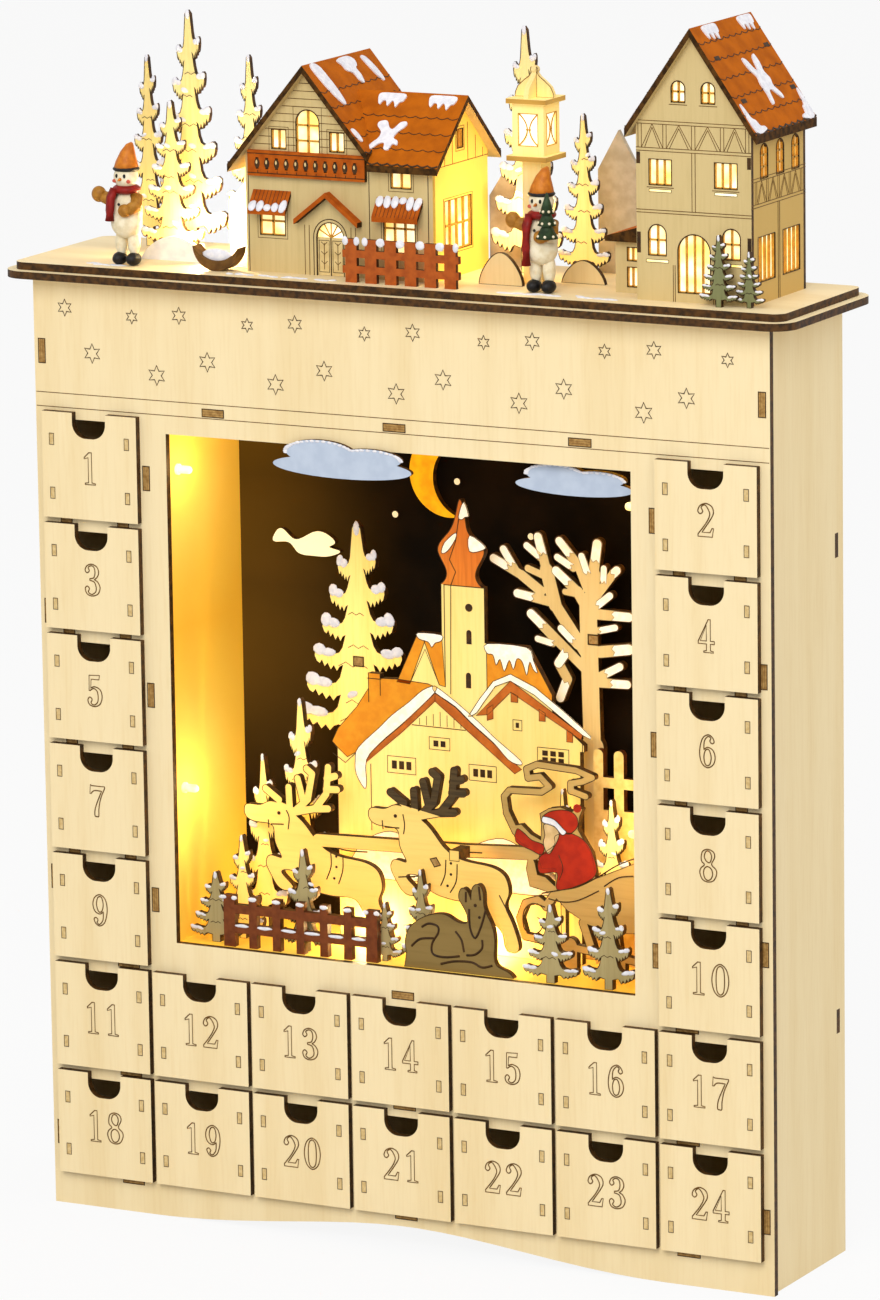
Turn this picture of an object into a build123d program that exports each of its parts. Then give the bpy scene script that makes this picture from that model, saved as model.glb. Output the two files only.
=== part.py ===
from build123d import *
import os
from math import atan2, cos, degrees, hypot

# Wooden advent calendar: a plywood cabinet with 24 drawers round a lit scene, under a lit village.
# Millimetres, +Z up, +Y to the back. The origin is on the floor under the middle of the deck.

# Sheet stock and clearances
ply = 3.0
thin_ply = 2.0
running_gap = 0.3
fit_gap = 0.4

# Cabinet
cabinet_width = 320.0
cabinet_depth = 69.0
cabinet_height = 377.3
side_inset = 1.8
back_inset = 4.5
foot_width = 46.0
arch_rise = 8.6
tenon_length = 9.6
shelf_tenon_length = 5.0

# Deck boards
deck_side_overhang = 11.0
deck_front_overhang = 8.0
deck_rear_overhang = 4.0
deck_step = 4.0
lower_deck_radius = 10.0
upper_deck_radius = 5.0

# Drawer grid
columns = 7
rows = 7
column_pitch = 44.8
row_pitch = 44.7
base_gap = 11.5
ceiling_height = 326.5
divider_offset = 110.6

# Drawers
face_width = 42.8
face_height = 42.4
face_drop = 0.6
face_gap = 0.2
notch_width = 15.0
notch_depth = 10.0
notch_radius = 6.0
box_width = 36.0
box_height = 36.0
box_depth = 54.0
opening_height = 38.6
drawer_tenon_height = 4.5

# Window and chamber
window_width = 202.8
window_height = 205.2
window_sill = 113.2
star_radius = 1.3
star_height = 1.0

# Window scene: size of each cut-out
village_width = 111.4
village_height = 181.6
tree_width = 62.0
tree_height = 170.6
team_width = 174.0
team_height = 83.4
deer_width = 69.0
deer_height = 72.0
resting_width = 48.0
resting_height = 36.4
window_fir_height = 167.0
window_fence_width = 68.8
window_fence_height = 20.9
window_post_width = 5.0
window_picket_width = 3.5
bank_fence_width = 22.0
bank_fence_height = 84.0
bank_picket_width = 4.2
peg_size = 4.2
moon_radius = 17.6
moon_bite_radius = 15.7
bird_cloud_width = 30.0
front_cloud_width = 60.7
side_cloud_width = 50.0

# Cottage on the deck
cottage_width = 55.5
cottage_depth = 48.0
cottage_eave = 46.0
cottage_gable = 32.9
wing_width = 26.5
wing_depth = 46.0
wing_gable = 21.3
roof_overhang = 4.0
eave_overhang = 6.0
balcony_height = 10.0
awning_reach = 5.0
awning_drop = 7.0
hood_width = 28.0
hood_rise = 11.0
hood_reach = 4.0
hood_thickness = 2.0

# Tall house on the deck
house_width = 48.0
house_depth = 48.0
house_eave = 67.0
house_gable = 34.0
house_overhang = 3.0
house_eave_overhang = 3.5
annex_width = 15.0
annex_depth = 24.0
annex_height = 20.0
annex_rise = 7.0

# Lantern
post_width = 8.0
post_height = 48.0
lantern_width = 13.4
lantern_height = 20.0
lantern_plate_width = 17.0
lantern_cap_height = 12.0

# Firs, fence, figures and mounds on the deck
deck_fir_height = 96.0
deck_fence_width = 48.0
deck_fence_height = 17.0
deck_picket_width = 5.0
figure_height = 49.0
figure_radius = 6.6
silhouette_height = 56.0
mound_width = 30.0
crescent_width = 20.0
crescent_height = 9.5

# Lights and wiring
wire_radius = 0.8
wire_bend = 5.0
splice_radius = 1.6
bulb_radius = 1.6
bulb_height = 4.0
bulb_flange_radius = 2.2
bulb_flange = 1.0

# Battery case in the back panel
cell_radius = 7.1
cell_length = 50.5
cell_nub_radius = 2.7
cell_nub = 1.2
case_wall = 1.5
contact_thickness = 0.5
contact_width = 9.0
flange_margin = 7.0
switch_bay = 14.0
flange_height = 46.0
rail_width = 2.0
rail_lip = 1.2
cover_margin = 2.0
cover_thickness = 1.5
knob_width = 5.0
knob_height = 4.5
knob_rise = 2.6
stem_width = 2.4
slot_travel = 4.0
screw_radius = 1.0
screw_head_radius = 1.9
screw_head = 1.2
screw_edge = 3.0

# Places worked out from the sizes
deck_width = cabinet_width + 2 * deck_side_overhang
deck_depth = cabinet_depth + deck_front_overhang + deck_rear_overhang
y_front = deck_front_overhang - deck_depth / 2
y_rear = y_front + cabinet_depth
y_inside = y_front + ply
y_back = y_rear - back_inset - ply
inner_depth = y_back - y_inside
side_outer = cabinet_width / 2 - side_inset
side_inner = side_outer - ply
deck_top = cabinet_height + 2 * ply
window_top = window_sill + window_height
lining_outer = window_width / 2 + ply
lining_depth = inner_depth - ply
y_backdrop = y_back - ply
ceiling_top = ceiling_height + ply
divider_outer = divider_offset + ply / 2
divider_inner = divider_offset - ply / 2
shelf_tops = [base_gap + ply + row * row_pitch for row in range(rows)]
column_foot = shelf_tops[2]
half_columns = columns // 2
wire_depth_share = 0.413
wire_y = y_front + wire_depth_share * cabinet_depth
wire_x = (divider_inner + lining_outer) / 2
wire_top = ceiling_top + wire_bend
wire_low = (column_foot + window_sill - ply) / 2

# Tenon places, as shares of the piece that carries them
side_tenon_shares = (0.078, 0.358, 0.645, 0.922)
divider_tenon_shares = (0.117, 0.490, 0.881)
ceiling_tenon_shares = (-0.25, 0.0, 0.25)
row_tenon_shares = (-0.386, 0, 0.386)
column_tenon_share = 0.30
face_tenon_shares = (0.23, 0.74)
lower_rows = 2

# Drawer number to column and row, counted from the middle column and the lowest row
drawer_bays = {}
for step in range(rows - lower_rows):
    drawer_bays[1 + 2 * step] = (-half_columns, rows - 1 - step)
    drawer_bays[2 + 2 * step] = (half_columns, rows - 1 - step)
first_row_number = 1 + 2 * (rows - lower_rows)
for column in range(columns):
    drawer_bays[first_row_number + column] = (column - half_columns, 1)
    drawer_bays[first_row_number + columns + column] = (column - half_columns, 0)
drawer_seats = {n: (c * column_pitch, shelf_tops[r]) for n, (c, r) in drawer_bays.items()}

os.makedirs("parts", exist_ok=True)


def write(piece, name):
    piece.label = name
    export_step(piece, f"parts/{name}.step")


def write_group(name, pieces):
    write(Compound(children=list(pieces)), name)


def upright(x, y, z):
    """A plane that stands across the cabinet; sheets drawn on it grow towards the front."""
    return Plane(origin=(x, y, z), x_dir=(1, 0, 0), z_dir=(0, -1, 0))


def sideways(x, y, z):
    """A plane that stands along the cabinet's depth; sheets drawn on it grow towards +X."""
    return Plane(origin=(x, y, z), x_dir=(0, 1, 0), z_dir=(1, 0, 0))


def scaled(shares, width, height):
    return [(u * width, v * height) for u, v in shares]


def sheet(plane, points, thickness):
    """A flat sheet with a straight-sided outline."""
    with BuildPart() as board:
        with BuildSketch(plane):
            with BuildLine():
                Polyline(*points, close=True)
            make_face()
        extrude(amount=thickness)
    return board.part


def stroke(start, end, width):
    """One rounded bar of a cut-out, drawn in the sketch that is open."""
    length = hypot(end[0] - start[0], end[1] - start[1])
    middle = ((start[0] + end[0]) / 2, (start[1] + end[1]) / 2)
    turn = degrees(atan2(end[1] - start[1], end[0] - start[0]))
    with Locations(middle):
        SlotCenterToCenter(length, width, rotation=turn)


def board(x0, y0, z0, x1, y1, z1):
    """A rectangular board between two corners, as a part of its own."""
    with BuildPart() as piece:
        with BuildSketch(Plane.XY.offset(z0)):
            with Locations(((x0 + x1) / 2, (y0 + y1) / 2)):
                Rectangle(x1 - x0, y1 - y0)
        extrude(amount=z1 - z0)
    return piece.part


# Front panel
front_slots = [
    (side * (side_outer - ply / 2), share * cabinet_height, ply, tenon_length)
    for side in (-1, 1)
    for share in side_tenon_shares
]
divider_height = ceiling_height - column_foot
front_slots += [
    (side * divider_offset, column_foot + share * divider_height, ply, tenon_length)
    for side in (-1, 1)
    for share in divider_tenon_shares
]
front_slots += [
    (share * cabinet_width, ceiling_height + ply / 2, tenon_length, ply)
    for share in ceiling_tenon_shares
]
front_slots += [
    (share * cabinet_width, shelf_tops[row] - ply / 2, tenon_length, ply)
    for row in range(lower_rows + 1)
    for share in row_tenon_shares
]
column_tenon_offset = column_tenon_share * face_width
front_slots += [
    (side * half_columns * column_pitch + shift, shelf_tops[row] - ply / 2, shelf_tenon_length, ply)
    for row in range(lower_rows + 1, rows)
    for side in (-1, 1)
    for shift in (-column_tenon_offset, column_tenon_offset)
]
opening_width = box_width + 2 * fit_gap
half_width = cabinet_width / 2
arch_half = half_width - foot_width

with BuildPart() as front_panel:
    with BuildSketch(upright(0, y_inside, 0)):
        with BuildLine():
            Polyline(
                (-arch_half, 0),
                (-half_width, 0),
                (-half_width, cabinet_height),
                (half_width, cabinet_height),
                (half_width, 0),
                (arch_half, 0),
            )
            Spline((arch_half, 0), (0, arch_rise), (-arch_half, 0), tangents=((-1, 0), (-1, 0)))
        make_face()
        with Locations((0, window_sill + window_height / 2)):
            Rectangle(window_width, window_height, mode=Mode.SUBTRACT)
        with Locations(*[(x, z + opening_height / 2) for x, z in drawer_seats.values()]):
            Rectangle(opening_width, opening_height, mode=Mode.SUBTRACT)
        for x, z, width, height in front_slots:
            with Locations((x, z)):
                Rectangle(width, height, mode=Mode.SUBTRACT)
    extrude(amount=ply)
write(front_panel.part, "front_panel")

# Side panels, with tenons to the front and mortises for the back panel
back_tenon_shares = (0.25, 0.75)
side_panel_parts = []
for side in (-1, 1):
    low_x = side_inner if side > 0 else -side_outer
    with BuildPart() as side_panel:
        with BuildSketch(sideways(low_x, y_inside, 0)):
            with Locations(((cabinet_depth - ply) / 2, cabinet_height / 2)):
                Rectangle(cabinet_depth - ply, cabinet_height)
            with Locations(*[(-ply / 2, share * cabinet_height) for share in side_tenon_shares]):
                Rectangle(ply, tenon_length)
            with Locations(*[(inner_depth + ply / 2, s * cabinet_height) for s in back_tenon_shares]):
                Rectangle(ply, tenon_length, mode=Mode.SUBTRACT)
        extrude(amount=ply)
    side_panel_parts.append(side_panel.part)
write_group("side_panels", side_panel_parts)

# Battery case sizes shared by the back panel, the case and its cover
case_x_inner = cell_length / 2 + running_gap + contact_thickness
case_z_inner = 2 * cell_radius + 2 * running_gap
case_x_outer = case_x_inner + case_wall
case_z_outer = case_z_inner + case_wall
case_left = -(case_x_outer + switch_bay)
case_mid_z = (ceiling_top + cabinet_height) / 2
case_inside = 2 * cell_radius + 2 * running_gap
y_flange = y_rear - back_inset
y_flange_out = y_flange + case_wall
y_case_floor = y_flange_out - case_inside
flange_left = case_left - flange_margin
flange_right = case_x_outer + flange_margin
screw_places = [
    (x, case_mid_z + side * (flange_height / 2 - screw_edge))
    for x in (flange_left + screw_edge, flange_right - screw_edge)
    for side in (-1, 1)
]

# Back panel
with BuildPart() as back_panel:
    with BuildSketch(upright(0, y_back + ply, 0)):
        with Locations((0, (base_gap + cabinet_height) / 2)):
            Rectangle(2 * side_inner, cabinet_height - base_gap)
        with Locations(
            *[
                (side * (side_inner + ply / 2), share * cabinet_height)
                for side in (-1, 1)
                for share in back_tenon_shares
            ]
        ):
            Rectangle(ply, tenon_length)
        with Locations(((case_left + case_x_outer) / 2, case_mid_z)):
            Rectangle(
                case_x_outer - case_left + 2 * fit_gap, 2 * (case_z_outer + fit_gap), mode=Mode.SUBTRACT
            )
        with Locations(*screw_places):
            Circle(screw_radius, mode=Mode.SUBTRACT)
    extrude(amount=ply)
write(back_panel.part, "back_panel")

# Row shelves under the two lower rows and over them
row_shelf_parts = []
for row in range(lower_rows + 1):
    with BuildPart() as row_shelf:
        with BuildSketch(Plane.XY.offset(shelf_tops[row] - ply)):
            with Locations((0, y_inside + inner_depth / 2)):
                Rectangle(2 * side_inner, inner_depth)
            with Locations(*[(share * cabinet_width, y_front + ply / 2) for share in row_tenon_shares]):
                Rectangle(tenon_length, ply)
        extrude(amount=ply)
    row_shelf_parts.append(row_shelf.part)
write_group("row_shelves", row_shelf_parts)

# Ceiling board over the drawers and the window, with a wire hole at each end
with BuildPart() as ceiling_board:
    with BuildSketch(Plane.XY.offset(ceiling_height)):
        with Locations((0, y_inside + inner_depth / 2)):
            Rectangle(2 * side_inner, inner_depth)
        with Locations(*[(share * cabinet_width, y_front + ply / 2) for share in ceiling_tenon_shares]):
            Rectangle(tenon_length, ply)
        with Locations((-wire_x, wire_y), (wire_x, wire_y)):
            Circle(wire_radius + fit_gap, mode=Mode.SUBTRACT)
    extrude(amount=ply)
write(ceiling_board.part, "ceiling_board")

# Column dividers beside the window
divider_parts = []
for side in (-1, 1):
    low_x = divider_inner if side > 0 else -divider_outer
    with BuildPart() as divider:
        with BuildSketch(sideways(low_x, y_inside, column_foot)):
            with Locations((inner_depth / 2, divider_height / 2)):
                Rectangle(inner_depth, divider_height)
            with Locations(*[(-ply / 2, share * divider_height) for share in divider_tenon_shares]):
                Rectangle(ply, tenon_length)
        extrude(amount=ply)
    divider_parts.append(divider.part)
write_group("column_dividers", divider_parts)

# Column shelves under the drawers beside the window
column_shelf_parts = []
for row in range(lower_rows + 1, rows):
    for side in (-1, 1):
        middle = side * (side_inner + divider_outer) / 2
        with BuildPart() as column_shelf:
            with BuildSketch(Plane.XY.offset(shelf_tops[row] - ply)):
                with Locations((middle, y_inside + inner_depth / 2)):
                    Rectangle(side_inner - divider_outer, inner_depth)
                with Locations(
                    *[
                        (side * half_columns * column_pitch + shift, y_front + ply / 2)
                        for shift in (-column_tenon_offset, column_tenon_offset)
                    ]
                ):
                    Rectangle(shelf_tenon_length, ply)
            extrude(amount=ply)
        column_shelf_parts.append(column_shelf.part)
write_group("column_shelves", column_shelf_parts)

# Row partitions between the drawers of the two lower rows
with BuildPart() as row_partitions:
    for row in range(lower_rows):
        with BuildSketch(Plane.XY.offset(shelf_tops[row])):
            with Locations((0, y_inside + inner_depth / 2)):
                with GridLocations(column_pitch, 0, columns - 1, 1):
                    Rectangle(ply, inner_depth)
        extrude(amount=row_pitch - ply)
write(row_partitions.part, "row_partitions")

# Drawers: five thin sheets each, the sides tenoned through the face
y_face = y_front - face_gap
side_x = box_width / 2 - thin_ply / 2
tenon_heights = [share * face_height - face_drop for share in face_tenon_shares]
box_bottom = running_gap

with BuildPart() as drawer_face:
    with BuildSketch(upright(0, y_face, -face_drop)):
        with Locations((0, face_height / 2)):
            Rectangle(face_width, face_height)
        with BuildSketch(mode=Mode.PRIVATE) as notch:
            with Locations((0, face_height)):
                Rectangle(notch_width, 2 * notch_depth)
            fillet(notch.vertices().group_by(Axis.Y)[0], notch_radius)
        add(notch.sketch, mode=Mode.SUBTRACT)
        for height in tenon_heights:
            with Locations((-side_x, height + face_drop), (side_x, height + face_drop)):
                Rectangle(thin_ply, drawer_tenon_height, mode=Mode.SUBTRACT)
    extrude(amount=ply)

drawer_side_parts = []
for side in (-1, 1):
    with BuildPart() as drawer_side:
        with BuildSketch(sideways(side * side_x - thin_ply / 2, y_face, 0)):
            with Locations((box_depth / 2, box_bottom + box_height / 2)):
                Rectangle(box_depth, box_height)
            with Locations(*[(-ply / 2, height) for height in tenon_heights]):
                Rectangle(ply, drawer_tenon_height)
        extrude(amount=thin_ply)
    drawer_side_parts.append(drawer_side.part)

inner_half = box_width / 2 - thin_ply
y_box_end = y_face + box_depth
drawer_back = board(
    -inner_half, y_box_end - thin_ply, box_bottom, inner_half, y_box_end, box_bottom + box_height
)
drawer_bottom = board(
    -inner_half, y_face, box_bottom, inner_half, y_box_end - thin_ply, box_bottom + thin_ply
)
drawer_sheets = [drawer_face.part, *drawer_side_parts, drawer_back, drawer_bottom]

for number, (seat_x, seat_z) in sorted(drawer_seats.items()):
    seat = Location((seat_x, 0, seat_z))
    write_group(f"drawer_{number:02d}", [piece.moved(seat) for piece in drawer_sheets])

# Lights: each bulb's place on the deck, on the chamber floor and on the chamber's side walls
deck_bulb_shares = (-0.312, -0.1319, 0.3906)
lantern_x_share = 0.151
floor_bulb_shares = (-0.148, 0.123)
wall_bulb_shares = (0.30, 0.925)
wall_bulb_depth_share = 0.10
deck_bulbs = [share * cabinet_width for share in deck_bulb_shares]
lantern_x = lantern_x_share * cabinet_width
floor_bulbs = [share * window_width for share in floor_bulb_shares]
wall_bulbs = [window_sill + share * window_height for share in wall_bulb_shares]
y_wall_bulb = y_inside + wall_bulb_depth_share * lining_depth
lead_hole = wire_radius + fit_gap

# Deck boards, with a lead hole under each light
lead_places = [(x, wire_y) for x in [*deck_bulbs, lantern_x]]
with BuildPart() as lower_deck_board:
    with BuildSketch(Plane.XY.offset(cabinet_height)):
        RectangleRounded(deck_width, deck_depth, lower_deck_radius)
        with Locations(*lead_places):
            Circle(lead_hole, mode=Mode.SUBTRACT)
    extrude(amount=ply)
write(lower_deck_board.part, "lower_deck_board")

with BuildPart() as upper_deck_board:
    with BuildSketch(Plane.XY.offset(cabinet_height + ply)):
        RectangleRounded(deck_width - 2 * deck_step, deck_depth - 2 * deck_step, upper_deck_radius)
        with Locations(*lead_places):
            Circle(lead_hole, mode=Mode.SUBTRACT)
    extrude(amount=ply)
write(upper_deck_board.part, "upper_deck_board")

# Chamber lining: two side walls, a floor and a top, with lead holes
lining_parts = []
lining_foot = window_sill - ply
for side in (-1, 1):
    low_x = window_width / 2 if side > 0 else -lining_outer
    with BuildPart() as lining_wall:
        with BuildSketch(sideways(low_x, y_inside, lining_foot)):
            with Locations((lining_depth / 2, window_height / 2 + ply)):
                Rectangle(lining_depth, window_height + 2 * ply)
            with Locations(*[(y_wall_bulb - y_inside, z - lining_foot) for z in wall_bulbs]):
                Circle(lead_hole, mode=Mode.SUBTRACT)
        extrude(amount=ply)
    lining_parts.append(lining_wall.part)
with BuildPart() as chamber_floor:
    with BuildSketch(Plane.XY.offset(lining_foot)):
        with Locations((0, y_inside + lining_depth / 2)):
            Rectangle(window_width, lining_depth)
        with Locations(*[(x, wire_y) for x in floor_bulbs]):
            Circle(lead_hole, mode=Mode.SUBTRACT)
    extrude(amount=ply)
lining_parts.append(chamber_floor.part)
lining_parts.append(
    board(-window_width / 2, y_inside, window_top, window_width / 2, y_backdrop, window_top + ply)
)
write_group("chamber_lining", lining_parts)

# Night-sky backdrop against the back panel
with BuildPart() as night_sky_backdrop:
    with BuildSketch(upright(0, y_back, lining_foot)):
        with Locations((0, window_height / 2 + ply)):
            Rectangle(2 * lining_outer, window_height + 2 * ply)
    extrude(amount=ply)
write(night_sky_backdrop.part, "night_sky_backdrop")

# Sky pieces: moon, stars and pale cloud on the backdrop, one cloud behind the frame and one on it
moon_shares = (-0.027, 0.911)
moon_bite_shares = (0.0148, 0.901)
star_shares = ((-0.152, 0.821), (-0.015, 0.895), (0.144, 0.800))
bird_cloud_shares = (-0.344, 0.751)
front_cloud_shares = (-0.109, 0.977)
side_cloud_shares = (0.3735, 0.9695)
bird_outline_shares = (
    (-0.50, 0.06), (-0.36, 0.17), (-0.20, 0.05), (0.08, 0.15), (0.34, 0.13), (0.42, 0.03),
    (0.34, -0.02), (0.50, -0.07), (0.40, -0.13), (0.10, -0.16), (-0.15, -0.12), (-0.30, 0.00),
)
cloud_puff_shares = ((0.0, -0.045, 1.0, 0.14), (-0.16, 0.045, 0.50, 0.16), (0.20, 0.03, 0.46, 0.12))


def sky_place(shares):
    return (shares[0] * window_width, window_sill + shares[1] * window_height)


with BuildPart() as sky_pieces:
    with BuildSketch(upright(0, y_backdrop, 0)):
        with Locations(sky_place(moon_shares)):
            Circle(moon_radius)
        with Locations(sky_place(moon_bite_shares)):
            Circle(moon_bite_radius, mode=Mode.SUBTRACT)
        bird_x, bird_z = sky_place(bird_cloud_shares)
        bird_points = scaled(bird_outline_shares, bird_cloud_width, bird_cloud_width)
        with BuildLine():
            Spline(*[(bird_x + u, bird_z + v) for u, v in bird_points], periodic=True)
        make_face()
    extrude(amount=ply)
    with BuildSketch(upright(0, y_backdrop, 0)):
        with Locations(*[sky_place(shares) for shares in star_shares]):
            Circle(star_radius)
    extrude(amount=star_height)
    for shares, width, y_cloud, thickness in (
        (front_cloud_shares, front_cloud_width, y_front, thin_ply),
        (side_cloud_shares, side_cloud_width, y_inside + ply, ply),
    ):
        cloud_x, cloud_z = sky_place(shares)
        with BuildSketch(upright(cloud_x, y_cloud, cloud_z)):
            for u, v, across, tall in cloud_puff_shares:
                with Locations((u * width, v * width)):
                    Ellipse(across * width / 2, tall * width / 2)
        extrude(amount=thickness)
write(sky_pieces.part, "sky_pieces")

# Depth of each standing layer behind the frame, as shares of the cabinet's depth
front_layer_share = 0.058
fir_layer_share = 0.123
deer_layer_share = 0.188
team_layer_share = 0.319
village_layer_share = 0.500
bank_layer_share = 0.565
tree_layer_share = 0.638


def layer(share):
    """The y of the back of a sheet that stands in this layer."""
    return y_front + share * cabinet_depth + ply


# Village plate: two gabled houses, a church and its tower with an onion dome, in one sheet
village_x_share = 0.0366
village_shares = (
    (0.02, 0.0), (0.02, 0.425), (0.0, 0.44), (0.024, 0.47), (0.10, 0.521), (0.15, 0.566), (0.15, 0.60),
    (0.198, 0.60), (0.198, 0.59), (0.27, 0.593), (0.344, 0.69), (0.352, 0.70), (0.445, 0.70),
    (0.445, 0.811),
)
dome_shares = (
    (0.445, 0.811), (0.466, 0.842), (0.434, 0.888), (0.474, 0.924), (0.506, 0.966), (0.524, 1.0),
    (0.542, 0.966), (0.560, 0.924), (0.616, 0.893), (0.583, 0.842), (0.606, 0.811),
)
village_right_shares = (
    (0.606, 0.811), (0.615, 0.811), (0.615, 0.69), (0.781, 0.69), (0.878, 0.589), (0.878, 0.545),
    (1.0, 0.485), (1.0, 0.47), (0.985, 0.47), (0.985, 0.0), (0.02, 0.0),
)
village_left = village_x_share * window_width - village_width / 2
with BuildPart() as village_plate:
    with BuildSketch(upright(village_left, layer(village_layer_share), window_sill)):
        with BuildLine():
            Polyline(*scaled(village_shares, village_width, village_height))
            Spline(*scaled(dome_shares, village_width, village_height))
            Polyline(*scaled(village_right_shares, village_width, village_height))
        make_face()
    extrude(amount=ply)
write(village_plate.part, "village_plate")

# Bare tree: rounded limbs as start, end and width shares
tree_x_share = 0.238
limb_shares = (
    (0.72, 0.0, 0.72, 0.50, 0.165), (0.72, 0.50, 0.70, 0.83, 0.125),
    (0.68, 0.72, 0.47, 0.825, 0.085), (0.47, 0.825, 0.41, 0.905, 0.095), (0.41, 0.905, 0.355, 0.98, 0.07),
    (0.46, 0.83, 0.205, 0.845, 0.065), (0.37, 0.855, 0.235, 0.888, 0.07),
    (0.235, 0.888, 0.04, 0.922, 0.065),
    (0.19, 0.90, 0.11, 0.945, 0.06), (0.40, 0.89, 0.28, 0.905, 0.05), (0.40, 0.925, 0.275, 0.958, 0.055),
    (0.62, 0.735, 0.51, 0.772, 0.055), (0.69, 0.678, 0.30, 0.80, 0.07), (0.45, 0.735, 0.345, 0.743, 0.05),
    (0.54, 0.715, 0.49, 0.69, 0.07), (0.49, 0.69, 0.55, 0.655, 0.07), (0.55, 0.655, 0.50, 0.61, 0.07),
    (0.70, 0.82, 0.63, 0.86, 0.08), (0.63, 0.86, 0.48, 0.905, 0.07), (0.62, 0.855, 0.54, 0.858, 0.045),
    (0.70, 0.87, 0.64, 0.92, 0.07), (0.64, 0.92, 0.505, 0.975, 0.065), (0.60, 0.915, 0.49, 0.937, 0.055),
    (0.72, 0.83, 0.74, 0.905, 0.10), (0.74, 0.905, 0.77, 0.975, 0.075), (0.71, 0.895, 0.66, 0.944, 0.055),
    (0.76, 0.855, 0.88, 0.91, 0.06), (0.88, 0.91, 0.905, 0.918, 0.065), (0.81, 0.89, 0.815, 0.92, 0.05),
    (0.75, 0.828, 0.855, 0.858, 0.055), (0.76, 0.812, 0.985, 0.812, 0.07), (0.78, 0.775, 0.89, 0.785, 0.05),
    (0.78, 0.725, 0.985, 0.737, 0.08), (0.79, 0.67, 0.92, 0.695, 0.06), (0.78, 0.653, 0.97, 0.655, 0.065),
)
with BuildPart() as bare_tree:
    with BuildSketch(
        upright(tree_x_share * window_width - tree_width / 2, layer(tree_layer_share), window_sill)
    ):
        with BuildSketch(mode=Mode.PRIVATE) as limbs:
            for u0, v0, u1, v1, width in limb_shares:
                start, end = scaled(((u0, v0), (u1, v1)), tree_width, tree_height)
                stroke(start, end, width * tree_width)
        add(limbs.sketch)
        with Locations((tree_width / 2, -tree_width / 2)):
            Rectangle(2 * tree_width, tree_width, mode=Mode.SUBTRACT)
    extrude(amount=ply)
write(bare_tree.part, "bare_tree")

# Firs: one outline rule for all, from the tip down each side, with drooping toothed branches
fir_trunk_share = 0.075
fir_tip_share = 0.96
fir_stagger_share = 0.30
fir_least_reach_share = 0.18
fir_spire_share = 0.035
fir_shoulder_share = 0.985
fir_branch_shares = (
    (0.36, 0.66), (0.44, 0.48), (0.58, 0.41), (0.76, 0.45), (0.90, 0.53), (0.99, 0.46), (1.0, 0.30),
    (0.95, 0.13), (0.88, 0.06), (0.83, 0.18), (0.77, -0.03), (0.70, 0.09), (0.63, -0.12), (0.56, 0.03),
    (0.49, -0.15), (0.42, 0.01), (0.35, 0.07),
)


def fir_side(width, height, tiers, skirt, stagger):
    """One side of a fir below its tip: each branch sweeps out to its end and comes back under it."""
    points = [(fir_spire_share * width, fir_shoulder_share * height)]
    drop = height * (fir_tip_share - skirt) / (tiers + stagger)
    for tier in range(1, tiers + 1):
        reach = width / 2 * (fir_least_reach_share + (1 - fir_least_reach_share) * tier / tiers)
        level = fir_tip_share * height - (tier + stagger) * drop
        points += [(reach * out, level + drop * up) for out, up in fir_branch_shares]
    trunk = fir_trunk_share * width
    return points + [(trunk, skirt * height), (trunk, 0)]


def fir_outline(width, height, tiers, skirt):
    """Points of a whole fir, with its two sides staggered."""
    right = fir_side(width, height, tiers, skirt, 0)
    left = fir_side(width, height, tiers, skirt, fir_stagger_share)
    return [(0, height), *right, *[(-x, z) for x, z in reversed(left)]]


# Firs in the window: x and depth, width and height, and the skirt's height, as shares, then the tiers
small_skirt_share = 0.10
window_fir_shares = (
    (-0.203, tree_layer_share, 0.325, 1.0, 0.50, 6), (-0.300, 0.449, 0.170, 0.580, 0.22, 5),
    (-0.376, 0.400, 0.125, 0.440, 0.16, 4), (-0.400, 0.260, 0.110, 0.252, small_skirt_share, 4),
    (-0.434, fir_layer_share, 0.137, 0.171, small_skirt_share, 4),
    (-0.239, fir_layer_share, 0.130, 0.248, small_skirt_share, 4),
    (-0.060, fir_layer_share, 0.086, 0.141, small_skirt_share, 4),
    (0.019, fir_layer_share, 0.101, 0.229, small_skirt_share, 4),
    (0.310, front_layer_share, 0.141, 0.187, small_skirt_share, 4),
    (0.434, front_layer_share, 0.132, 0.242, small_skirt_share, 4),
    (0.386, 0.391, 0.106, 0.416, 0.45, 4), (0.275, 0.430, 0.080, 0.425, 0.45, 4),
)
with BuildPart() as window_firs:
    for x_share, depth_share, width_share, height_share, skirt_share, tiers in window_fir_shares:
        points = fir_outline(
            width_share * window_fir_height, height_share * window_fir_height, tiers, skirt_share
        )
        with BuildSketch(upright(x_share * window_width, layer(depth_share), window_sill)):
            with BuildLine():
                Polyline(*points, close=True)
            make_face()
        extrude(amount=ply)
write(window_firs.part, "window_firs")

# Reindeer outline and antlers, shared by the front reindeer and the sleigh team
reindeer_shares = (
    (0.012, 0.697), (0.025, 0.652), (0.087, 0.628), (0.200, 0.607), (0.206, 0.559), (0.225, 0.493),
    (0.250, 0.440), (0.172, 0.445), (0.150, 0.405), (0.175, 0.345), (0.270, 0.255), (0.325, 0.270),
    (0.250, 0.360), (0.344, 0.363), (0.391, 0.306), (0.487, 0.265), (0.620, 0.253), (0.734, 0.241),
    (0.790, 0.165), (0.858, 0.094), (0.890, 0.005), (0.953, 0.005), (0.950, 0.090), (0.905, 0.195),
    (0.880, 0.257), (0.900, 0.310), (0.900, 0.370), (0.877, 0.420), (0.820, 0.455), (0.706, 0.473),
    (0.582, 0.493), (0.487, 0.550), (0.430, 0.616), (0.363, 0.677), (0.277, 0.722), (0.220, 0.750),
    (0.172, 0.750), (0.115, 0.726),
)
antler_width_share = 0.045
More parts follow.
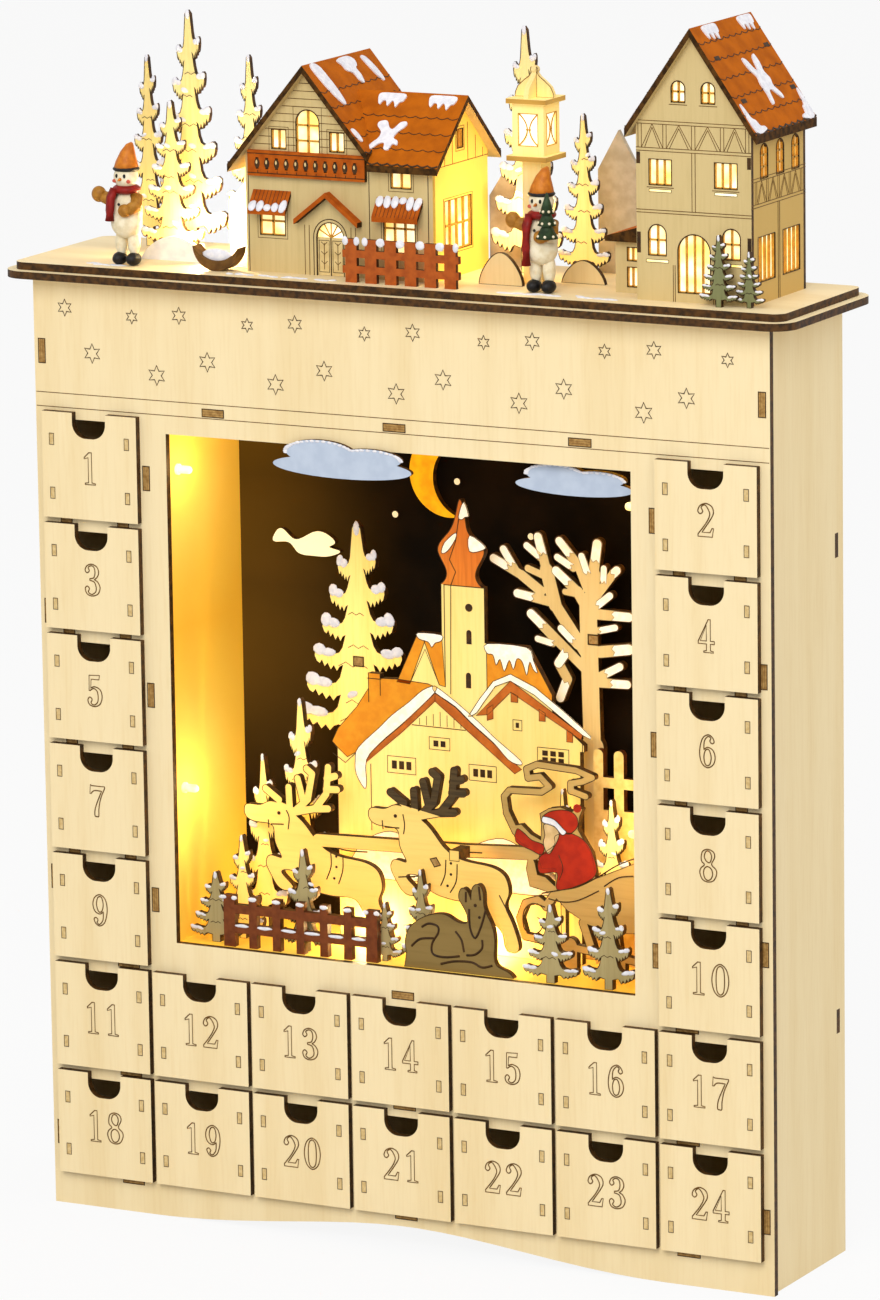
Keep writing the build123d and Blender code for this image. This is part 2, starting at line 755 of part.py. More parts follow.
antler_shares = (
    (0.24, 0.735, 0.35, 0.705), (0.35, 0.705, 0.475, 0.735), (0.475, 0.735, 0.55, 0.825),
    (0.55, 0.825, 0.565, 0.975),
    (0.35, 0.715, 0.43, 0.785), (0.43, 0.785, 0.46, 0.930), (0.46, 0.930, 0.425, 0.955),
    (0.31, 0.73, 0.305, 0.840),
    (0.40, 0.765, 0.365, 0.895), (0.24, 0.765, 0.155, 0.820), (0.55, 0.850, 0.620, 0.855),
    (0.555, 0.910, 0.610, 0.930), (0.465, 0.732, 0.560, 0.742),
)


def reindeer_sketch():
    """The reindeer's body and antlers, as a sketch of its own."""
    with BuildSketch() as reindeer:
        with BuildLine():
            Spline(*scaled(reindeer_shares, deer_width, deer_height), periodic=True)
        make_face()
        for u0, v0, u1, v1 in antler_shares:
            start, end = scaled(((u0, v0), (u1, v1)), deer_width, deer_height)
            stroke(start, end, antler_width_share * deer_width)
    return reindeer.sketch


# Sleigh team: rear reindeer, shaft, sleigh, driver and whip in one sheet, with the front reindeer's peg
team_left_share = -0.4073
team_deer_lift_share = 0.024
front_deer_left_share = -0.1075
front_deer_lift_share = 0.112
sleigh_left_share = 0.665
shaft_deer_shares = (0.492, 0.560)
shaft_sleigh_shares = (0.239, 0.553)
shaft_width_share = 0.062
peg_deer_shares = (0.559, 0.503)
sleigh_body_shares = (
    (0.205, 0.567), (0.246, 0.507), (0.263, 0.454), (0.322, 0.447), (0.390, 0.410), (0.450, 0.400),
    (0.578, 0.410),
    (0.670, 0.455), (0.810, 0.500), (1.0, 0.560), (1.0, 0.222), (0.858, 0.214), (0.648, 0.237),
    (0.485, 0.297),
    (0.368, 0.372), (0.263, 0.387), (0.205, 0.394), (0.180, 0.477),
)
driver_shares = (
    (0.390, 0.380), (0.403, 0.492), (0.298, 0.485), (0.275, 0.530), (0.290, 0.560), (0.147, 0.597),
    (0.094, 0.627),
    (0.100, 0.680), (0.147, 0.688), (0.217, 0.646), (0.292, 0.622), (0.298, 0.695), (0.287, 0.748),
    (0.357, 0.778),
    (0.438, 0.789), (0.530, 0.774), (0.565, 0.803), (0.607, 0.789), (0.585, 0.755), (0.570, 0.690),
    (0.613, 0.642),
    (0.671, 0.582), (0.700, 0.477), (0.640, 0.400),
)
runner_shares = (
    (0.16, 0.150, 1.0, 0.085, 0.050), (0.16, 0.150, 0.125, 0.235, 0.050),
    (0.125, 0.235, 0.17, 0.312, 0.050),
    (0.17, 0.312, 0.265, 0.334, 0.050), (0.265, 0.334, 0.325, 0.305, 0.050),
    (0.325, 0.305, 0.380, 0.360, 0.060),
    (0.60, 0.245, 0.67, 0.110, 0.060), (0.84, 0.220, 0.86, 0.100, 0.060),
    (0.50, 0.130, 0.50, 0.030, 0.110), (0.86, 0.100, 0.86, 0.030, 0.110),
)
whip_shares = (
    (0.10, 0.650, 0.036, 0.735, 0.050), (0.036, 0.735, 0.02, 0.812, 0.045),
    (0.02, 0.812, 0.06, 0.845, 0.045),
    (0.06, 0.845, 0.30, 0.852, 0.045), (0.30, 0.852, 0.36, 0.880, 0.045), (0.36, 0.880, 0.29, 0.925, 0.045),
    (0.29, 0.925, 0.20, 0.912, 0.045), (0.20, 0.912, 0.19, 0.955, 0.045), (0.19, 0.955, 0.27, 0.982, 0.045),
    (0.27, 0.982, 0.56, 0.972, 0.045), (0.56, 0.972, 0.68, 0.945, 0.045),
    (0.68, 0.945, 0.61, 0.922, 0.045), (0.61, 0.922, 0.52, 0.906, 0.045), (0.52, 0.906, 0.52, 0.872, 0.050),
    (0.52, 0.872, 0.63, 0.852, 0.045),
)
sleigh_width_share = 0.335
team_left = team_left_share * window_width
sleigh_left = sleigh_left_share * team_width
sleigh_width = sleigh_width_share * team_width
front_deer_left = front_deer_left_share * window_width
front_deer_lift = front_deer_lift_share * deer_height
peg_x = front_deer_left - team_left + peg_deer_shares[0] * deer_width
peg_z = front_deer_lift + peg_deer_shares[1] * deer_height
team_deer_lift = team_deer_lift_share * team_height
shaft_points = (
    (shaft_deer_shares[0] * deer_width, team_deer_lift + shaft_deer_shares[1] * deer_height),
    (peg_x, peg_z),
    (sleigh_left + shaft_sleigh_shares[0] * sleigh_width, shaft_sleigh_shares[1] * team_height),
)
team_back = layer(team_layer_share)
deer_back = layer(deer_layer_share)
rear_deer = reindeer_sketch()
front_deer = reindeer_sketch()

with BuildPart() as sleigh_team:
    with BuildSketch(upright(team_left, team_back, window_sill)):
        add(rear_deer.moved(Location((0, team_deer_lift))))
        for start, end in zip(shaft_points, shaft_points[1:]):
            stroke(start, end, shaft_width_share * team_height)
        with BuildSketch(mode=Mode.PRIVATE) as sleigh:
            for outline in (sleigh_body_shares, driver_shares):
                with BuildLine():
                    Polyline(*scaled(outline, sleigh_width, team_height), close=True)
                make_face()
            for u0, v0, u1, v1, width in runner_shares + whip_shares:
                start, end = scaled(((u0, v0), (u1, v1)), sleigh_width, team_height)
                stroke(start, end, width * sleigh_width)
        add(sleigh.sketch.moved(Location((sleigh_left, 0))))
        with Locations((team_width / 2, -team_height / 2)):
            Rectangle(2 * team_width, team_height, mode=Mode.SUBTRACT)
    extrude(amount=ply)
    with BuildSketch(upright(team_left, team_back - ply, window_sill)):
        with Locations((peg_x, peg_z)):
            Rectangle(peg_size, peg_size)
    extrude(amount=team_back - deer_back)
write(sleigh_team.part, "sleigh_team")

# Deer figures: the front reindeer on its peg and the resting deer on the floor
resting_left_share = -0.006
resting_shares = (
    (0.023, 0.163), (0.010, 0.293), (0.043, 0.423), (0.137, 0.538), (0.258, 0.610), (0.393, 0.619),
    (0.500, 0.555),
    (0.575, 0.560), (0.561, 0.700), (0.507, 0.847), (0.541, 0.936), (0.595, 0.890), (0.618, 0.820),
    (0.635, 0.955),
    (0.689, 0.993), (0.730, 0.912), (0.736, 0.766), (0.797, 0.586), (0.830, 0.358), (0.850, 0.120),
    (0.940, 0.070),
    (0.990, 0.020),
)
with BuildPart() as deer_figures:
    with BuildSketch(upright(front_deer_left, deer_back, window_sill + front_deer_lift)):
        add(front_deer)
        with Locations((team_left + peg_x - front_deer_left, peg_z - front_deer_lift)):
            Rectangle(peg_size, peg_size, mode=Mode.SUBTRACT)
    extrude(amount=ply)
    with BuildSketch(upright(resting_left_share * window_width, layer(front_layer_share), window_sill)):
        with BuildLine():
            resting_line = Spline(*scaled(resting_shares, resting_width, resting_height))
            Polyline(resting_line @ 1, (resting_width, 0), (0, 0), resting_line @ 0)
        make_face()
    extrude(amount=ply)
write(deer_figures.part, "deer_figures")

# Picket fences: two in the window and one on the deck
window_fence_x_share = -0.2347
window_pickets = 7
window_rail_shares = (0.36, 0.74)
window_rail_height_share = 0.17
bank_x_share = 0.374
bank_top_share = 0.74
bank_pickets = 3
bank_rail_share = 0.87
deck_fence_x_share = 0.0094
deck_fence_y_share = 0.022
deck_pickets = 6
deck_rail_shares = (0.30, 0.66)
deck_rail_height_share = 0.17
deck_rail_reach_share = 1.05
with BuildPart() as picket_fences:
    with BuildSketch(upright(window_fence_x_share * window_width, layer(front_layer_share), window_sill)):
        window_pitch = (window_fence_width - window_post_width) / (window_pickets - 1)
        with Locations((0, window_fence_height / 2)):
            with GridLocations(window_pitch, 0, window_pickets, 1):
                Rectangle(window_picket_width, window_fence_height)
            with GridLocations(window_fence_width - window_post_width, 0, 2, 1):
                Rectangle(window_post_width, window_fence_height)
        for share in window_rail_shares:
            with Locations((0, share * window_fence_height)):
                Rectangle(window_fence_width, window_rail_height_share * window_fence_height)
    extrude(amount=ply)
    with BuildSketch(upright(bank_x_share * window_width, layer(bank_layer_share), window_sill)):
        bank_top = bank_top_share * bank_fence_height
        with Locations((0, bank_top / 2)):
            Rectangle(bank_fence_width, bank_top)
        bank_pitch = (bank_fence_width - bank_picket_width) / (bank_pickets - 1)
        for index in range(bank_pickets):
            foot = (index * bank_pitch - (bank_fence_width - bank_picket_width) / 2, bank_top)
            stroke(foot, (foot[0], bank_fence_height), bank_picket_width)
        with Locations((0, bank_rail_share * bank_fence_height)):
            Rectangle(bank_fence_width, bank_picket_width)
    extrude(amount=ply)
    deck_fence_back = y_front + deck_fence_y_share * cabinet_depth + thin_ply
    with BuildSketch(upright(deck_fence_x_share * cabinet_width, deck_fence_back, deck_top)):
        deck_pitch = (deck_fence_width - deck_picket_width) / (deck_pickets - 1)
        with Locations((0, deck_fence_height / 2)):
            with GridLocations(deck_pitch, 0, deck_pickets, 1):
                Rectangle(deck_picket_width, deck_fence_height)
        for share in deck_rail_shares:
            with Locations((0, share * deck_fence_height)):
                Rectangle(
                    deck_rail_reach_share * deck_fence_width, deck_rail_height_share * deck_fence_height
                )
    extrude(amount=thin_ply)
write(picket_fences.part, "picket_fences")


# Walls with windows: each opening is its centre, sill, width and height as shares, and whether it is arched
def draw_openings(openings, width, height):
    """Cut a wall's openings, in the sketch that is open."""
    for u, v, across, tall, arched in openings:
        half = across * width / 2
        sill = v * height
        head = (v + tall) * height - (half if arched else 0)
        with Locations((u * width, (sill + head) / 2)):
            Rectangle(2 * half, head - sill, mode=Mode.SUBTRACT)
        if arched:
            with Locations((u * width, head)):
                Circle(half, mode=Mode.SUBTRACT)


def wall(plane, width, eave, gable, openings):
    """One thin wall centred on its plane, with a gable on top where gable is over zero."""
    with BuildPart() as piece:
        with BuildSketch(plane):
            half = width / 2
            peak = [(0, eave + gable)] if gable > 0 else []
            with BuildLine():
                Polyline((-half, 0), (half, 0), (half, eave), *peak, (-half, eave), close=True)
            make_face()
            draw_openings(openings, width, eave + gable)
        extrude(amount=thin_ply)
    return piece.part


# Cottage walls: a main block with its gable to the front, and a wing with its gable to the side
cottage_x_share = -0.132
cottage_y_share = 0.174
cottage_front_openings_shares = (
    (0.0, 0.585, 0.184, 0.230, True), (-0.23, 0.615, 0.115, 0.095, False),
    (0.23, 0.615, 0.115, 0.095, False),
    (-0.29, 0.185, 0.200, 0.140, False), (0.165, 0.0, 0.215, 0.265, True),
)
wing_front_openings_shares = ((-0.02, 0.20, 0.56, 0.36, False), (0.02, 0.78, 0.36, 0.13, False))
wing_side_openings_shares = ((-0.05, 0.155, 0.48, 0.295, False), (0.0, 0.735, 0.11, 0.11, False))
cottage_x = cottage_x_share * cabinet_width
cottage_y = y_front + cottage_y_share * cabinet_depth
wing_left = cottage_x + cottage_width / 2
wing_right = wing_left + wing_width
wing_mid_x = wing_left + (wing_width - thin_ply) / 2
wing_mid_y = cottage_y + wing_depth / 2
cottage_rear = cottage_y + cottage_depth
wing_rear = cottage_y + wing_depth
cottage_walls = [
    wall(upright(cottage_x, cottage_y + thin_ply, deck_top), cottage_width, cottage_eave, cottage_gable,
         cottage_front_openings_shares),
    wall(upright(cottage_x, cottage_rear, deck_top), cottage_width, cottage_eave, cottage_gable, ()),
    wall(upright(wing_mid_x, cottage_y + thin_ply, deck_top), wing_width - thin_ply, cottage_eave, 0,
         wing_front_openings_shares),
    wall(upright(wing_mid_x, wing_rear, deck_top), wing_width - thin_ply, cottage_eave, 0, ()),
    wall(sideways(wing_right - thin_ply, wing_mid_y, deck_top), wing_depth, cottage_eave, wing_gable,
         wing_side_openings_shares),
]
for low_x in (cottage_x - cottage_width / 2, wing_left - thin_ply):
    high_x = low_x + thin_ply
    eave_z = deck_top + cottage_eave
    cottage_walls.append(
        board(low_x, cottage_y + thin_ply, deck_top, high_x, cottage_rear - thin_ply, eave_z)
    )
write_group("cottage_walls", cottage_walls)


# Roof boards: a sloping board seen from its gable end, from the ridge down past the eave
def roof_points(half_span, rise, past_eave, side):
    """The board's section, with its underside on the gable's slope and its ridge edge upright."""
    slope = rise / half_span
    lift = thin_ply * hypot(half_span, rise) / half_span
    reach = half_span + past_eave
    return [(0, 0), (side * reach, -slope * reach), (side * reach, -slope * reach + lift), (0, lift)]


cottage_peak = deck_top + cottage_eave + cottage_gable
cottage_roof = [
    sheet(upright(cottage_x, cottage_rear + roof_overhang, cottage_peak),
          roof_points(cottage_width / 2, cottage_gable, past, side), cottage_depth + 2 * roof_overhang)
    for side, past in ((-1, eave_overhang), (1, 0))
]
# The wing's boards run up against the main roof, cut to its slope
wing_peak = deck_top + cottage_eave + wing_gable
main_slope = cottage_gable / (cottage_width / 2)
main_lift = thin_ply * hypot(cottage_width / 2, cottage_gable) / (cottage_width / 2)
wing_reach = wing_right + roof_overhang - cottage_x
roof_foot = cottage_width / 2
roof_fall = cottage_gable + cottage_eave
for side in (-1, 1):
    with BuildPart() as wing_board:
        with BuildSketch(sideways(cottage_x, wing_mid_y, wing_peak)):
            with BuildLine():
                Polyline(*roof_points(wing_depth / 2, wing_gable, roof_overhang, side), close=True)
            make_face()
        extrude(amount=wing_reach)
        with BuildSketch(upright(cottage_x, wing_rear + 2 * roof_overhang, cottage_peak + main_lift)):
            with BuildLine():
                Polyline((0, 0), (roof_foot, -main_slope * roof_foot), (roof_foot, -roof_fall),
                         (0, -roof_fall), close=True)
            make_face()
        extrude(amount=wing_depth + 4 * roof_overhang, mode=Mode.SUBTRACT)
    cottage_roof.append(wing_board.part)
write_group("cottage_roof", cottage_roof)

# Cottage trim on the front wall: balcony strip, two awnings and the door hood
balcony_level_share = 0.93
balcony_slots = 11
balcony_width = cottage_width - 2 * thin_ply
slot_width_share = 0.30
slot_height_share = 0.45
awning_shares = ((-0.29, 0.30), (0.72, 0.36))
awning_level_share = 0.70
hood_x_share = 0.165
hood_level_share = 0.48
with BuildPart() as cottage_trim:
    balcony_z = deck_top + balcony_level_share * cottage_eave
    with BuildSketch(upright(cottage_x, cottage_y, balcony_z)):
        Rectangle(balcony_width, balcony_height)
        balcony_pitch = balcony_width / (balcony_slots + 1)
        with GridLocations(balcony_pitch, 0, balcony_slots, 1):
            Rectangle(
                slot_width_share * balcony_pitch, slot_height_share * balcony_height, mode=Mode.SUBTRACT
            )
    extrude(amount=thin_ply)
    awning_top = deck_top + awning_level_share * cottage_eave
    for x_share, width_share in awning_shares:
        awning_x = cottage_x + x_share * cottage_width
        half = width_share * cottage_width / 2
        with BuildSketch(sideways(awning_x - half, cottage_y, awning_top)):
            with BuildLine():
                Polyline((0, 0), (-awning_reach, -awning_drop), (-awning_reach, -awning_drop - thin_ply),
                         (0, -thin_ply), close=True)
            make_face()
        extrude(amount=2 * half)
    hood_x = cottage_x + hood_x_share * cottage_width
    hood_half = hood_width / 2
    with BuildSketch(upright(hood_x, cottage_y, deck_top + hood_level_share * cottage_eave)):
        with BuildLine():
            Polyline((-hood_half, 0), (0, hood_rise), (hood_half, 0), (hood_half, -hood_thickness),
                     (0, hood_rise - hood_thickness), (-hood_half, -hood_thickness), close=True)
        make_face()
    extrude(amount=hood_reach)
write(cottage_trim.part, "cottage_trim")

# Tall house walls, with a lean-to annex on its left
house_x_share = 0.3906
house_y_share = 0.116
annex_y_share = 0.290
house_front_openings_shares = (
    (-0.13, 0.752, 0.120, 0.080, True), (0.13, 0.752, 0.120, 0.080, True),
    (-0.29, 0.437, 0.198, 0.097, False), (0.28, 0.437, 0.198, 0.097, False),
    (-0.32, 0.171, 0.156, 0.117, True), (0.325, 0.171, 0.156, 0.117, True),
    (0.0, 0.036, 0.283, 0.222, True),
)
house_side_openings_shares = (
    (-0.29, 0.707, 0.150, 0.197, True), (0.03, 0.707, 0.150, 0.197, True),
    (0.34, 0.707, 0.150, 0.197, True),
    (-0.25, 0.124, 0.340, 0.257, False), (0.25, 0.124, 0.340, 0.257, False),
)
annex_openings_shares = ((0.05, 0.12, 0.44, 0.38, False), (0.05, 0.62, 0.44, 0.26, False))
house_x = house_x_share * cabinet_width
house_y = y_front + house_y_share * cabinet_depth
house_rear = house_y + house_depth
house_left = house_x - house_width / 2
side_wall_depth = house_depth - 2 * thin_ply
annex_y = y_front + annex_y_share * cabinet_depth
annex_left = house_left - annex_width
house_mid_y = house_y + house_depth / 2
annex_mid_x = annex_left + annex_width / 2
annex_rear = annex_y + annex_depth
annex_top = deck_top + annex_height
tall_house_walls = [
    wall(upright(house_x, house_y + thin_ply, deck_top), house_width, house_eave, house_gable,
         house_front_openings_shares),
    wall(upright(house_x, house_rear, deck_top), house_width, house_eave, house_gable, ()),
    wall(sideways(house_left, house_mid_y, deck_top), side_wall_depth, house_eave, 0, ()),
    wall(sideways(house_left + house_width - thin_ply, house_mid_y, deck_top), side_wall_depth, house_eave,
         0, house_side_openings_shares),
    wall(upright(annex_mid_x, annex_y + thin_ply, deck_top), annex_width, annex_height, 0,
         annex_openings_shares),
    wall(upright(annex_mid_x, annex_rear, deck_top), annex_width, annex_height, 0, ()),
    board(annex_left, annex_y + thin_ply, deck_top, annex_left + thin_ply, annex_rear - thin_ply, annex_top),
]
write_group("tall_house_walls", tall_house_walls)

house_peak = deck_top + house_eave + house_gable
tall_house_roof = [
    sheet(upright(house_x, house_rear + house_overhang, house_peak),
          roof_points(house_width / 2, house_gable, house_eave_overhang, side),
          house_depth + 2 * house_overhang)
    for side in (-1, 1)
]
annex_out = annex_width + house_overhang
tall_house_roof.append(
    sheet(upright(house_left, annex_rear + house_overhang, annex_top),
          [(0, 0), (-annex_out, 0), (-annex_out, thin_ply), (0, annex_rise)],
          annex_depth + 2 * house_overhang)
)
write_group("tall_house_roof", tall_house_roof)

# Lantern: hollow post, two plates, light body with four windows, and a curved cap of two crossed sheets
lantern_window_share = 0.62
lantern_cap_shares = (
    (0.0, 1.0), (0.10, 0.95), (0.12, 0.86), (0.09, 0.78), (0.17, 0.66), (0.34, 0.52), (0.52, 0.34),
    (0.60, 0.15), (0.62, 0.0),
)
plate_foot = deck_top + post_height
body_foot = plate_foot + thin_ply
body_head = body_foot + lantern_height
cap_foot = body_head + thin_ply
lantern_lead = lantern_x, wire_y
lantern_parts = []
with BuildPart() as lantern_post:
    with BuildSketch(Plane.XY.offset(deck_top)):
        with Locations(lantern_lead):
            Rectangle(post_width, post_width)
            Rectangle(post_width - 2 * thin_ply, post_width - 2 * thin_ply, mode=Mode.SUBTRACT)
    extrude(amount=post_height)
lantern_parts.append(lantern_post.part)
for foot in (plate_foot, body_head):
    with BuildPart() as lantern_plate:
        with BuildSketch(Plane.XY.offset(foot)):
            with Locations(lantern_lead):
                Rectangle(lantern_plate_width, lantern_plate_width)
                Circle(lead_hole, mode=Mode.SUBTRACT)
        extrude(amount=thin_ply)
    lantern_parts.append(lantern_plate.part)
with BuildPart() as lantern_body:
    with BuildSketch(Plane.XY.offset(body_foot)):
        with Locations(lantern_lead):
            Rectangle(lantern_width, lantern_width)
            Rectangle(lantern_width - 2 * thin_ply, lantern_width - 2 * thin_ply, mode=Mode.SUBTRACT)
    extrude(amount=lantern_height)
    body_middle = body_foot + lantern_height / 2
    with BuildSketch(upright(lantern_x, wire_y + lantern_width, body_middle)):
        Rectangle(lantern_window_share * lantern_width, lantern_window_share * lantern_height)
    extrude(amount=2 * lantern_width, mode=Mode.SUBTRACT)
    with BuildSketch(sideways(lantern_x - lantern_width, wire_y, body_middle)):
        Rectangle(lantern_window_share * lantern_width, lantern_window_share * lantern_height)
    extrude(amount=2 * lantern_width, mode=Mode.SUBTRACT)
lantern_parts.append(lantern_body.part)
cap_half = scaled(lantern_cap_shares, lantern_width, lantern_cap_height)
cap_points = cap_half + [(-x, z) for x, z in reversed(cap_half[1:])]
with BuildPart() as lantern_cap:
    with BuildSketch(upright(lantern_x, wire_y + thin_ply / 2, cap_foot)):
        with BuildLine():
            Polyline(*cap_points, close=True)
        make_face()
    extrude(amount=thin_ply)
    with BuildSketch(sideways(lantern_x - thin_ply / 2, wire_y, cap_foot)):
        with BuildLine():
            Polyline(*cap_points, close=True)
        make_face()
    extrude(amount=thin_ply)
lantern_parts.append(lantern_cap.part)
write_group("lantern", lantern_parts)

# Firs on the deck: x and depth of the front face, width and height as shares
deck_fir_shares = (
    (-0.354, 0.652, 0.330, 1.0), (-0.426, 0.754, 0.215, 0.795), (-0.282, 0.754, 0.235, 0.818),
    (-0.363, 0.500, 0.290, 0.640), (0.105, 0.700, 0.315, 1.0), (0.192, 0.610, 0.225, 0.670),
    (0.430, 0.040, 0.160, 0.285), (0.466, 0.075, 0.125, 0.222),
)
deck_fir_tiers = 6
deck_skirt_share = 0.10
with BuildPart() as deck_firs:
    for x_share, depth_share, width_share, height_share in deck_fir_shares:
        fir_back = y_front + depth_share * cabinet_depth + thin_ply
        points = fir_outline(
            width_share * deck_fir_height, height_share * deck_fir_height, deck_fir_tiers, deck_skirt_share
        )
        with BuildSketch(upright(x_share * cabinet_width, fir_back, deck_top)):
            with BuildLine():
                Polyline(*points, close=True)
            make_face()
        extrude(amount=thin_ply)
write(deck_firs.part, "deck_firs")

# Snow figures: boots, legs, round body, head, scarf and tall hat in one casting each
figure_place_shares = ((-0.376, 0.100, -1), (0.189, 0.130, -1))
boot_shares = (0.42, 0.62, 0.50)
leg_spread_share = 0.46
leg_radius_share = 0.36
leg_height_share = 0.34
body_height_share = 0.40
head_height_share = 0.66
head_radius_share = 0.80
brim_height_share = 0.75
hat_radius_share = 0.86
hat_tip_share = 0.16
scarf_height_share = 0.565
scarf_radius_share = 0.62
scarf_thickness_share = 0.22
arm_radius_share = 0.34
hand_radius_share = 0.43
arm_reach_share = 1.75
arm_height_share = 0.47
hand_height_share = 0.56
with BuildPart() as snow_figures:
    for x_share, y_share, raised in figure_place_shares:
        figure_x = x_share * cabinet_width
        figure_y = y_front + y_share * cabinet_depth
        for side in (-1, 1):
            leg_x = figure_x + side * leg_spread_share * figure_radius
            with Locations((leg_x, figure_y, deck_top)):
                Cylinder(leg_radius_share * figure_radius, leg_height_share * figure_height,
                         align=(Align.CENTER, Align.CENTER, Align.MIN))
            with BuildSketch(Plane.XY.offset(deck_top)):
                with Locations((leg_x, figure_y - boot_shares[2] * boot_shares[0] * figure_radius)):
                    Ellipse(boot_shares[0] * figure_radius, boot_shares[1] * figure_radius)
            extrude(amount=boot_shares[2] * figure_radius)
        with Locations((figure_x, figure_y, deck_top + body_height_share * figure_height)):
            Sphere(figure_radius)
        with Locations((figure_x, figure_y, deck_top + scarf_height_share * figure_height)):
            Cylinder(scarf_radius_share * figure_radius, 2 * scarf_thickness_share * figure_height)
        with Locations((figure_x, figure_y, deck_top + head_height_share * figure_height)):
            Sphere(head_radius_share * figure_radius)
        hat_height = (1 - brim_height_share) * figure_height
        with Locations((figure_x, figure_y, deck_top + brim_height_share * figure_height)):
            Cone(hat_radius_share * figure_radius, hat_tip_share * figure_radius, hat_height,
                 align=(Align.CENTER, Align.CENTER, Align.MIN))
        shoulder = deck_top + arm_height_share * figure_height
        hand = deck_top + hand_height_share * figure_height
        for side in (-1, 1):
            rise = hand if side == raised else shoulder
            out = side * arm_reach_share * figure_radius if side == raised else side * figure_radius
            start = (figure_x, figure_y, shoulder)
            end = (figure_x + out, figure_y - arm_radius_share * figure_radius, rise)
            with BuildLine() as arm_line:
                Line(start, end)
            with BuildSketch(Plane(origin=start, z_dir=arm_line.line % 0)):
                Circle(arm_radius_share * figure_radius)
            sweep(path=arm_line.line)
            with Locations(end):
                Sphere(hand_radius_share * figure_radius)
write(snow_figures.part, "snow_figures")

# Mounds, plain house silhouettes and the small crescent log on the deck
silhouette_shares = (
    (0.212, 0.870, 0.32, 1.0), (0.058, 0.870, 0.25, 0.68), (-0.268, 0.600, 0.29, 0.55),
)
silhouette_roof_share = 0.72
mound_shares = ((-0.339, 0.320, 1.0, 0.32), (0.118, 0.260, 0.62, 0.42), (0.205, 0.480, 0.62, 0.30))
mound_outline_shares = ((1.0, 0.0), (0.55, 0.75), (0.0, 1.0), (-0.60, 0.70), (-1.0, 0.0))
crescent_place_shares = (-0.252, 0.130)
crescent_dip_share = 0.42
crescent_thick_share = 0.36
with BuildPart() as deck_hills:
    for x_share, depth_share, width_share, height_share in silhouette_shares:
        half = width_share * silhouette_height / 2
        top = height_share * silhouette_height
        with BuildSketch(
            upright(x_share * cabinet_width, y_front + depth_share * cabinet_depth + thin_ply, deck_top)
        ):
            with BuildLine():
                Polyline((-half, 0), (half, 0), (half, silhouette_roof_share * top), (0, top),
                         (-half, silhouette_roof_share * top), close=True)
            make_face()
        extrude(amount=thin_ply)
    for x_share, depth_share, width_share, height_share in mound_shares:
        half = width_share * mound_width / 2
        top = height_share * mound_width
        with BuildSketch(
            upright(x_share * cabinet_width, y_front + depth_share * cabinet_depth + thin_ply, deck_top)
        ):
            with BuildLine():
                Spline(*scaled(mound_outline_shares, half, top))
                Line((-half, 0), (half, 0))
            make_face()
        extrude(amount=thin_ply)
    crescent_x = crescent_place_shares[0] * cabinet_width
    crescent_y = y_front + crescent_place_shares[1] * cabinet_depth
    crescent_half = crescent_width / 2
    crescent_thick = crescent_thick_share * crescent_width
    with BuildSketch(upright(crescent_x, crescent_y + crescent_thick / 2, deck_top)):
        with BuildLine():
            ThreePointArc((-crescent_half, crescent_height), (0, crescent_dip_share * crescent_height),
                          (crescent_half, crescent_height))
            ThreePointArc((crescent_half, crescent_height), (0, 0), (-crescent_half, crescent_height))
        make_face()
    extrude(amount=crescent_thick)
write(deck_hills.part, "deck_hills")

# Bulbs: a flanged dome on each lead hole
lantern_bulb_z = body_foot
with BuildPart() as led_bulbs:
    bulb_planes = [Plane(origin=(x, wire_y, deck_top)) for x in deck_bulbs]
    bulb_planes.append(Plane(origin=(lantern_x, wire_y, lantern_bulb_z)))
    bulb_planes += [Plane(origin=(x, wire_y, window_sill)) for x in floor_bulbs]
    bulb_planes += [
        Plane(origin=(side * window_width / 2, y_wall_bulb, z), z_dir=(-side, 0, 0))
        for side in (-1, 1)
        for z in wall_bulbs
    ]
    for plane in bulb_planes:
        with BuildSketch(plane):
            Circle(bulb_flange_radius)
        extrude(amount=bulb_flange)
        with BuildSketch(plane.offset(bulb_flange)):
            Circle(bulb_radius)
        extrude(amount=bulb_height)
        with Locations(plane.offset(bulb_flange + bulb_height).location):
            Sphere(bulb_radius)
write(led_bulbs.part, "led_bulbs")

# Wiring: one run from the tall house over the ceiling, down the left wall and under the floor, and branches
branch_runs = [((x, wire_y, wire_top), (x, wire_y, deck_top)) for x in deck_bulbs]
branch_runs.append(((lantern_x, wire_y, wire_top), (lantern_x, wire_y, lantern_bulb_z)))
branch_runs += [((x, wire_y, wire_low), (x, wire_y, window_sill)) for x in floor_bulbs]
branch_runs.append(((wire_x, wire_y, wire_top), (wire_x, wire_y, wall_bulbs[0])))
for side in (-1, 1):
    for z in wall_bulbs:
        branch_runs.append(((side * wire_x, wire_y, z), (side * wire_x, y_wall_bulb, z)))
        branch_runs.append(((side * wire_x, y_wall_bulb, z), (side * window_width / 2, y_wall_bulb, z)))
case_lead_x = case_x_inner / 2
case_lead = (case_lead_x, wire_y, case_mid_z)
branch_runs.append(((case_lead_x, wire_y, wire_top), case_lead))
branch_runs.append((case_lead, (case_lead_x, y_case_floor - case_wall, case_mid_z)))
lead_start = (wire_radius + splice_radius) / 2
main_run = [
    (max(deck_bulbs), wire_y, wire_top),
    (-wire_x, wire_y, wire_top),
    (-wire_x, wire_y, wire_low),
    (max(floor_bulbs), wire_y, wire_low),
]
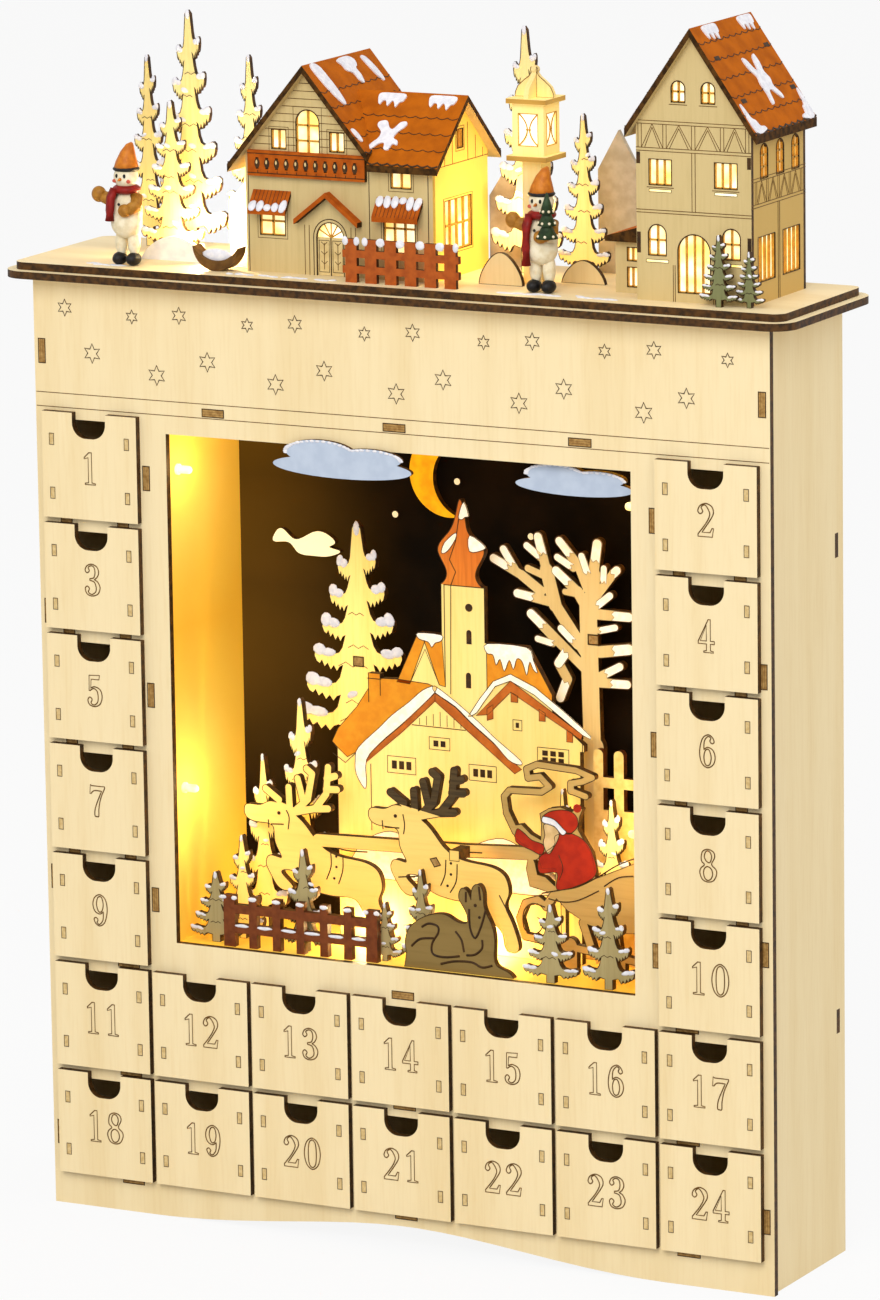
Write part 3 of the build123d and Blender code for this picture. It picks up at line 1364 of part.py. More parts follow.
with BuildPart() as wiring_harness:
    with BuildLine() as main_line:
        FilletPolyline(*main_run, radius=wire_bend)
    with BuildSketch(Plane(origin=main_line.line @ 0, z_dir=main_line.line % 0)):
        Circle(wire_radius)
    sweep(path=main_line.line)
    for start, end in branch_runs:
        run = Vector(*end) - Vector(*start)
        with Locations(start):
            Sphere(splice_radius)
        with BuildSketch(Plane(origin=Vector(*start) + run.normalized() * lead_start, z_dir=run)):
            Circle(wire_radius)
        extrude(amount=run.length - lead_start)
write(wiring_harness.part, "wiring_harness")

# Battery case let into the back panel, with cover rails and a switch bay
switch_x = case_left + switch_bay / 2
cover_half_height = case_z_inner + cover_margin
cover_half_width = case_x_inner + cover_margin
rail_inner = cover_half_height + running_gap
rail_rise = cover_thickness + 2 * running_gap
slot_height = knob_height + slot_travel
switch_room = case_inside / 2
with BuildPart() as battery_case:
    with BuildSketch(upright((flange_left + flange_right) / 2, y_flange_out, case_mid_z)):
        Rectangle(flange_right - flange_left, flange_height)
        with Locations(*[(x - (flange_left + flange_right) / 2, z - case_mid_z) for x, z in screw_places]):
            Circle(screw_radius + fit_gap / 2, mode=Mode.SUBTRACT)
    extrude(amount=case_wall)
    with BuildSketch(upright((case_left + case_x_outer) / 2, y_flange, case_mid_z)):
        Rectangle(case_x_outer - case_left, 2 * case_z_outer)
    extrude(amount=y_flange - y_case_floor + case_wall)
    with BuildSketch(upright(0, y_flange_out, case_mid_z)):
        Rectangle(2 * case_x_inner, 2 * case_z_inner)
    extrude(amount=case_inside, mode=Mode.SUBTRACT)
    with BuildSketch(upright(switch_x, y_flange, case_mid_z)):
        Rectangle(switch_bay - 2 * case_wall, slot_height + 2 * case_wall)
    extrude(amount=switch_room, mode=Mode.SUBTRACT)
    with BuildSketch(upright(switch_x, y_flange_out, case_mid_z)):
        Rectangle(stem_width + 2 * fit_gap, slot_height)
    extrude(amount=case_wall, mode=Mode.SUBTRACT)
    for side in (-1, 1):
        with BuildSketch(sideways(-cover_half_width, y_flange_out, case_mid_z)):
            with BuildLine():
                Polyline(
                    (0, side * rail_inner),
                    (0, side * (rail_inner + rail_width)),
                    (rail_rise + rail_lip, side * (rail_inner + rail_width)),
                    (rail_rise + rail_lip, side * (rail_inner - rail_lip)),
                    (rail_rise, side * (rail_inner - rail_lip)),
                    (rail_rise, side * rail_inner),
                    close=True,
                )
            make_face()
        extrude(amount=2 * cover_half_width)
write(battery_case.part, "battery_case")

# Battery cover, with three finger ribs, sliding along +X in the rails
cover_ribs = 3
rib_width = cover_thickness
rib_height_share = 0.5
y_cover = y_flange_out + running_gap
with BuildPart() as battery_cover:
    with BuildSketch(upright(0, y_cover + cover_thickness, case_mid_z)):
        Rectangle(2 * cover_half_width, 2 * cover_half_height)
    extrude(amount=cover_thickness)
    with BuildSketch(upright(cover_half_width / 2, y_cover + cover_thickness + rib_width / 2, case_mid_z)):
        with GridLocations(2 * rib_width, 0, cover_ribs, 1):
            Rectangle(rib_width, 2 * rib_height_share * cover_half_height)
    extrude(amount=rib_width / 2)
write(battery_cover.part, "battery_cover")

# Cells and contacts
y_cell = y_case_floor + running_gap + cell_radius
with BuildPart() as battery_cells:
    for side in (-1, 1):
        cell_z = case_mid_z + side * (cell_radius + running_gap / 2)
        with BuildSketch(Plane(origin=(-side * cell_length / 2, y_cell, cell_z), z_dir=(side, 0, 0))):
            Circle(cell_radius)
        extrude(amount=cell_length - cell_nub)
        with BuildSketch(
            Plane(origin=(side * (cell_length / 2 - cell_nub), y_cell, cell_z), z_dir=(side, 0, 0))
        ):
            Circle(cell_nub_radius)
        extrude(amount=cell_nub)
write(battery_cells.part, "battery_cells")

with BuildPart() as battery_contacts:
    for x in (-case_x_inner, case_x_inner - contact_thickness):
        with BuildSketch(sideways(x, y_cell, case_mid_z)):
            with GridLocations(0, 2 * cell_radius + running_gap, 1, 2):
                Rectangle(contact_width, contact_width)
        extrude(amount=contact_thickness)
write(battery_contacts.part, "battery_contacts")

# Switch slider: knob outside, stem through the slot, keeper plate inside
keeper_width = stem_width + 4 * fit_gap
with BuildPart() as power_switch:
    knob_z = case_mid_z - slot_travel / 2
    with BuildSketch(upright(switch_x, y_flange_out + running_gap + knob_rise, knob_z)):
        Rectangle(knob_width, knob_height)
    extrude(amount=knob_rise)
    with BuildSketch(upright(switch_x, y_flange_out + running_gap, knob_z)):
        Rectangle(stem_width, knob_height - 2 * fit_gap)
    extrude(amount=case_wall + 2 * running_gap)
    with BuildSketch(upright(switch_x, y_flange - running_gap, knob_z)):
        Rectangle(keeper_width, knob_height)
    extrude(amount=case_wall)
write(power_switch.part, "power_switch")

# Screws that hold the case's flange to the back panel
with BuildPart() as case_screws:
    for x, z in screw_places:
        with BuildSketch(upright(x, y_flange_out + screw_head, z)):
            Circle(screw_head_radius)
        extrude(amount=screw_head)
        with BuildSketch(upright(x, y_flange_out, z)):
            Circle(screw_radius)
        extrude(amount=case_wall + ply)
write(case_screws.part, "case_screws")
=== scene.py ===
import math
import random

import bmesh
import bpy
from mathutils import Matrix, Vector


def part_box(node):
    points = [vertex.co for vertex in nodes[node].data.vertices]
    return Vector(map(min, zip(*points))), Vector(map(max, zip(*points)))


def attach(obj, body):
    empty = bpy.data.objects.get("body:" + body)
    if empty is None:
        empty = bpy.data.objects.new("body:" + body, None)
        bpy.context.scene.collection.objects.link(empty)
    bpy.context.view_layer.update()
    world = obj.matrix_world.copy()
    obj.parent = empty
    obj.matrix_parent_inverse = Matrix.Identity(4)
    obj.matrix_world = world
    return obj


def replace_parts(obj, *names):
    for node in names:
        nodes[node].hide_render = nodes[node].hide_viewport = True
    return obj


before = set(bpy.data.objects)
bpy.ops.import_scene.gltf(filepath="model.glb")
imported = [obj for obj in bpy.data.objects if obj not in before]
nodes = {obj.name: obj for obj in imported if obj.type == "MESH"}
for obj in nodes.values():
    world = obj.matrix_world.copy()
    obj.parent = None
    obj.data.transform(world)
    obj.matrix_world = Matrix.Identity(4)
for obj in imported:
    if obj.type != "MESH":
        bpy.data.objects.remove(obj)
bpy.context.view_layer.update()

scene = bpy.context.scene
mm = 0.001
cabinet = "cabinet"    # the body that carries all but the drawers, the cover and the switch
noLight = (0, 0, 0, 1)
fullLight = (1, 1, 1, 1)
bumpStrength = 0.35
deckHeight = 383.3    # the houses, trees and figures stand here, in millimetres
flatTurn = 0.9    # how far a normal must lie along an axis for a face to count as turned that way
front = Vector((0, -1, 0))
right = Vector((1, 0, 0))
top = Vector((0, 0, 1))
print("frame loaded:", len(nodes), "nodes")


# Colours are written as they look on screen, 0 to 255
def tint(red, green, blue):
    shares = [value / 255 for value in (red, green, blue)]
    lights = [share / 12.92 if share < 0.04045 else ((share + 0.055) / 1.055) ** 2.4 for share in shares]
    return (*lights, 1)


# One socket of a node tree, so that its maths reads as maths
class Value:
    def __init__(self, wiring, socket):
        self.wiring = wiring
        self.socket = socket

    def maths(self, operation, *others):
        inputs = dict(enumerate((self, *others)))
        return self.wiring.node("ShaderNodeMath", {"operation": operation}, inputs)

    def __add__(self, other):
        return self.maths("ADD", other)

    __radd__ = __add__

    def __mul__(self, other):
        return self.maths("MULTIPLY", other)

    __rmul__ = __mul__

    def __sub__(self, other):
        return self.maths("SUBTRACT", other)

    def __rsub__(self, other):
        return self.wiring.node("ShaderNodeMath", {"operation": "SUBTRACT"}, {0: other, 1: self})

    def __gt__(self, other):
        return self.maths("GREATER_THAN", other)

    def __lt__(self, other):
        return self.maths("LESS_THAN", other)

    def __abs__(self):
        return self.maths("ABSOLUTE")


# A node tree and the one method that adds nodes to it, of its own family unless the kind is given in full

class Wiring:
    family = "ShaderNode"

    def node(self, kind, settings, inputs, out=0):
        item = self.tree.nodes.new(kind if "Node" in kind else self.family + kind)
        for key, value in settings.items():
            setattr(item, key, value)
        for key, value in inputs.items():
            if isinstance(value, Value):
                self.tree.links.new(value.socket, item.inputs[key])
            else:
                item.inputs[key].default_value = value
        return Value(self, item.outputs[out]) if item.outputs else item


class Paint(Wiring):
    def __init__(self, name):
        self.material = bpy.data.materials.new(name)
        self.material.use_nodes = True
        self.tree = self.material.node_tree
        self.tree.nodes.clear()
        self.spot = self.node("TexCoord", {}, {}, out="Object")
        self.x, self.y, self.z = self.split(self.spot)
        facing = self.node("TexCoord", {}, {}, out="Normal")
        self.nx, self.ny, self.nz = self.split(facing)

    def split(self, vector):
        parts = self.node("SeparateXYZ", {}, {0: vector})
        return [Value(self, parts.socket.node.outputs[index]) for index in range(3)]

    def mix(self, share, first, second):
        return self.node("Mix", {"data_type": "RGBA"}, {0: share, 6: first, 7: second}, out=2)

    def fade(self, value, low, high):
        inputs = {"Value": value, "From Min": low, "From Max": high}
        return self.node("MapRange", {"interpolation_type": "SMOOTHSTEP"}, inputs)

    def noise(self, stretch, scale, detail=3):
        mapped = self.node("Mapping", {}, {"Vector": self.spot, "Scale": stretch})
        return self.node("TexNoise", {}, {"Vector": mapped, "Scale": scale, "Detail": detail})

    def near(self, centre, reach):
        gap = self.node("VectorMath", {"operation": "DISTANCE"}, {0: self.spot, 1: centre}, out="Value")
        return 1 - self.fade(gap, 0.0, reach)

    def within(self, value, low, high):
        return (value > low) * (value < high)

    def done(self, colour, rough, bump=None, depth=0.05, glow=None, metal=0.0, shine=0.2):
        inputs = {"Base Color": colour, "Roughness": rough, "Metallic": metal, "Specular IOR Level": shine}
        if bump is not None:
            bumped = self.node("Bump", {}, {"Strength": bumpStrength, "Distance": depth * mm, "Height": bump})
            inputs["Normal"] = bumped
        if glow is not None:
            inputs["Emission Color"] = glow
            inputs["Emission Strength"] = 1.0
        shader = self.node("BsdfPrincipled", {}, inputs)
        self.node("OutputMaterial", {}, {"Surface": shader})
        return self.material


class Growth(Wiring):
    family = "GeometryNode"

    def __init__(self, name, inputs):
        self.tree = bpy.data.node_groups.new(name, "GeometryNodeTree")
        self.tree.is_modifier = True
        sockets = self.tree.interface
        sockets.new_socket("Geometry", in_out="INPUT", socket_type="NodeSocketGeometry")
        self.names = {}
        for label, kind in inputs.items():
            item = sockets.new_socket(label, in_out="INPUT", socket_type="NodeSocket" + kind)
            self.names[label] = item.identifier
        sockets.new_socket("Geometry", in_out="OUTPUT", socket_type="NodeSocketGeometry")
        self.start = self.tree.nodes.new("NodeGroupInput")
        self.shape = self.input("Geometry")

    def input(self, label):
        return Value(self, self.start.outputs[label])

    def finish(self, shape, paint, smooth=False):
        real = self.node("RealizeInstances", {}, {0: shape})
        shaded = self.node("SetShadeSmooth", {}, {"Geometry": real, "Shade Smooth": smooth})
        painted = self.node("SetMaterial", {}, {"Geometry": shaded, "Material": paint})
        self.node("NodeGroupOutput", {}, {0: painted})
        return self


def show(name, mesh, body):
    piece = bpy.data.objects.new(name, mesh)
    scene.collection.objects.link(piece)
    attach(piece, body)
    return piece


# Grows a start mesh through a node tree and keeps the result as a plain mesh
def grow(growth, start, values, name, body):
    holder = bpy.data.objects.new(name + "_start", start)
    scene.collection.objects.link(holder)
    modifier = holder.modifiers.new("growth", "NODES")
    modifier.node_group = growth.tree
    for label, value in values.items():
        modifier[growth.names[label]] = value
    grown = holder.evaluated_get(bpy.context.evaluated_depsgraph_get())
    mesh = bpy.data.meshes.new_from_object(grown)
    bpy.data.objects.remove(holder)
    return show(name, mesh, body)


# A flat face of the object: its own across and up axes, and how far out it lies
class Face:
    def __init__(self, normal, level):
        self.normal = normal.normalized()
        upward = top if abs(self.normal.z) < 0.99 else Vector((0, 1, 0))
        self.up = (upward - self.normal * upward.dot(self.normal)).normalized()
        self.across = self.up.cross(self.normal)
        self.level = level

    def at(self, across, up, lift=0.0):
        return self.across * across + self.up * up + self.normal * (self.level + lift)

    def flat(self, point):
        return (point.dot(self.across), point.dot(self.up))


def loopArea(points):
    following = points[1:] + points[:1]
    return sum(a[0] * b[1] - b[0] * a[1] for a, b in zip(points, following)) / 2


# Large loops come first, then the foremost and the leftmost, so that every run finds the same order
def sizeRank(points):
    return -round(abs(loopArea(points)) / mm / mm, 2)


# The flat faces of a CAD node that look one way, each with its outer loop first and then its holes
def flatFaces(node, normal, slack=0.999, weld=True):
    mesh = bmesh.new()
    mesh.from_mesh(nodes[node].data)
    if weld:
        bmesh.ops.remove_doubles(mesh, verts=mesh.verts, dist=2e-6)
    mesh.normal_update()
    waiting = {face for face in mesh.faces if face.normal.dot(normal) > slack}
    found = []
    while waiting:
        island = {waiting.pop()}
        growing = list(island)
        while growing:
            face = growing.pop()
            for edge in face.edges:
                for other in edge.link_faces:
                    if other in waiting:
                        waiting.remove(other)
                        island.add(other)
                        growing.append(other)
        seed = next(iter(island))
        plane = Face(seed.normal, seed.verts[0].co.dot(seed.normal.normalized()))
        following = {}
        for face in island:
            for loop in face.loops:
                if not any(other in island for other in loop.edge.link_faces if other is not face):
                    following[loop.vert] = loop.link_loop_next.vert
        loops = []
        while following:
            vert, after = following.popitem()
            points = [plane.flat(vert.co)]
            while after in following:
                points.append(plane.flat(after.co))
                after = following.pop(after)
            first = points.index(min(points))
            loops.append(points[first:] + points[:first])
        loops.sort(key=lambda points: (sizeRank(points), points[0]))
        found.append((plane, loops))
    mesh.free()
    found.sort(key=lambda item: (sizeRank(item[1][0]), -round(item[0].level / mm, 2), item[1][0][0]))
    return found


# Polylines become a mesh of edges, which the node trees below follow
def edgeMesh(lines):
    points = []
    edges = []
    for line, closed in lines:
        first = len(points)
        points.extend(line)
        edges.extend((first + index, first + index + 1) for index in range(len(line) - 1))
        if closed:
            edges.append((len(points) - 1, first))
    mesh = bpy.data.meshes.new("lines")
    mesh.from_pydata(points, edges, [])
    return mesh


# A flat plate with a thickness, standing proud of a face
def addPlate(mesh, face, points, low, high):
    if loopArea(points) < 0:
        points = points[::-1]
    below = [mesh.verts.new(face.at(a, b, low)) for a, b in points]
    above = [mesh.verts.new(face.at(a, b, high)) for a, b in points]
    mesh.faces.new(above)
    mesh.faces.new(below[::-1])
    for index in range(len(points)):
        after = (index + 1) % len(points)
        mesh.faces.new((below[index], below[after], above[after], above[index]))


def plateMesh(name, paint, items):
    mesh = bmesh.new()
    for face, points, low, high in items:
        addPlate(mesh, face, points, low, high)
    mesh.normal_update()
    bmesh.ops.triangulate(mesh, faces=[face for face in mesh.faces if len(face.verts) > 4])
    bmesh.ops.recalc_face_normals(mesh, faces=mesh.faces)
    data = bpy.data.meshes.new(name)
    mesh.to_mesh(data)
    mesh.free()
    data.materials.append(paint)
    return data


# Points of an outline, where each point given as a corner stays sharp and the rest is a smooth curve
def smoothLoop(points, steps=5):
    count = len(points)
    curve = []
    for index in range(count):
        here, after = points[index], points[(index + 1) % count]
        if here[2] and after[2]:
            curve.append(here[:2])
            continue
        before = here if here[2] else points[index - 1]
        beyond = after if after[2] else points[(index + 2) % count]
        for step in range(steps):
            t = step / steps
            curve.append(tuple(
                0.5 * (2 * h + (a - b) * t + (2 * b - 5 * h + 4 * a - d) * t * t
                       + (3 * h - b - 3 * a + d) * t ** 3)
                for b, h, a, d in zip(before[:2], here[:2], after[:2], beyond[:2])
            ))
    return curve


def ellipse(x, y, wide, tall, steps=20, turn=0.0):
    points = []
    for index in range(steps):
        angle = 2 * math.pi * index / steps
        a, b = wide * math.cos(angle), tall * math.sin(angle)
        points.append(
            (x + a * math.cos(turn) - b * math.sin(turn), y + a * math.sin(turn) + b * math.cos(turn))
        )
    return points


# Upper half of a circle, from its right end to its left
def arc(x, y, radius, steps):
    turns = [math.pi * step / steps for step in range(steps + 1)]
    return [(x + radius * math.cos(turn), y + radius * math.sin(turn)) for turn in turns]


# Wood: pale sheets whose cut edges the laser has browned
plyTones = {
    "face": tint(243, 222, 176), "streak": tint(233, 207, 154), "burnt": tint(84, 54, 20),
    "char": tint(46, 29, 10),
}


grainSet = {
    "stretch": 0.06, "bandScale": 70, "bandRange": (0.38, 0.72), "bandShare": 0.55, "fibreScale": 900,
    "fibreRange": (0.42, 0.75), "fibreShare": 0.35, "charScale": 420, "charRange": (0.35, 0.68),
    "rough": 0.62, "polish": 0.12, "depth": 0.06,
}


# Soft blotches from 0 to 1
def mottled(paint, scale, detail=3, low=0.3, high=0.7):
    return paint.fade(paint.noise((1, 1, 1), scale, detail), low, high)


# The grain's colour, and its fibre for the relief
def woodFace(paint, along, pale, streak):
    stretch = [grainSet["stretch"] if axis == along else 1 for axis in "xyz"]
    band = paint.fade(paint.noise(stretch, grainSet["bandScale"], 2), *grainSet["bandRange"])
    fibre = paint.noise(stretch, grainSet["fibreScale"], 4)
    share = band * grainSet["bandShare"] + paint.fade(fibre, *grainSet["fibreRange"]) * grainSet["fibreShare"]
    return paint.mix(share, pale, streak), fibre


def burntEdge(paint):
    share = mottled(paint, grainSet["charScale"], 3, *grainSet["charRange"])
    return paint.mix(share, plyTones["burnt"], plyTones["char"])


# isFace(paint) gives 1 where a sheet shows its face and 0 on its cut edges
def plyPaint(name, along, isFace, pale=plyTones["face"], streak=plyTones["streak"]):
    paint = Paint(name)
    wood, fibre = woodFace(paint, along, pale, streak)
    colour = paint.mix(isFace(paint), burntEdge(paint), wood)
    rough = grainSet["rough"] - grainSet["polish"] * fibre
    return paint.done(colour, rough, bump=fibre, depth=grainSet["depth"])


def faceX(paint):
    return abs(paint.nx) > flatTurn


def faceY(paint):
    return abs(paint.ny) > flatTurn


def faceZ(paint):
    return abs(paint.nz) > flatTurn


def setPaint(node, material):
    for slot in nodes[node].material_slots:
        slot.material = material


# A flat wooden figure: toned and lit on its faces, browned on its cut edges
def setFigure(node, paint, tone, fibre, glow):
    colour = paint.mix(faceY(paint), burntEdge(paint), tone)
    setPaint(node, paint.done(colour, grainSet["rough"], bump=fibre, depth=grainSet["depth"], glow=glow))


# Camera at the photograph's viewing angle
cameraSet = {
    "azimuth": 27.7774, "pitch": 11.8474, "roll": -0.8293, "place": (1.374876, -2.607344, 0.852662),
    "focalPixels": 7696.8, "imageHeight": 1300, "sensor": 36,
}


def addCamera(use):
    azimuth, pitch, roll = [math.radians(use[key]) for key in ("azimuth", "pitch", "roll")]
    level = math.cos(pitch)
    forward = Vector((-math.sin(azimuth) * level, math.cos(azimuth) * level, -math.sin(pitch)))
    across = Vector((math.cos(azimuth), math.sin(azimuth), 0))
    up = across.cross(forward)
    tilted = across * math.cos(roll) + up * math.sin(roll)
    lens = bpy.data.cameras.new("camera")
    lens.sensor_fit = "VERTICAL"
    lens.sensor_height = use["sensor"]
    lens.lens = use["focalPixels"] * use["sensor"] / use["imageHeight"]
    lens.clip_end = 100
    camera = bpy.data.objects.new("camera", lens)
    turn = Matrix((tilted, tilted.cross(forward), -forward)).transposed()
    camera.matrix_world = Matrix.Translation(use["place"]) @ turn.to_4x4()
    scene.collection.objects.link(camera)
    scene.camera = camera


# Soft studio light and a plain pale floor
studioSet = {
    "world": 0.60, "keyPower": 47, "keyPlace": (0.45, -2.2, 1.95), "keySize": 1.7, "fillPower": 9,
    "fillPlace": (1.55, 0.15, 1.4), "fillSize": 1.5, "aim": (0, 0, 0.25), "floorTone": tint(214, 213, 211),
    "floorSize": 30, "floorWhite": 0.9,
}


def addLamp(name, place, power, size, aim):
    lamp = bpy.data.lights.new(name, "AREA")
    lamp.energy = power
    lamp.size = size
    holder = bpy.data.objects.new(name, lamp)
    holder.location = place
    holder.rotation_euler = (Vector(aim) - Vector(place)).to_track_quat("-Z", "Y").to_euler()
    scene.collection.objects.link(holder)


# 1 for what the camera sees, also by mirror or through glass, and 0 for light on the object
def seenDirectly(wiring):
    rays = [
        wiring.node("LightPath", {}, {}, out="Is %s Ray" % kind)
        for kind in ("Camera", "Glossy", "Transmission")
    ]
    return rays[0].maths("MAXIMUM", rays[1]).maths("MAXIMUM", rays[2])


def addStudio(use):
    scene.view_settings.view_transform = "Standard"
    world = bpy.data.worlds.new("studio")
    world.use_nodes = True
    scene.world = world
    wiring = Wiring()
    wiring.tree = world.node_tree
    wiring.tree.nodes.clear()
    direct = seenDirectly(wiring)
    strength = direct * (1 - use["world"]) + use["world"]
    sky = wiring.node("Background", {}, {"Color": fullLight, "Strength": strength})
    wiring.node("OutputWorld", {}, {"Surface": sky})
    addLamp("key", use["keyPlace"], use["keyPower"], use["keySize"], use["aim"])
    addLamp("fill", use["fillPlace"], use["fillPower"], use["fillSize"], use["aim"])
    half = use["floorSize"] / 2
    mesh = bpy.data.meshes.new("floor")
    mesh.from_pydata(
        [(-half, -half, 0), (half, -half, 0), (half, half, 0), (-half, half, 0)], [], [(0, 1, 2, 3)],
    )
    floor = bpy.data.objects.new("floor", mesh)
    paint = Paint("floor")
    matt = paint.node("BsdfDiffuse", {}, {"Color": use["floorTone"]})
    white = paint.node("Emission", {}, {"Color": fullLight, "Strength": 1.0})
    share = seenDirectly(paint) * use["floorWhite"]
    mixed = paint.node("MixShader", {}, {0: share, 1: matt, 2: white})
    paint.node("OutputMaterial", {}, {"Surface": mixed})
    mesh.materials.append(paint.material)
    scene.collection.objects.link(floor)


addCamera(cameraSet)
addStudio(studioSet)
print("camera and studio set")


# Small plain finishes that several pieces share
def plainPaint(name, tone, shade, rough=0.6, scale=300, glow=None):
    paint = Paint(name)
    grainy = paint.noise((1, 1, 1), scale, 3)
    colour = paint.mix(paint.fade(grainy, 0.3, 0.7), tone, shade)
    return paint.done(colour, rough - 0.1 * grainy, bump=grainy, depth=0.08, glow=glow)


engraved = plainPaint("engraved_line", tint(116, 84, 38), tint(88, 60, 22))
burntLineAndShade = plainPaint("burnt_line", tint(70, 44, 14), tint(44, 27, 9))
# The snow paint carries a faint painted glow
snow = plainPaint("snow_paint", tint(236, 234, 237), tint(218, 217, 224), rough=0.85, scale=500,
                  glow=tint(34, 31, 28))


# Node tree: a thin line that follows edges
lineGrowth = Growth("line_growth", {"Width": "Float", "Paint": "Material"})
path = lineGrowth.node("MeshToCurve", {}, {0: lineGrowth.shape})
ring = lineGrowth.node("CurvePrimitiveCircle", {}, {"Resolution": 4, "Radius": lineGrowth.input("Width")})
wire = lineGrowth.node("CurveToMesh", {}, {"Curve": path, "Profile Curve": ring, "Fill Caps": True})
lineGrowth.finish(wire, lineGrowth.input("Paint"))

# Engraved lines waiting to be grown, by body, paint and width
lines = {}


def etch(points, closed=False, paint=engraved, width=0.34, body=cabinet):
    lines.setdefault((body, paint.name, width), []).append((points, closed))


def growLines():
    for (body, paintName, width), group in lines.items():
        name = "_".join((paintName, body, str(round(width * 100))))
        values = {"Width": width / 2 * mm, "Paint": bpy.data.materials[paintName]}
        grow(lineGrowth, edgeMesh(group), values, name, body)


# Thin painted plates waiting to be built, by body, slot and paint
plates = {}


def lay(slot, face, points, paint, high=0.12, low=-0.1, body=cabinet):
    plates.setdefault((body, slot, paint.name), []).append((face, points, low * mm, high * mm))


def buildPlates():
    for (body, slot, paintName), items in plates.items():
        name = "_".join((paintName, slot, body))
        show(name, plateMesh(name, bpy.data.materials[paintName], items), body)


# Node tree: lumps of snow, one on each point
snowGrowth = Growth("snow_growth", {"Lump": "Float", "Paint": "Material"})
ball = snowGrowth.node("MeshIcoSphere", {}, {"Radius": 1.0, "Subdivisions": 2})
lumpSize = snowGrowth.node("InputNamedAttribute", {"data_type": "FLOAT_VECTOR"}, {"Name": "size"})
lumpSpin = snowGrowth.node("InputNamedAttribute", {"data_type": "FLOAT_VECTOR"}, {"Name": "spin"})
lumps = snowGrowth.node(
    "InstanceOnPoints", {},
    {"Points": snowGrowth.shape, "Instance": ball, "Scale": lumpSize, "Rotation": lumpSpin},
)
solid = snowGrowth.node("RealizeInstances", {}, {0: lumps})
ripple = snowGrowth.node("ShaderNodeTexNoise", {}, {"Scale": 620.0, "Detail": 2.0})
outward = snowGrowth.node("InputNormal", {}, {})
push = snowGrowth.node(
    "ShaderNodeVectorMath", {"operation": "SCALE"},
    {0: outward, "Scale": (ripple - 0.5) * snowGrowth.input("Lump")},
)
heaped = snowGrowth.node("SetPosition", {}, {"Geometry": solid, "Offset": push})
snowGrowth.finish(heaped, snowGrowth.input("Paint"), smooth=True)

piles = []
snowRipple = 0.9


# A lump of snow on a face, in millimetres: its place there, half sizes and turn
def pile(face, x, y, wide, tall, thick=0.6, turn=0.0, lift=0.0):
    along = face.across * math.cos(turn) + face.up * math.sin(turn)
    spin = Matrix((along, face.normal.cross(along), face.normal)).transposed().to_euler()
    place = face.at(x * mm, y * mm, lift * mm)
    piles.append((place, (wide * mm, tall * mm, thick * mm), spin))


def growPiles():
    mesh = bpy.data.meshes.new("piles")
    mesh.from_pydata([place for place, size, spin in piles], [], [])
    for label, column in (("size", 1), ("spin", 2)):
        values = [part for item in piles for part in item[column]]
        mesh.attributes.new(label, "FLOAT_VECTOR", "POINT").data.foreach_set("vector", values)
    grow(snowGrowth, mesh, {"Lump": snowRipple * mm, "Paint": snow}, "snow_cabinet", cabinet)


# Thousandths of a node's front box become places on its face
def spread(node, shares):
    low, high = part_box(node)
    wide, tall = high[0] - low[0], high[2] - low[2]
    return [(low[0] + u / 1000 * wide, low[2] + v / 1000 * tall) for u, v in shares]


def onFace(face, points, lift=0.0):
    return [face.at(a, b, lift * mm) for a, b in points]


def bounds2(points):
    return (min(a for a, b in points), min(b for a, b in points),
            max(a for a, b in points), max(b for a, b in points))


def boundsMm(points):
    return [part / mm for part in bounds2(points)]


def metres(points):
    return [(a * mm, b * mm) for a, b in points]


def rectangle(x0, y0, x1, y1):
    return [(x0, y0), (x1, y0), (x1, y1), (x0, y1)]


# A line around an outline on a face
def rim(face, points, width, lift=0.0, paint=burntLineAndShade, body=cabinet):
    etch(onFace(face, points, lift), closed=True, paint=paint, width=width, body=body)


# Cabinet sheets
setPaint("front_panel", plyPaint("front_ply", "z", faceY))
setPaint("side_panels", plyPaint("side_ply", "z", faceX))
for node in ("row_shelves", "ceiling_board", "column_shelves"):
    setPaint(node, plyPaint(node + "_ply", "x", faceZ))
for node in ("column_dividers", "row_partitions"):
    setPaint(node, plyPaint(node + "_ply", "z", faceX))
setPaint("back_panel", plyPaint("back_ply", "z", faceY))
for node in ("lower_deck_board", "upper_deck_board"):
    setPaint(node, plyPaint(node + "_ply", "x", faceZ))

# Engraving on the front panel: two long lines and a field of outlined stars
frontSet = {
    "lineHeights": (331.45, 325.82), "lineReach": 159.6,
    "starRows": (    # first x, height, how many, step, radius
        (-145.8, 365.7, 6, 51.5, 3.4), (-115.5, 363.9, 6, 51.6, 2.8),
        (-133.8, 348.2, 6, 51.8, 3.9), (-104.8, 341.4, 5, 53.0, 4.0),
    ),
    "starPoints": 6, "starTurn": 30, "starInner": 0.5, "starLine": 0.5,
}
frontFace = Face(front, -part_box("front_panel")[0][1])
for height in frontSet["lineHeights"]:
    reach = frontSet["lineReach"] * mm
    etch([frontFace.at(-reach, height * mm), frontFace.at(reach, height * mm)])

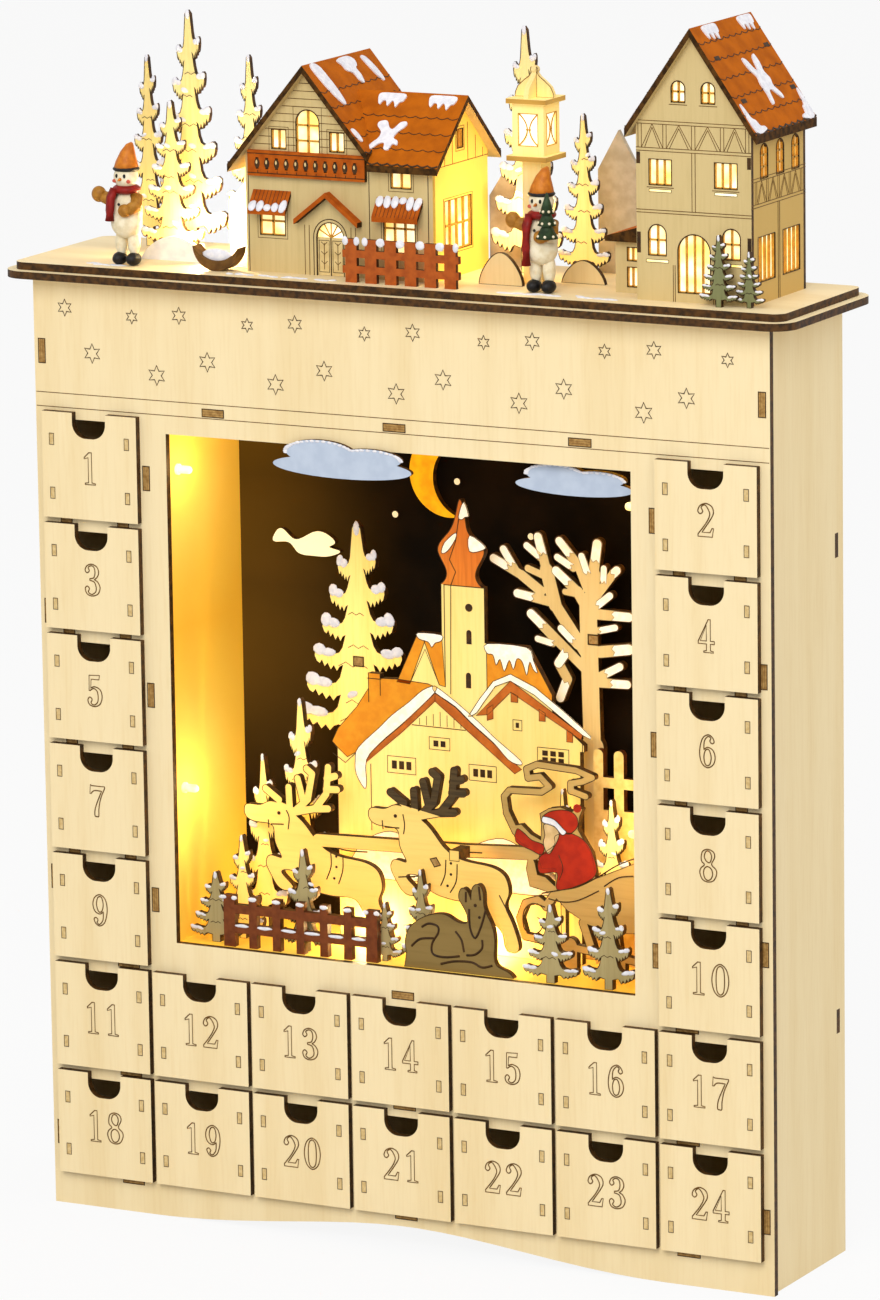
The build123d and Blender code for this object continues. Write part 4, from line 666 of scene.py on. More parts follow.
# Node tree: an outlined star on each point
starGrowth = Growth("star_growth", {"Inner": "Float", "Line": "Float", "Paint": "Material"})
starCurve = starGrowth.node(
    "CurveStar", {},
    {"Points": frontSet["starPoints"], "Inner Radius": starGrowth.input("Inner"), "Outer Radius": 1.0,
     "Twist": 0.0},
)
starTurn = (math.pi / 2, math.radians(frontSet["starTurn"]), 0.0)
upright = starGrowth.node("Transform", {}, {"Geometry": starCurve, "Rotation": starTurn})
radius = starGrowth.node("InputNamedAttribute", {"data_type": "FLOAT"}, {"Name": "radius"})
placed = starGrowth.node(
    "InstanceOnPoints", {}, {"Points": starGrowth.shape, "Instance": upright, "Scale": radius},
)
starLines = starGrowth.node("RealizeInstances", {}, {0: placed})
starRing = starGrowth.node(
    "CurvePrimitiveCircle", {}, {"Resolution": 4, "Radius": starGrowth.input("Line")},
)
starWire = starGrowth.node("CurveToMesh", {}, {"Curve": starLines, "Profile Curve": starRing})
starGrowth.finish(starWire, starGrowth.input("Paint"))

starSpots = []
starSizes = []
for first, height, count, step, radiusMm in frontSet["starRows"]:
    for index in range(count):
        starSpots.append(frontFace.at((first + index * step) * mm, height * mm))
        starSizes.append(radiusMm * mm)
starMesh = bpy.data.meshes.new("stars")
starMesh.from_pydata(starSpots, [], [])
starMesh.attributes.new("radius", "FLOAT", "POINT").data.foreach_set("value", starSizes)
starValues = {"Inner": frontSet["starInner"], "Line": frontSet["starLine"] / 2 * mm, "Paint": burntLineAndShade}
grow(starGrowth, starMesh, starValues, "front_stars", "cabinet")
print("front engraving: lines and", len(starSpots), "stars")

# Drawers: pale sheets, browned cut edges and an outlined number on each face
drawerSet = {
    "count": 24, "seat": 14.5, "pitch": 44.7, "rim": 8, "face": -32.6, "digitHeight": 12.8, "digitStep": 9.2,
    "digitRise": 20.6, "line": 0.52, "oneDigit": 7.2, "tenonArea": 20, "tenonLine": 0.42, "tenonHigh": 0.03,
    "slack": 0.01,
}


def drawerFaces(paint):
    inFace = paint.y < drawerSet["face"] * mm
    level = (paint.z - drawerSet["seat"] * mm).maths("MODULO", drawerSet["pitch"] * mm)
    rim = (paint.nz > 0.9) * (level > drawerSet["rim"] * mm)
    return inFace * faceY(paint) + (1 - inFace) * (1 - rim)


# Outlines of the digits on a height of 100, where a third value of 1 marks a corner
digitLoops = {
    "1": [[(10, 84, 1), (27, 100, 1), (36, 100, 1), (36, 6, 1), (48, 4, 1), (48, 0, 1), (12, 0, 1), (12, 4, 1),
           (24, 6, 1), (24, 84, 1), (10, 80, 1)]],
    "2": [[(3, 0, 1), (3, 7, 1), (26, 36), (39, 58), (41, 74), (27, 95), (14, 88), (19, 76), (11, 68), (3, 76),
           (10, 92), (29, 100), (48, 92), (54, 74), (45, 54), (16, 13, 1), (42, 13, 1), (49, 26, 1),
           (54, 26, 1),
           (50, 0, 1)]],
    "3": [[(3, 22), (10, 30), (18, 23), (14, 12), (26, 5), (40, 14), (42, 28), (36, 44), (20, 49, 1), (20, 54, 1),
           (34, 58), (39, 74), (36, 90), (26, 95), (15, 89), (19, 79), (11, 72), (4, 80), (11, 94), (28, 100),
           (46, 92), (52, 75), (46, 60), (36, 52, 1), (48, 45), (56, 28), (48, 8), (27, 0), (9, 6)]],
    "4": [[(34, 100, 1), (41, 100, 1), (41, 35, 1), (54, 35, 1), (54, 26, 1), (41, 26, 1), (41, 6, 1), (50, 4, 1),
           (50, 0, 1), (19, 0, 1), (19, 4, 1), (28, 6, 1), (28, 26, 1), (1, 26, 1), (1, 33, 1)],
          [(28, 82, 1), (28, 35, 1), (8, 35, 1)]],
    "5": [[(9, 98, 1), (46, 100, 1), (44, 86, 1), (16, 86, 1), (14, 58, 1), (29, 63), (48, 54), (54, 32), (46, 9),
           (26, 0), (8, 6), (3, 20), (10, 29), (18, 22), (14, 11), (25, 5), (37, 14), (40, 32), (36, 50),
           (24, 57),
           (12, 50, 1), (8, 50, 1)]],
    "6": [[(51, 80), (44, 94), (30, 100), (12, 86), (3, 48), (9, 14), (28, 0), (47, 10), (54, 32), (47, 54),
           (30, 62), (17, 54, 1), (19, 80), (31, 95), (40, 90), (37, 81), (44, 74)],
          [(41, 31), (36, 51), (29, 56), (21, 50), (17, 31), (21, 11), (29, 6), (37, 12)]],
    "7": [[(2, 72, 1), (4, 100, 1), (9, 97, 1), (55, 97, 1), (55, 92, 1), (40, 58), (33, 25), (32, 2), (25, 0),
           (18, 4), (22, 32), (44, 82, 1), (18, 82), (6, 72, 1)]],
    "8": [[(28, 100), (46, 93), (50, 77), (40, 55), (54, 40), (56, 25), (46, 6), (28, 0), (10, 6), (1, 25),
           (4, 40), (16, 52), (7, 62), (6, 77), (11, 93)],
          [(40, 77), (36, 90), (28, 95), (20, 91), (16, 77), (22, 64), (34, 60)],
          [(43, 26), (38, 41), (26, 47), (16, 40), (13, 26), (18, 10), (28, 5), (38, 11)]],
    "0": [[(58, 50), (50, 85), (30, 100), (10, 85), (2, 50), (10, 15), (30, 0), (50, 15)],
          [(44, 50), (41, 83), (30, 94), (19, 83), (16, 50), (19, 17), (30, 6), (41, 17)]],
}
digitLoops["9"] = [
    [(57 - point[0], 100 - point[1], *point[2:]) for point in loop] for loop in digitLoops["6"]
]

drawerPaint = plyPaint("drawer_ply", "z", drawerFaces)
tenonEnd = plainPaint("tenon_end", tint(186, 146, 84), tint(146, 106, 52), scale=700)
paleEndAndHighlight = plainPaint("tenon_pale", tint(226, 198, 142), tint(200, 168, 108), scale=700)
for number in range(1, drawerSet["count"] + 1):
    body = "drawer_%02d" % number
    setPaint(body, drawerPaint)
    low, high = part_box(body)
    face = Face(front, -low[1])
    unit = drawerSet["digitHeight"] / 100 * mm
    digits = str(number)
    span = drawerSet["digitStep"] * (len(digits) - 1) + drawerSet["oneDigit"]
    middle = (low[0] + high[0]) / 2
    for place, digit in enumerate(digits):
        left = middle + (place * drawerSet["digitStep"] - span / 2) * mm
        base = low[2] + drawerSet["digitRise"] * mm - 50 * unit
        for loop in digitLoops[digit]:
            outline = smoothLoop([(*point, 0)[:3] for point in loop])
            points = [face.at(left + a * unit, base + b * unit) for a, b in outline]
            etch(points, closed=True, width=drawerSet["line"], body=body)
    for plane, loops in flatFaces(body, front, weld=False):
        isTenon = abs(loopArea(loops[0])) < drawerSet["tenonArea"] * mm * mm
        if isTenon and plane.level > -low[1] - drawerSet["slack"] * mm:
            end = rectangle(*bounds2(loops[0]))
            rim(plane, end, drawerSet["tenonLine"], body=body)
            lay("drawer_ply", plane, end, paleEndAndHighlight, high=drawerSet["tenonHigh"], body=body)

# Tenon ends of the shelves, walls and dividers, flush in the front panel, each with its inner ply showing
tenonSet = {
    "nodes": ("side_panels", "row_shelves", "ceiling_board", "column_dividers", "column_shelves",
              "row_partitions"),
    "slack": 0.6, "line": 0.6, "high": 0.05, "plies": (0.33, 0.66), "plyLine": 0.22,
}
tenonCount = 0
for node in tenonSet["nodes"]:
    for plane, loops in flatFaces(node, front):
        if abs(plane.level - frontFace.level) < tenonSet["slack"] * mm:
            x0, z0, x1, z1 = bounds2(loops[0])
            rim(frontFace, rectangle(x0, z0, x1, z1), tenonSet["line"])
            lay("birch_ply", frontFace, rectangle(x0, z0, x1, z1), tenonEnd, high=tenonSet["high"])
            for share in tenonSet["plies"]:
                if x1 - x0 > z1 - z0:
                    level = z0 + share * (z1 - z0)
                    line = [(x0, level), (x1, level)]
                else:
                    level = x0 + share * (x1 - x0)
                    line = [(level, z0), (level, z1)]
                etch(onFace(frontFace, line), width=tenonSet["plyLine"])
            tenonCount += 1
print("drawers numbered,", tenonCount, "tenon ends on the front")

# Bulbs: small warm lights where the bulbs sit
lampSet = {
    "tone": (1.0, 0.79, 0.40), "radius": 4.0,
    "spots": (    # place in millimetres, then power in watts
        (-88, -22, 174.8, 0.022), (-90, -22, 303, 0.014), (92, -18, 174.8, 0.03),
        (92, -18, 303, 0.015), (-30, -4, 120, 0.09), (24.9, -4, 120, 0.09),
        (-62, 2, 140, 0.05), (60, 4, 140, 0.03),
        (-99.8, -2, 394, 0.16), (-42.2, -4, 394, 0.12), (-8, 2, 410, 0.08),
        (125, -4, 396, 0.12), (125, 4, 436, 0.06), (48.3, -4, 444, 0.05), (34, 6, 410, 0.03),
    ),
}
for index, (x, y, z, power) in enumerate(lampSet["spots"]):
    lamp = bpy.data.lights.new("bulb_light_%02d" % index, "POINT")
    lamp.energy = power
    lamp.color = lampSet["tone"]
    lamp.shadow_soft_size = lampSet["radius"] * mm
    holder = bpy.data.objects.new(lamp.name, lamp)
    holder.location = (x * mm, y * mm, z * mm)
    scene.collection.objects.link(holder)


# How strongly the painted bulb light falls on a place, from 0 to 1, by its distance to the nearest of some spots
def warmth(paint, spots, reach):
    share = paint.near([part * mm for part in spots[0]], reach * mm)
    for spot in spots[1:]:
        share = share.maths("MAXIMUM", paint.near([part * mm for part in spot], reach * mm))
    return share


# Lining and night sky, with painted bulb light
# The lining's amber, gold and white are painted bulb light; the sky's gold is a painted glow near the left wall
liningSet = {
    "spots": ((-101.4, -24, 174.8), (-101.4, -24, 303), (101.4, -24, 174.8), (101.4, -24, 303),
              (-30, -4, 113.2), (24.9, -4, 113.2)),
    "reach": 96, "white": tint(255, 218, 98), "gold": tint(248, 196, 68), "amber": tint(240, 178, 48),
    "skySpots": ((-108, 26, 316), (-108, 26, 270), (-108, 26, 228)), "skyReach": 86, "night": tint(14, 9, 4),
    "dusk": tint(30, 19, 7), "skyGlow": tint(126, 82, 16),
}


# Painted glow: light that the bulbs throw on a face turned to the front, painted as emission
litSet = {
    "spots": ((-64, -6, 128), (-6, -6, 120), (56, -6, 124), (-92, -10, 176), (-46, 4, 194)), "reach": 128,
    "tone": tint(255, 204, 78),
}


def litGlow(paint, share):
    bulbLight = warmth(paint, litSet["spots"], litSet["reach"])
    return paint.mix(bulbLight * faceY(paint) * share, noLight, litSet["tone"])


paint = Paint("gold_lining")
bulbLight = warmth(paint, liningSet["spots"], liningSet["reach"])
grain = paint.noise((1, 1, 1), 60, 3)
# The lining's colour is painted bulb light, amber away from the bulbs and white beside them, and a share of it
# glows as a painted glow
warm = paint.mix(paint.fade(bulbLight, 0.0, 0.55), liningSet["amber"], liningSet["gold"])
liningHotspot = paint.mix(paint.fade(bulbLight, 0.45, 0.95), warm, liningSet["white"])
shade = paint.mix(paint.fade(grain, 0.3, 0.8) * 0.12, liningHotspot, liningSet["amber"])
liningGlow = paint.mix(0.7, shade, noLight)
setPaint("chamber_lining", paint.done(shade, 0.6, bump=grain, depth=0.1, glow=liningGlow))

paint = Paint("night_sky")
bulbLight = warmth(paint, liningSet["skySpots"], liningSet["skyReach"])
cloudy = paint.noise((1, 1, 1), 40, 4)
sky = paint.mix(paint.fade(cloudy, 0.3, 0.75), liningSet["night"], liningSet["dusk"])
# A painted gold glow on the sky near the left wall, where the bulbs light it
glow = paint.mix(bulbLight, noLight, liningSet["skyGlow"])
dimGlow = paint.mix(0.5, glow, noLight)
setPaint("night_sky_backdrop", paint.done(sky, 0.8, shine=0.05, bump=cloudy, depth=0.1, glow=dimGlow))

# Clouds, moon, stars and the small pale cloud
skySet = {
    "cloud": (tint(190, 201, 217), tint(179, 191, 209)), "moon": (tint(250, 190, 12), tint(232, 160, 6)),
    "cream": tint(255, 242, 196), "frontLevel": -20, "moonLevel": 24, "moonLeft": -40, "highlightFrom": 0.62,
    "highlightGap": 4, "highlightDrop": 0.5, "highlightLump": (1, 0.5, 0.25),
}
paint = Paint("sky_pieces")
mottle = mottled(paint, 180)
cloud = paint.mix(mottle, *skySet["cloud"])
moon = paint.mix(mottle, *skySet["moon"])
isMoon = (paint.y < skySet["moonLevel"] * mm) * (paint.x > skySet["moonLeft"] * mm)
rear = paint.mix(isMoon, skySet["cream"], moon)
isCloud = paint.y < skySet["frontLevel"] * mm
faceTone = paint.mix(isCloud, rear, cloud)
colour = paint.mix(faceY(paint), burntEdge(paint), faceTone)
# The clouds' faces carry a painted glow
lit = paint.mix(isCloud, paint.mix(0.6, faceTone, noLight), noLight)
faceGlow = paint.mix(faceY(paint), noLight, lit)
setPaint("sky_pieces", paint.done(colour, 0.6, bump=mottle, depth=0.05, glow=faceGlow))
# White lumps along the top of each of the two clouds: a painted highlight, laid in the snow paint
for plane, loops in flatFaces("sky_pieces", front)[:2]:
    x0, z0, x1, z1 = bounds2(loops[0])
    crest = sorted(point for point in loops[0] if point[1] > z0 + skySet["highlightFrom"] * (z1 - z0))
    for start, end in zip(crest, crest[1:]):
        if math.dist(start, end) < skySet["highlightGap"] * mm:
            middle = [(a + b) / 2 / mm for a, b in zip(start, end)]
            pile(plane, middle[0], middle[1] - skySet["highlightDrop"], *skySet["highlightLump"])

# Village plate: pale walls, orange roofs, snow, windows and lines, in thousandths of the plate
villageSet = {
    "wall": (tint(252, 224, 142), tint(240, 204, 112)), "dome": (tint(224, 118, 36), tint(204, 98, 24)),
    "domeLevel": 260.4, "glow": 0.36,
    "roofs": (
        ((0, 440), (24, 470), (100, 521), (150, 566), (150, 600), (198, 600), (198, 590), (270, 592),
         (388, 588), (416, 583), (268, 513), (177, 463), (102, 423), (60, 408), (20, 428)),
        ((264, 586), (344, 690), (352, 700), (378, 682), (315, 584)),
        ((378, 677), (362, 700), (445, 700), (457, 585), (433, 588)),
        ((622, 690), (781, 690), (878, 589), (876, 567), (787, 604), (720, 623), (622, 582)),
    ),
    "fascias": (
        ((134, 399), (283, 476), (415, 551), (416, 569), (276, 489), (193, 446), (138, 413)),
        ((416, 569), (496, 542), (560, 509), (648, 469), (755, 419), (727, 408), (543, 492), (415, 551)),
        ((715, 612), (577, 528), (625, 533), (715, 587), (989, 497), (996, 508)),
    ),
    "brackets": (
        ((621, 546), (645, 556), (645, 525), (621, 520)), ((826, 556), (850, 548), (850, 530), (826, 530)),
        ((933, 516), (957, 509), (957, 490), (933, 490)), ((716, 587), (743, 580), (743, 566), (716, 566)),
    ),
    "snows": (
        ((416, 585), (367, 573), (310, 543), (244, 512), (190, 480), (106, 432), (93, 404), (96, 372),
         (128, 342), (137, 356), (138, 406), (193, 446), (276, 490), (334, 522), (416, 571)),
        ((416, 585), (497, 555), (592, 513), (656, 481), (752, 439), (747, 429), (703, 438), (648, 471),
         (560, 511), (496, 544), (416, 571)),
        ((352, 699), (444, 699), (444, 686), (420, 680), (406, 670), (392, 681), (356, 686)),
        ((540, 995), (519, 962), (532, 956), (545, 962), (559, 966)),
        ((450, 880), (463, 903), (506, 926), (506, 912), (473, 884)),
        ((562, 923), (622, 902), (608, 892), (561, 888)),
        ((625, 689), (780, 689), (806, 663), (822, 636), (806, 642), (792, 658), (780, 628), (764, 656),
         (742, 662), (728, 638), (712, 658), (692, 632), (676, 658), (660, 644), (648, 666), (625, 668)),
        ((716, 627), (557, 534), (581, 535), (715, 612), (996, 508), (998, 522)),
        ((80, 150), (90, 200), (150, 235), (230, 252), (300, 240), (360, 215), (380, 150)),
        ((500, 150), (520, 215), (590, 248), (680, 262), (760, 246), (830, 250), (900, 215), (910, 150)),
    ),
    "windows": (    # two corners and the number of panes
        (221, 383, 334, 420, 3, 1), (389, 444, 471, 471, 2, 1), (546, 384, 654, 419, 3, 1),
        (722, 504, 757, 527, 1, 1), (817, 434, 940, 472, 3, 2),
    ),
    "lines": (
        ((321, 494), (535, 493)), ((484, 810), (478, 570)), ((455, 810), (620, 810)),
        ((484, 810), (504, 840), (480, 866), (505, 907), (519, 957)), ((994, 499), (994, 250)),
        ((154, 398), (154, 250)), ((315, 584), (378, 664), (433, 588)), ((625, 581), (557, 534)),
        ((622, 582), (622, 810)), ((457, 585), (457, 810)),
        ((2, 414), (52, 395), (102, 423), (177, 463), (268, 513), (416, 585)),
        ((720, 623), (787, 604), (876, 567)), ((150, 535), (150, 600)), ((197, 552), (197, 600)),
        ((145, 588), (202, 588)),
    ),
    "slats": (352, 516, 7, 496, 528), "slatFall": 0.55, "rimLine": 0.3, "line": 0.36, "lineLift": 0.1,
    "frameLine": 0.4, "paneShare": (0.68, 0.76), "paneMargin": (0.9, 0.55),
    "arches": ((553, 684, 20, 31), (549, 587, 20, 34)), "oculus": (554, 764, 1.6),
}
villageFace = Face(front, -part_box("village_plate")[0][1])
# The roof paint and the snow paint of the village carry a painted glow of the bulbs' light, and so does the plate
# through litGlow
roofOrange = plainPaint(
    "roof_orange", tint(232, 152, 32), tint(220, 134, 22), scale=240, glow=tint(76, 42, 4),
)
rustBrown = plainPaint("rust_brown", tint(206, 110, 34), tint(182, 90, 24), scale=240)
litSnow = plainPaint(
    "warm_snow", tint(255, 250, 238), tint(250, 240, 214), rough=0.8, scale=420, glow=tint(120, 104, 70),
)
paint = Paint("village_plate")
wood, fibre = woodFace(paint, "z", *villageSet["wall"])
dome = paint.mix(paint.fade(fibre, 0.3, 0.8), *villageSet["dome"])
tone = paint.mix(paint.z > villageSet["domeLevel"] * mm, wood, dome)
setFigure("village_plate", paint, tone, fibre, litGlow(paint, villageSet["glow"]))
villageCoats = (    # the highest coat comes last
    ("roofs", roofOrange, 0.10), ("fascias", rustBrown, 0.16), ("brackets", rustBrown, 0.22),
    ("snows", litSnow, 0.34),
)
for name, coat, high in villageCoats:
    for shares in villageSet[name]:
        points = spread("village_plate", shares)
        if coat is litSnow:
            points = smoothLoop([(*point, 0) for point in points], 3)
        lay("village_paint", villageFace, points, coat, high=high)
        rim(villageFace, points, villageSet["rimLine"], high)


def villageLine(shares, width, lift=0.0):
    etch(onFace(villageFace, spread("village_plate", shares), lift), paint=burntLineAndShade, width=width)


for shares in villageSet["lines"]:
    villageLine(shares, villageSet["line"], villageSet["lineLift"])
first, last, count, low, high = villageSet["slats"]
for index in range(count):
    u = first + (last - first) * index / (count - 1)
    fall = abs(2 * index / (count - 1) - 1) * villageSet["slatFall"]
    villageLine(((u, low), (u, low + (high - low) * (1 - fall))), villageSet["rimLine"])
for u0, v0, u1, v1, columns, rows in villageSet["windows"]:
    (x0, z0), (x1, z1) = spread("village_plate", ((u0, v0), (u1, v1)))
    rim(villageFace, rectangle(x0, z0, x1, z1), villageSet["frameLine"])
    marginX, marginZ = villageSet["paneMargin"]
    wide, tall = (x1 - x0) / (columns + marginX), (z1 - z0) / (rows + marginZ)
    halfX, halfZ = [share / 2 * size for share, size in zip(villageSet["paneShare"], (wide, tall))]
    for column in range(columns):
        for row in range(rows):
            x = (x0 + x1) / 2 + (column - (columns - 1) / 2) * wide
            z = (z0 + z1) / 2 + (row - (rows - 1) / 2) * tall
            pane = rectangle(x - halfX, z - halfZ, x + halfX, z + halfZ)
            lay("village_paint", villageFace, pane, burntLineAndShade, high=villageSet["lineLift"])
for u, v, wide, tall in villageSet["arches"]:
    (x, z), (xOut, zTop) = spread("village_plate", ((u, v), (u + wide, v + tall)))
    half = (xOut - x) / 2
    bow = arc(x, zTop - half, half, 8)
    lay("village_paint", villageFace, [(x - half, z), (x + half, z), *bow], burntLineAndShade)
u, v, radius = villageSet["oculus"]
(x, z), = spread("village_plate", ((u, v),))
lay("village_paint", villageFace, ellipse(x, z, radius * mm, radius * mm), burntLineAndShade)
print("village painted")

# Bare tree: pale ply with white limb ends, each with its base, end and width in thousandths of the tree

treeSet = {
    "wood": (tint(238, 206, 138), tint(222, 184, 110)), "width": 62, "height": 170.6, "left": 17.3,
    "tipLength": 6.5, "tipShare": 0.86, "tipHigh": 0.3, "tipLine": 0.26, "tipLift": 0.25, "pegLine": 0.8,
    "waves": ((-1, -0.3), (-0.35, 0.9), (0.3, -0.3), (1, 0.9)), "peg": (735, 752, 2.2, 1.9),
    "tips": (
        (410, 905, 355, 980, 70), (460, 830, 205, 845, 65), (235, 888, 40, 922, 65), (190, 900, 110, 945, 60),
        (400, 925, 275, 958, 55), (690, 678, 300, 800, 70), (550, 655, 500, 610, 70),
        (630, 860, 480, 905, 70), (640, 920, 505, 975, 65), (600, 915, 490, 937, 55),
        (740, 905, 770, 975, 75), (710, 895, 660, 944, 55), (880, 910, 905, 918, 65),
        (810, 890, 815, 920, 50), (750, 828, 855, 858, 55), (760, 812, 985, 812, 70),
        (780, 775, 890, 785, 50), (780, 725, 985, 737, 80), (790, 670, 920, 695, 60),
        (780, 653, 970, 655, 65), (450, 735, 345, 743, 50), (540, 715, 490, 690, 70),
        (620, 735, 510, 772, 55),
    ),
}
setPaint("bare_tree", plyPaint("tree_ply", "z", faceY, *treeSet["wood"]))
treeFace = Face(front, -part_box("bare_tree")[0][1])
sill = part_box("bare_tree")[0][2]


def treeSpot(u, v):
    return Vector((treeSet["left"] + u / 1000 * treeSet["width"], v / 1000 * treeSet["height"]))


for u0, v0, u1, v1, width in treeSet["tips"]:
    base, end = treeSpot(u0, v0), treeSpot(u1, v1)
    along = (base - end).normalized()
    half = width / 1000 * treeSet["width"] / 2 * treeSet["tipShare"]
    tilt = math.atan2(-along.y, -along.x)
    turns = [tilt + math.pi * (step / 8 - 0.5) for step in range(9)]
    cap = [end + half * Vector((math.cos(turn), math.sin(turn))) for turn in turns]
    foot = end + along * min(treeSet["tipLength"], (base - end).length)
    side = Vector((-along.y, along.x)) * half
    wave = [foot + side * share + along * rise for share, rise in treeSet["waves"]]
    points = [(point.x * mm, point.y * mm + sill) for point in (*cap, *wave)]
    lay("figure_ply", treeFace, points, litSnow, high=treeSet["tipHigh"])
    rim(treeFace, points, treeSet["tipLine"], treeSet["tipLift"], paint=engraved)


# The end of a peg that comes through a flat figure, in millimetres
def pegEnd(slot, face, x, z, wide, tall, line):
    points = metres(rectangle(x - wide, z - tall, x + wide, z + tall))
    lay(slot, face, points, tenonEnd)
    rim(face, points, line, 0.1)


u, v, wide, tall = treeSet["peg"]
pegSpot = treeSpot(u, v)
pegEnd("figure_ply", treeFace, pegSpot.x, pegSpot.y + sill / mm, wide, tall, treeSet["pegLine"])


# Where a level line crosses an outline
def crossings(points, level):
    found = []
    for (x0, y0), (x1, y1) in zip(points, points[1:] + points[:1]):
        if (y0 > level) != (y1 > level):
            found.append(x0 + (level - y0) / (y1 - y0) * (x1 - x0))
    return sorted(found)


# Outermost points of each branch row
def branchTips(points):
    x0, z0, x1, z1 = bounds2(points)
    middle = max(points, key=lambda point: point[1])[0]
    count = len(points)
    tips = []
    for index, (x, z) in enumerate(points):
        out = abs(x - middle)
        shifts = [shift for shift in range(-firDress["tipSpan"], firDress["tipSpan"] + 1) if shift]
        near = [abs(points[(index + shift) % count][0] - middle) for shift in shifts]
        isHigh = z > z0 + firDress["tipFloor"] * (z1 - z0)
        if out > max(near) and out > firDress["tipReach"] * (x1 - x0) and isHigh:
            tips.append((x, z, 1 if x > middle else -1))
    return tips, middle


firDress = {
    # shares: way out, rise, length and height
    "lumps": ((0.88, 0.12, 0.13, 0.10), (0.68, 0.08, 0.16, 0.07)), "lumpLeast": (0.35, 0.2),
    "lumpTurn": (-0.1, 0.3), "thick": 0.4, "topLump": (0.62, 1.3), "topDrop": 1.1, "blob": (0.5, 0.034),
    "rowStep": 17, "rowShares": (0.16, 0.66), "line": 0.3, "zigzag": 0.28, "reach": (0.12, 0.3),
    "looseShare": 0.6, "looseLump": (1.1, 0.6), "looseRise": 1.6, "looseThick": 0.35, "looseTurn": 0.5,
    "tipReach": 0.10, "tipFloor": 0.04, "tipSpan": 5,
}


# Snow on the branch ends and zigzag engraving on a flat fir
def dressFir(plane, points, rand):
    x0, z0, x1, z1 = bounds2(points)
    wide, tall = (x1 - x0) / mm, (z1 - z0) / mm
    tips, middle = branchTips(points)
    least, growth = firDress["blob"]
    blob = least + growth * wide
    drop = tall / (len(tips) / 2 + 1)
    leastLong, leastTall = firDress["lumpLeast"]
    for x, z, side in tips:
        out = abs(x - middle) / mm
        for along, rise, share, thin in firDress["lumps"]:
            lumpTall = thin * drop * rand.uniform(0.8, 1.2) + leastTall
            turn = side * rand.uniform(*firDress["lumpTurn"])
            pile(plane, middle / mm + side * along * out, z / mm + rise * drop, share * out + leastLong,
                 lumpTall, thick=firDress["thick"], turn=turn)
    topWide, topTall = [share * blob for share in firDress["topLump"]]
    pile(plane, middle / mm, z1 / mm - firDress["topDrop"] * blob, topWide, topTall, thick=firDress["thick"])
    rows = max(2, round(tall / firDress["rowStep"]))
    lowShare, spanShare = firDress["rowShares"]
    for row in range(rows):
        level = z0 + (z1 - z0) * (lowShare + spanShare * (row + rand.random() * 0.5) / rows)
        span = crossings(points, level)
        if len(span) >= 2:
            firShare, rowShare = firDress["reach"]
            reach = min(firShare * wide, (span[-1] - span[0]) / mm * rowShare)
            centre = (span[0] + span[-1]) / 2 / mm + rand.uniform(-0.4, 0.4) * reach
            marks = [
                (centre + reach * (step / 2 - 1), level / mm + (firDress["zigzag"] * reach if step % 2 else 0))
                for step in range(5)
            ]
            etch(onFace(plane, metres(marks)), paint=burntLineAndShade, width=firDress["line"])
            if rand.random() < firDress["looseShare"]:
                x = centre + rand.uniform(-1, 1) * reach
                looseWide, looseTall = [share * blob for share in firDress["looseLump"]]
                turn = rand.uniform(-firDress["looseTurn"], firDress["looseTurn"])
                pile(plane, x, level / mm + firDress["looseRise"] * blob, looseWide, looseTall,
                     thick=firDress["looseThick"], turn=turn)


firSet = {
    "gold": (tint(246, 220, 138), tint(226, 188, 92)), "olive": (tint(176, 158, 108), tint(148, 128, 78)),
    "frontLevel": -20, "seed": 11, "peg": (-41, 224, 2.2, 1.9), "pegLine": 0.7, "glow": 0.6,
}
paint = Paint("window_firs")
isFront = paint.y < firSet["frontLevel"] * mm
goldWood, fibre = woodFace(paint, "z", *firSet["gold"])
oliveWood = woodFace(paint, "z", *firSet["olive"])[0]
tone = paint.mix(isFront, goldWood, oliveWood)
setFigure("window_firs", paint, tone, fibre, litGlow(paint, firSet["glow"] * (1 - isFront)))
rand = random.Random(firSet["seed"])
windowFirs = flatFaces("window_firs", front)
for plane, loops in windowFirs:
    dressFir(plane, loops[0], rand)
pegEnd("fir_wood", windowFirs[0][0], *firSet["peg"], firSet["pegLine"])
print("tree and firs dressed")

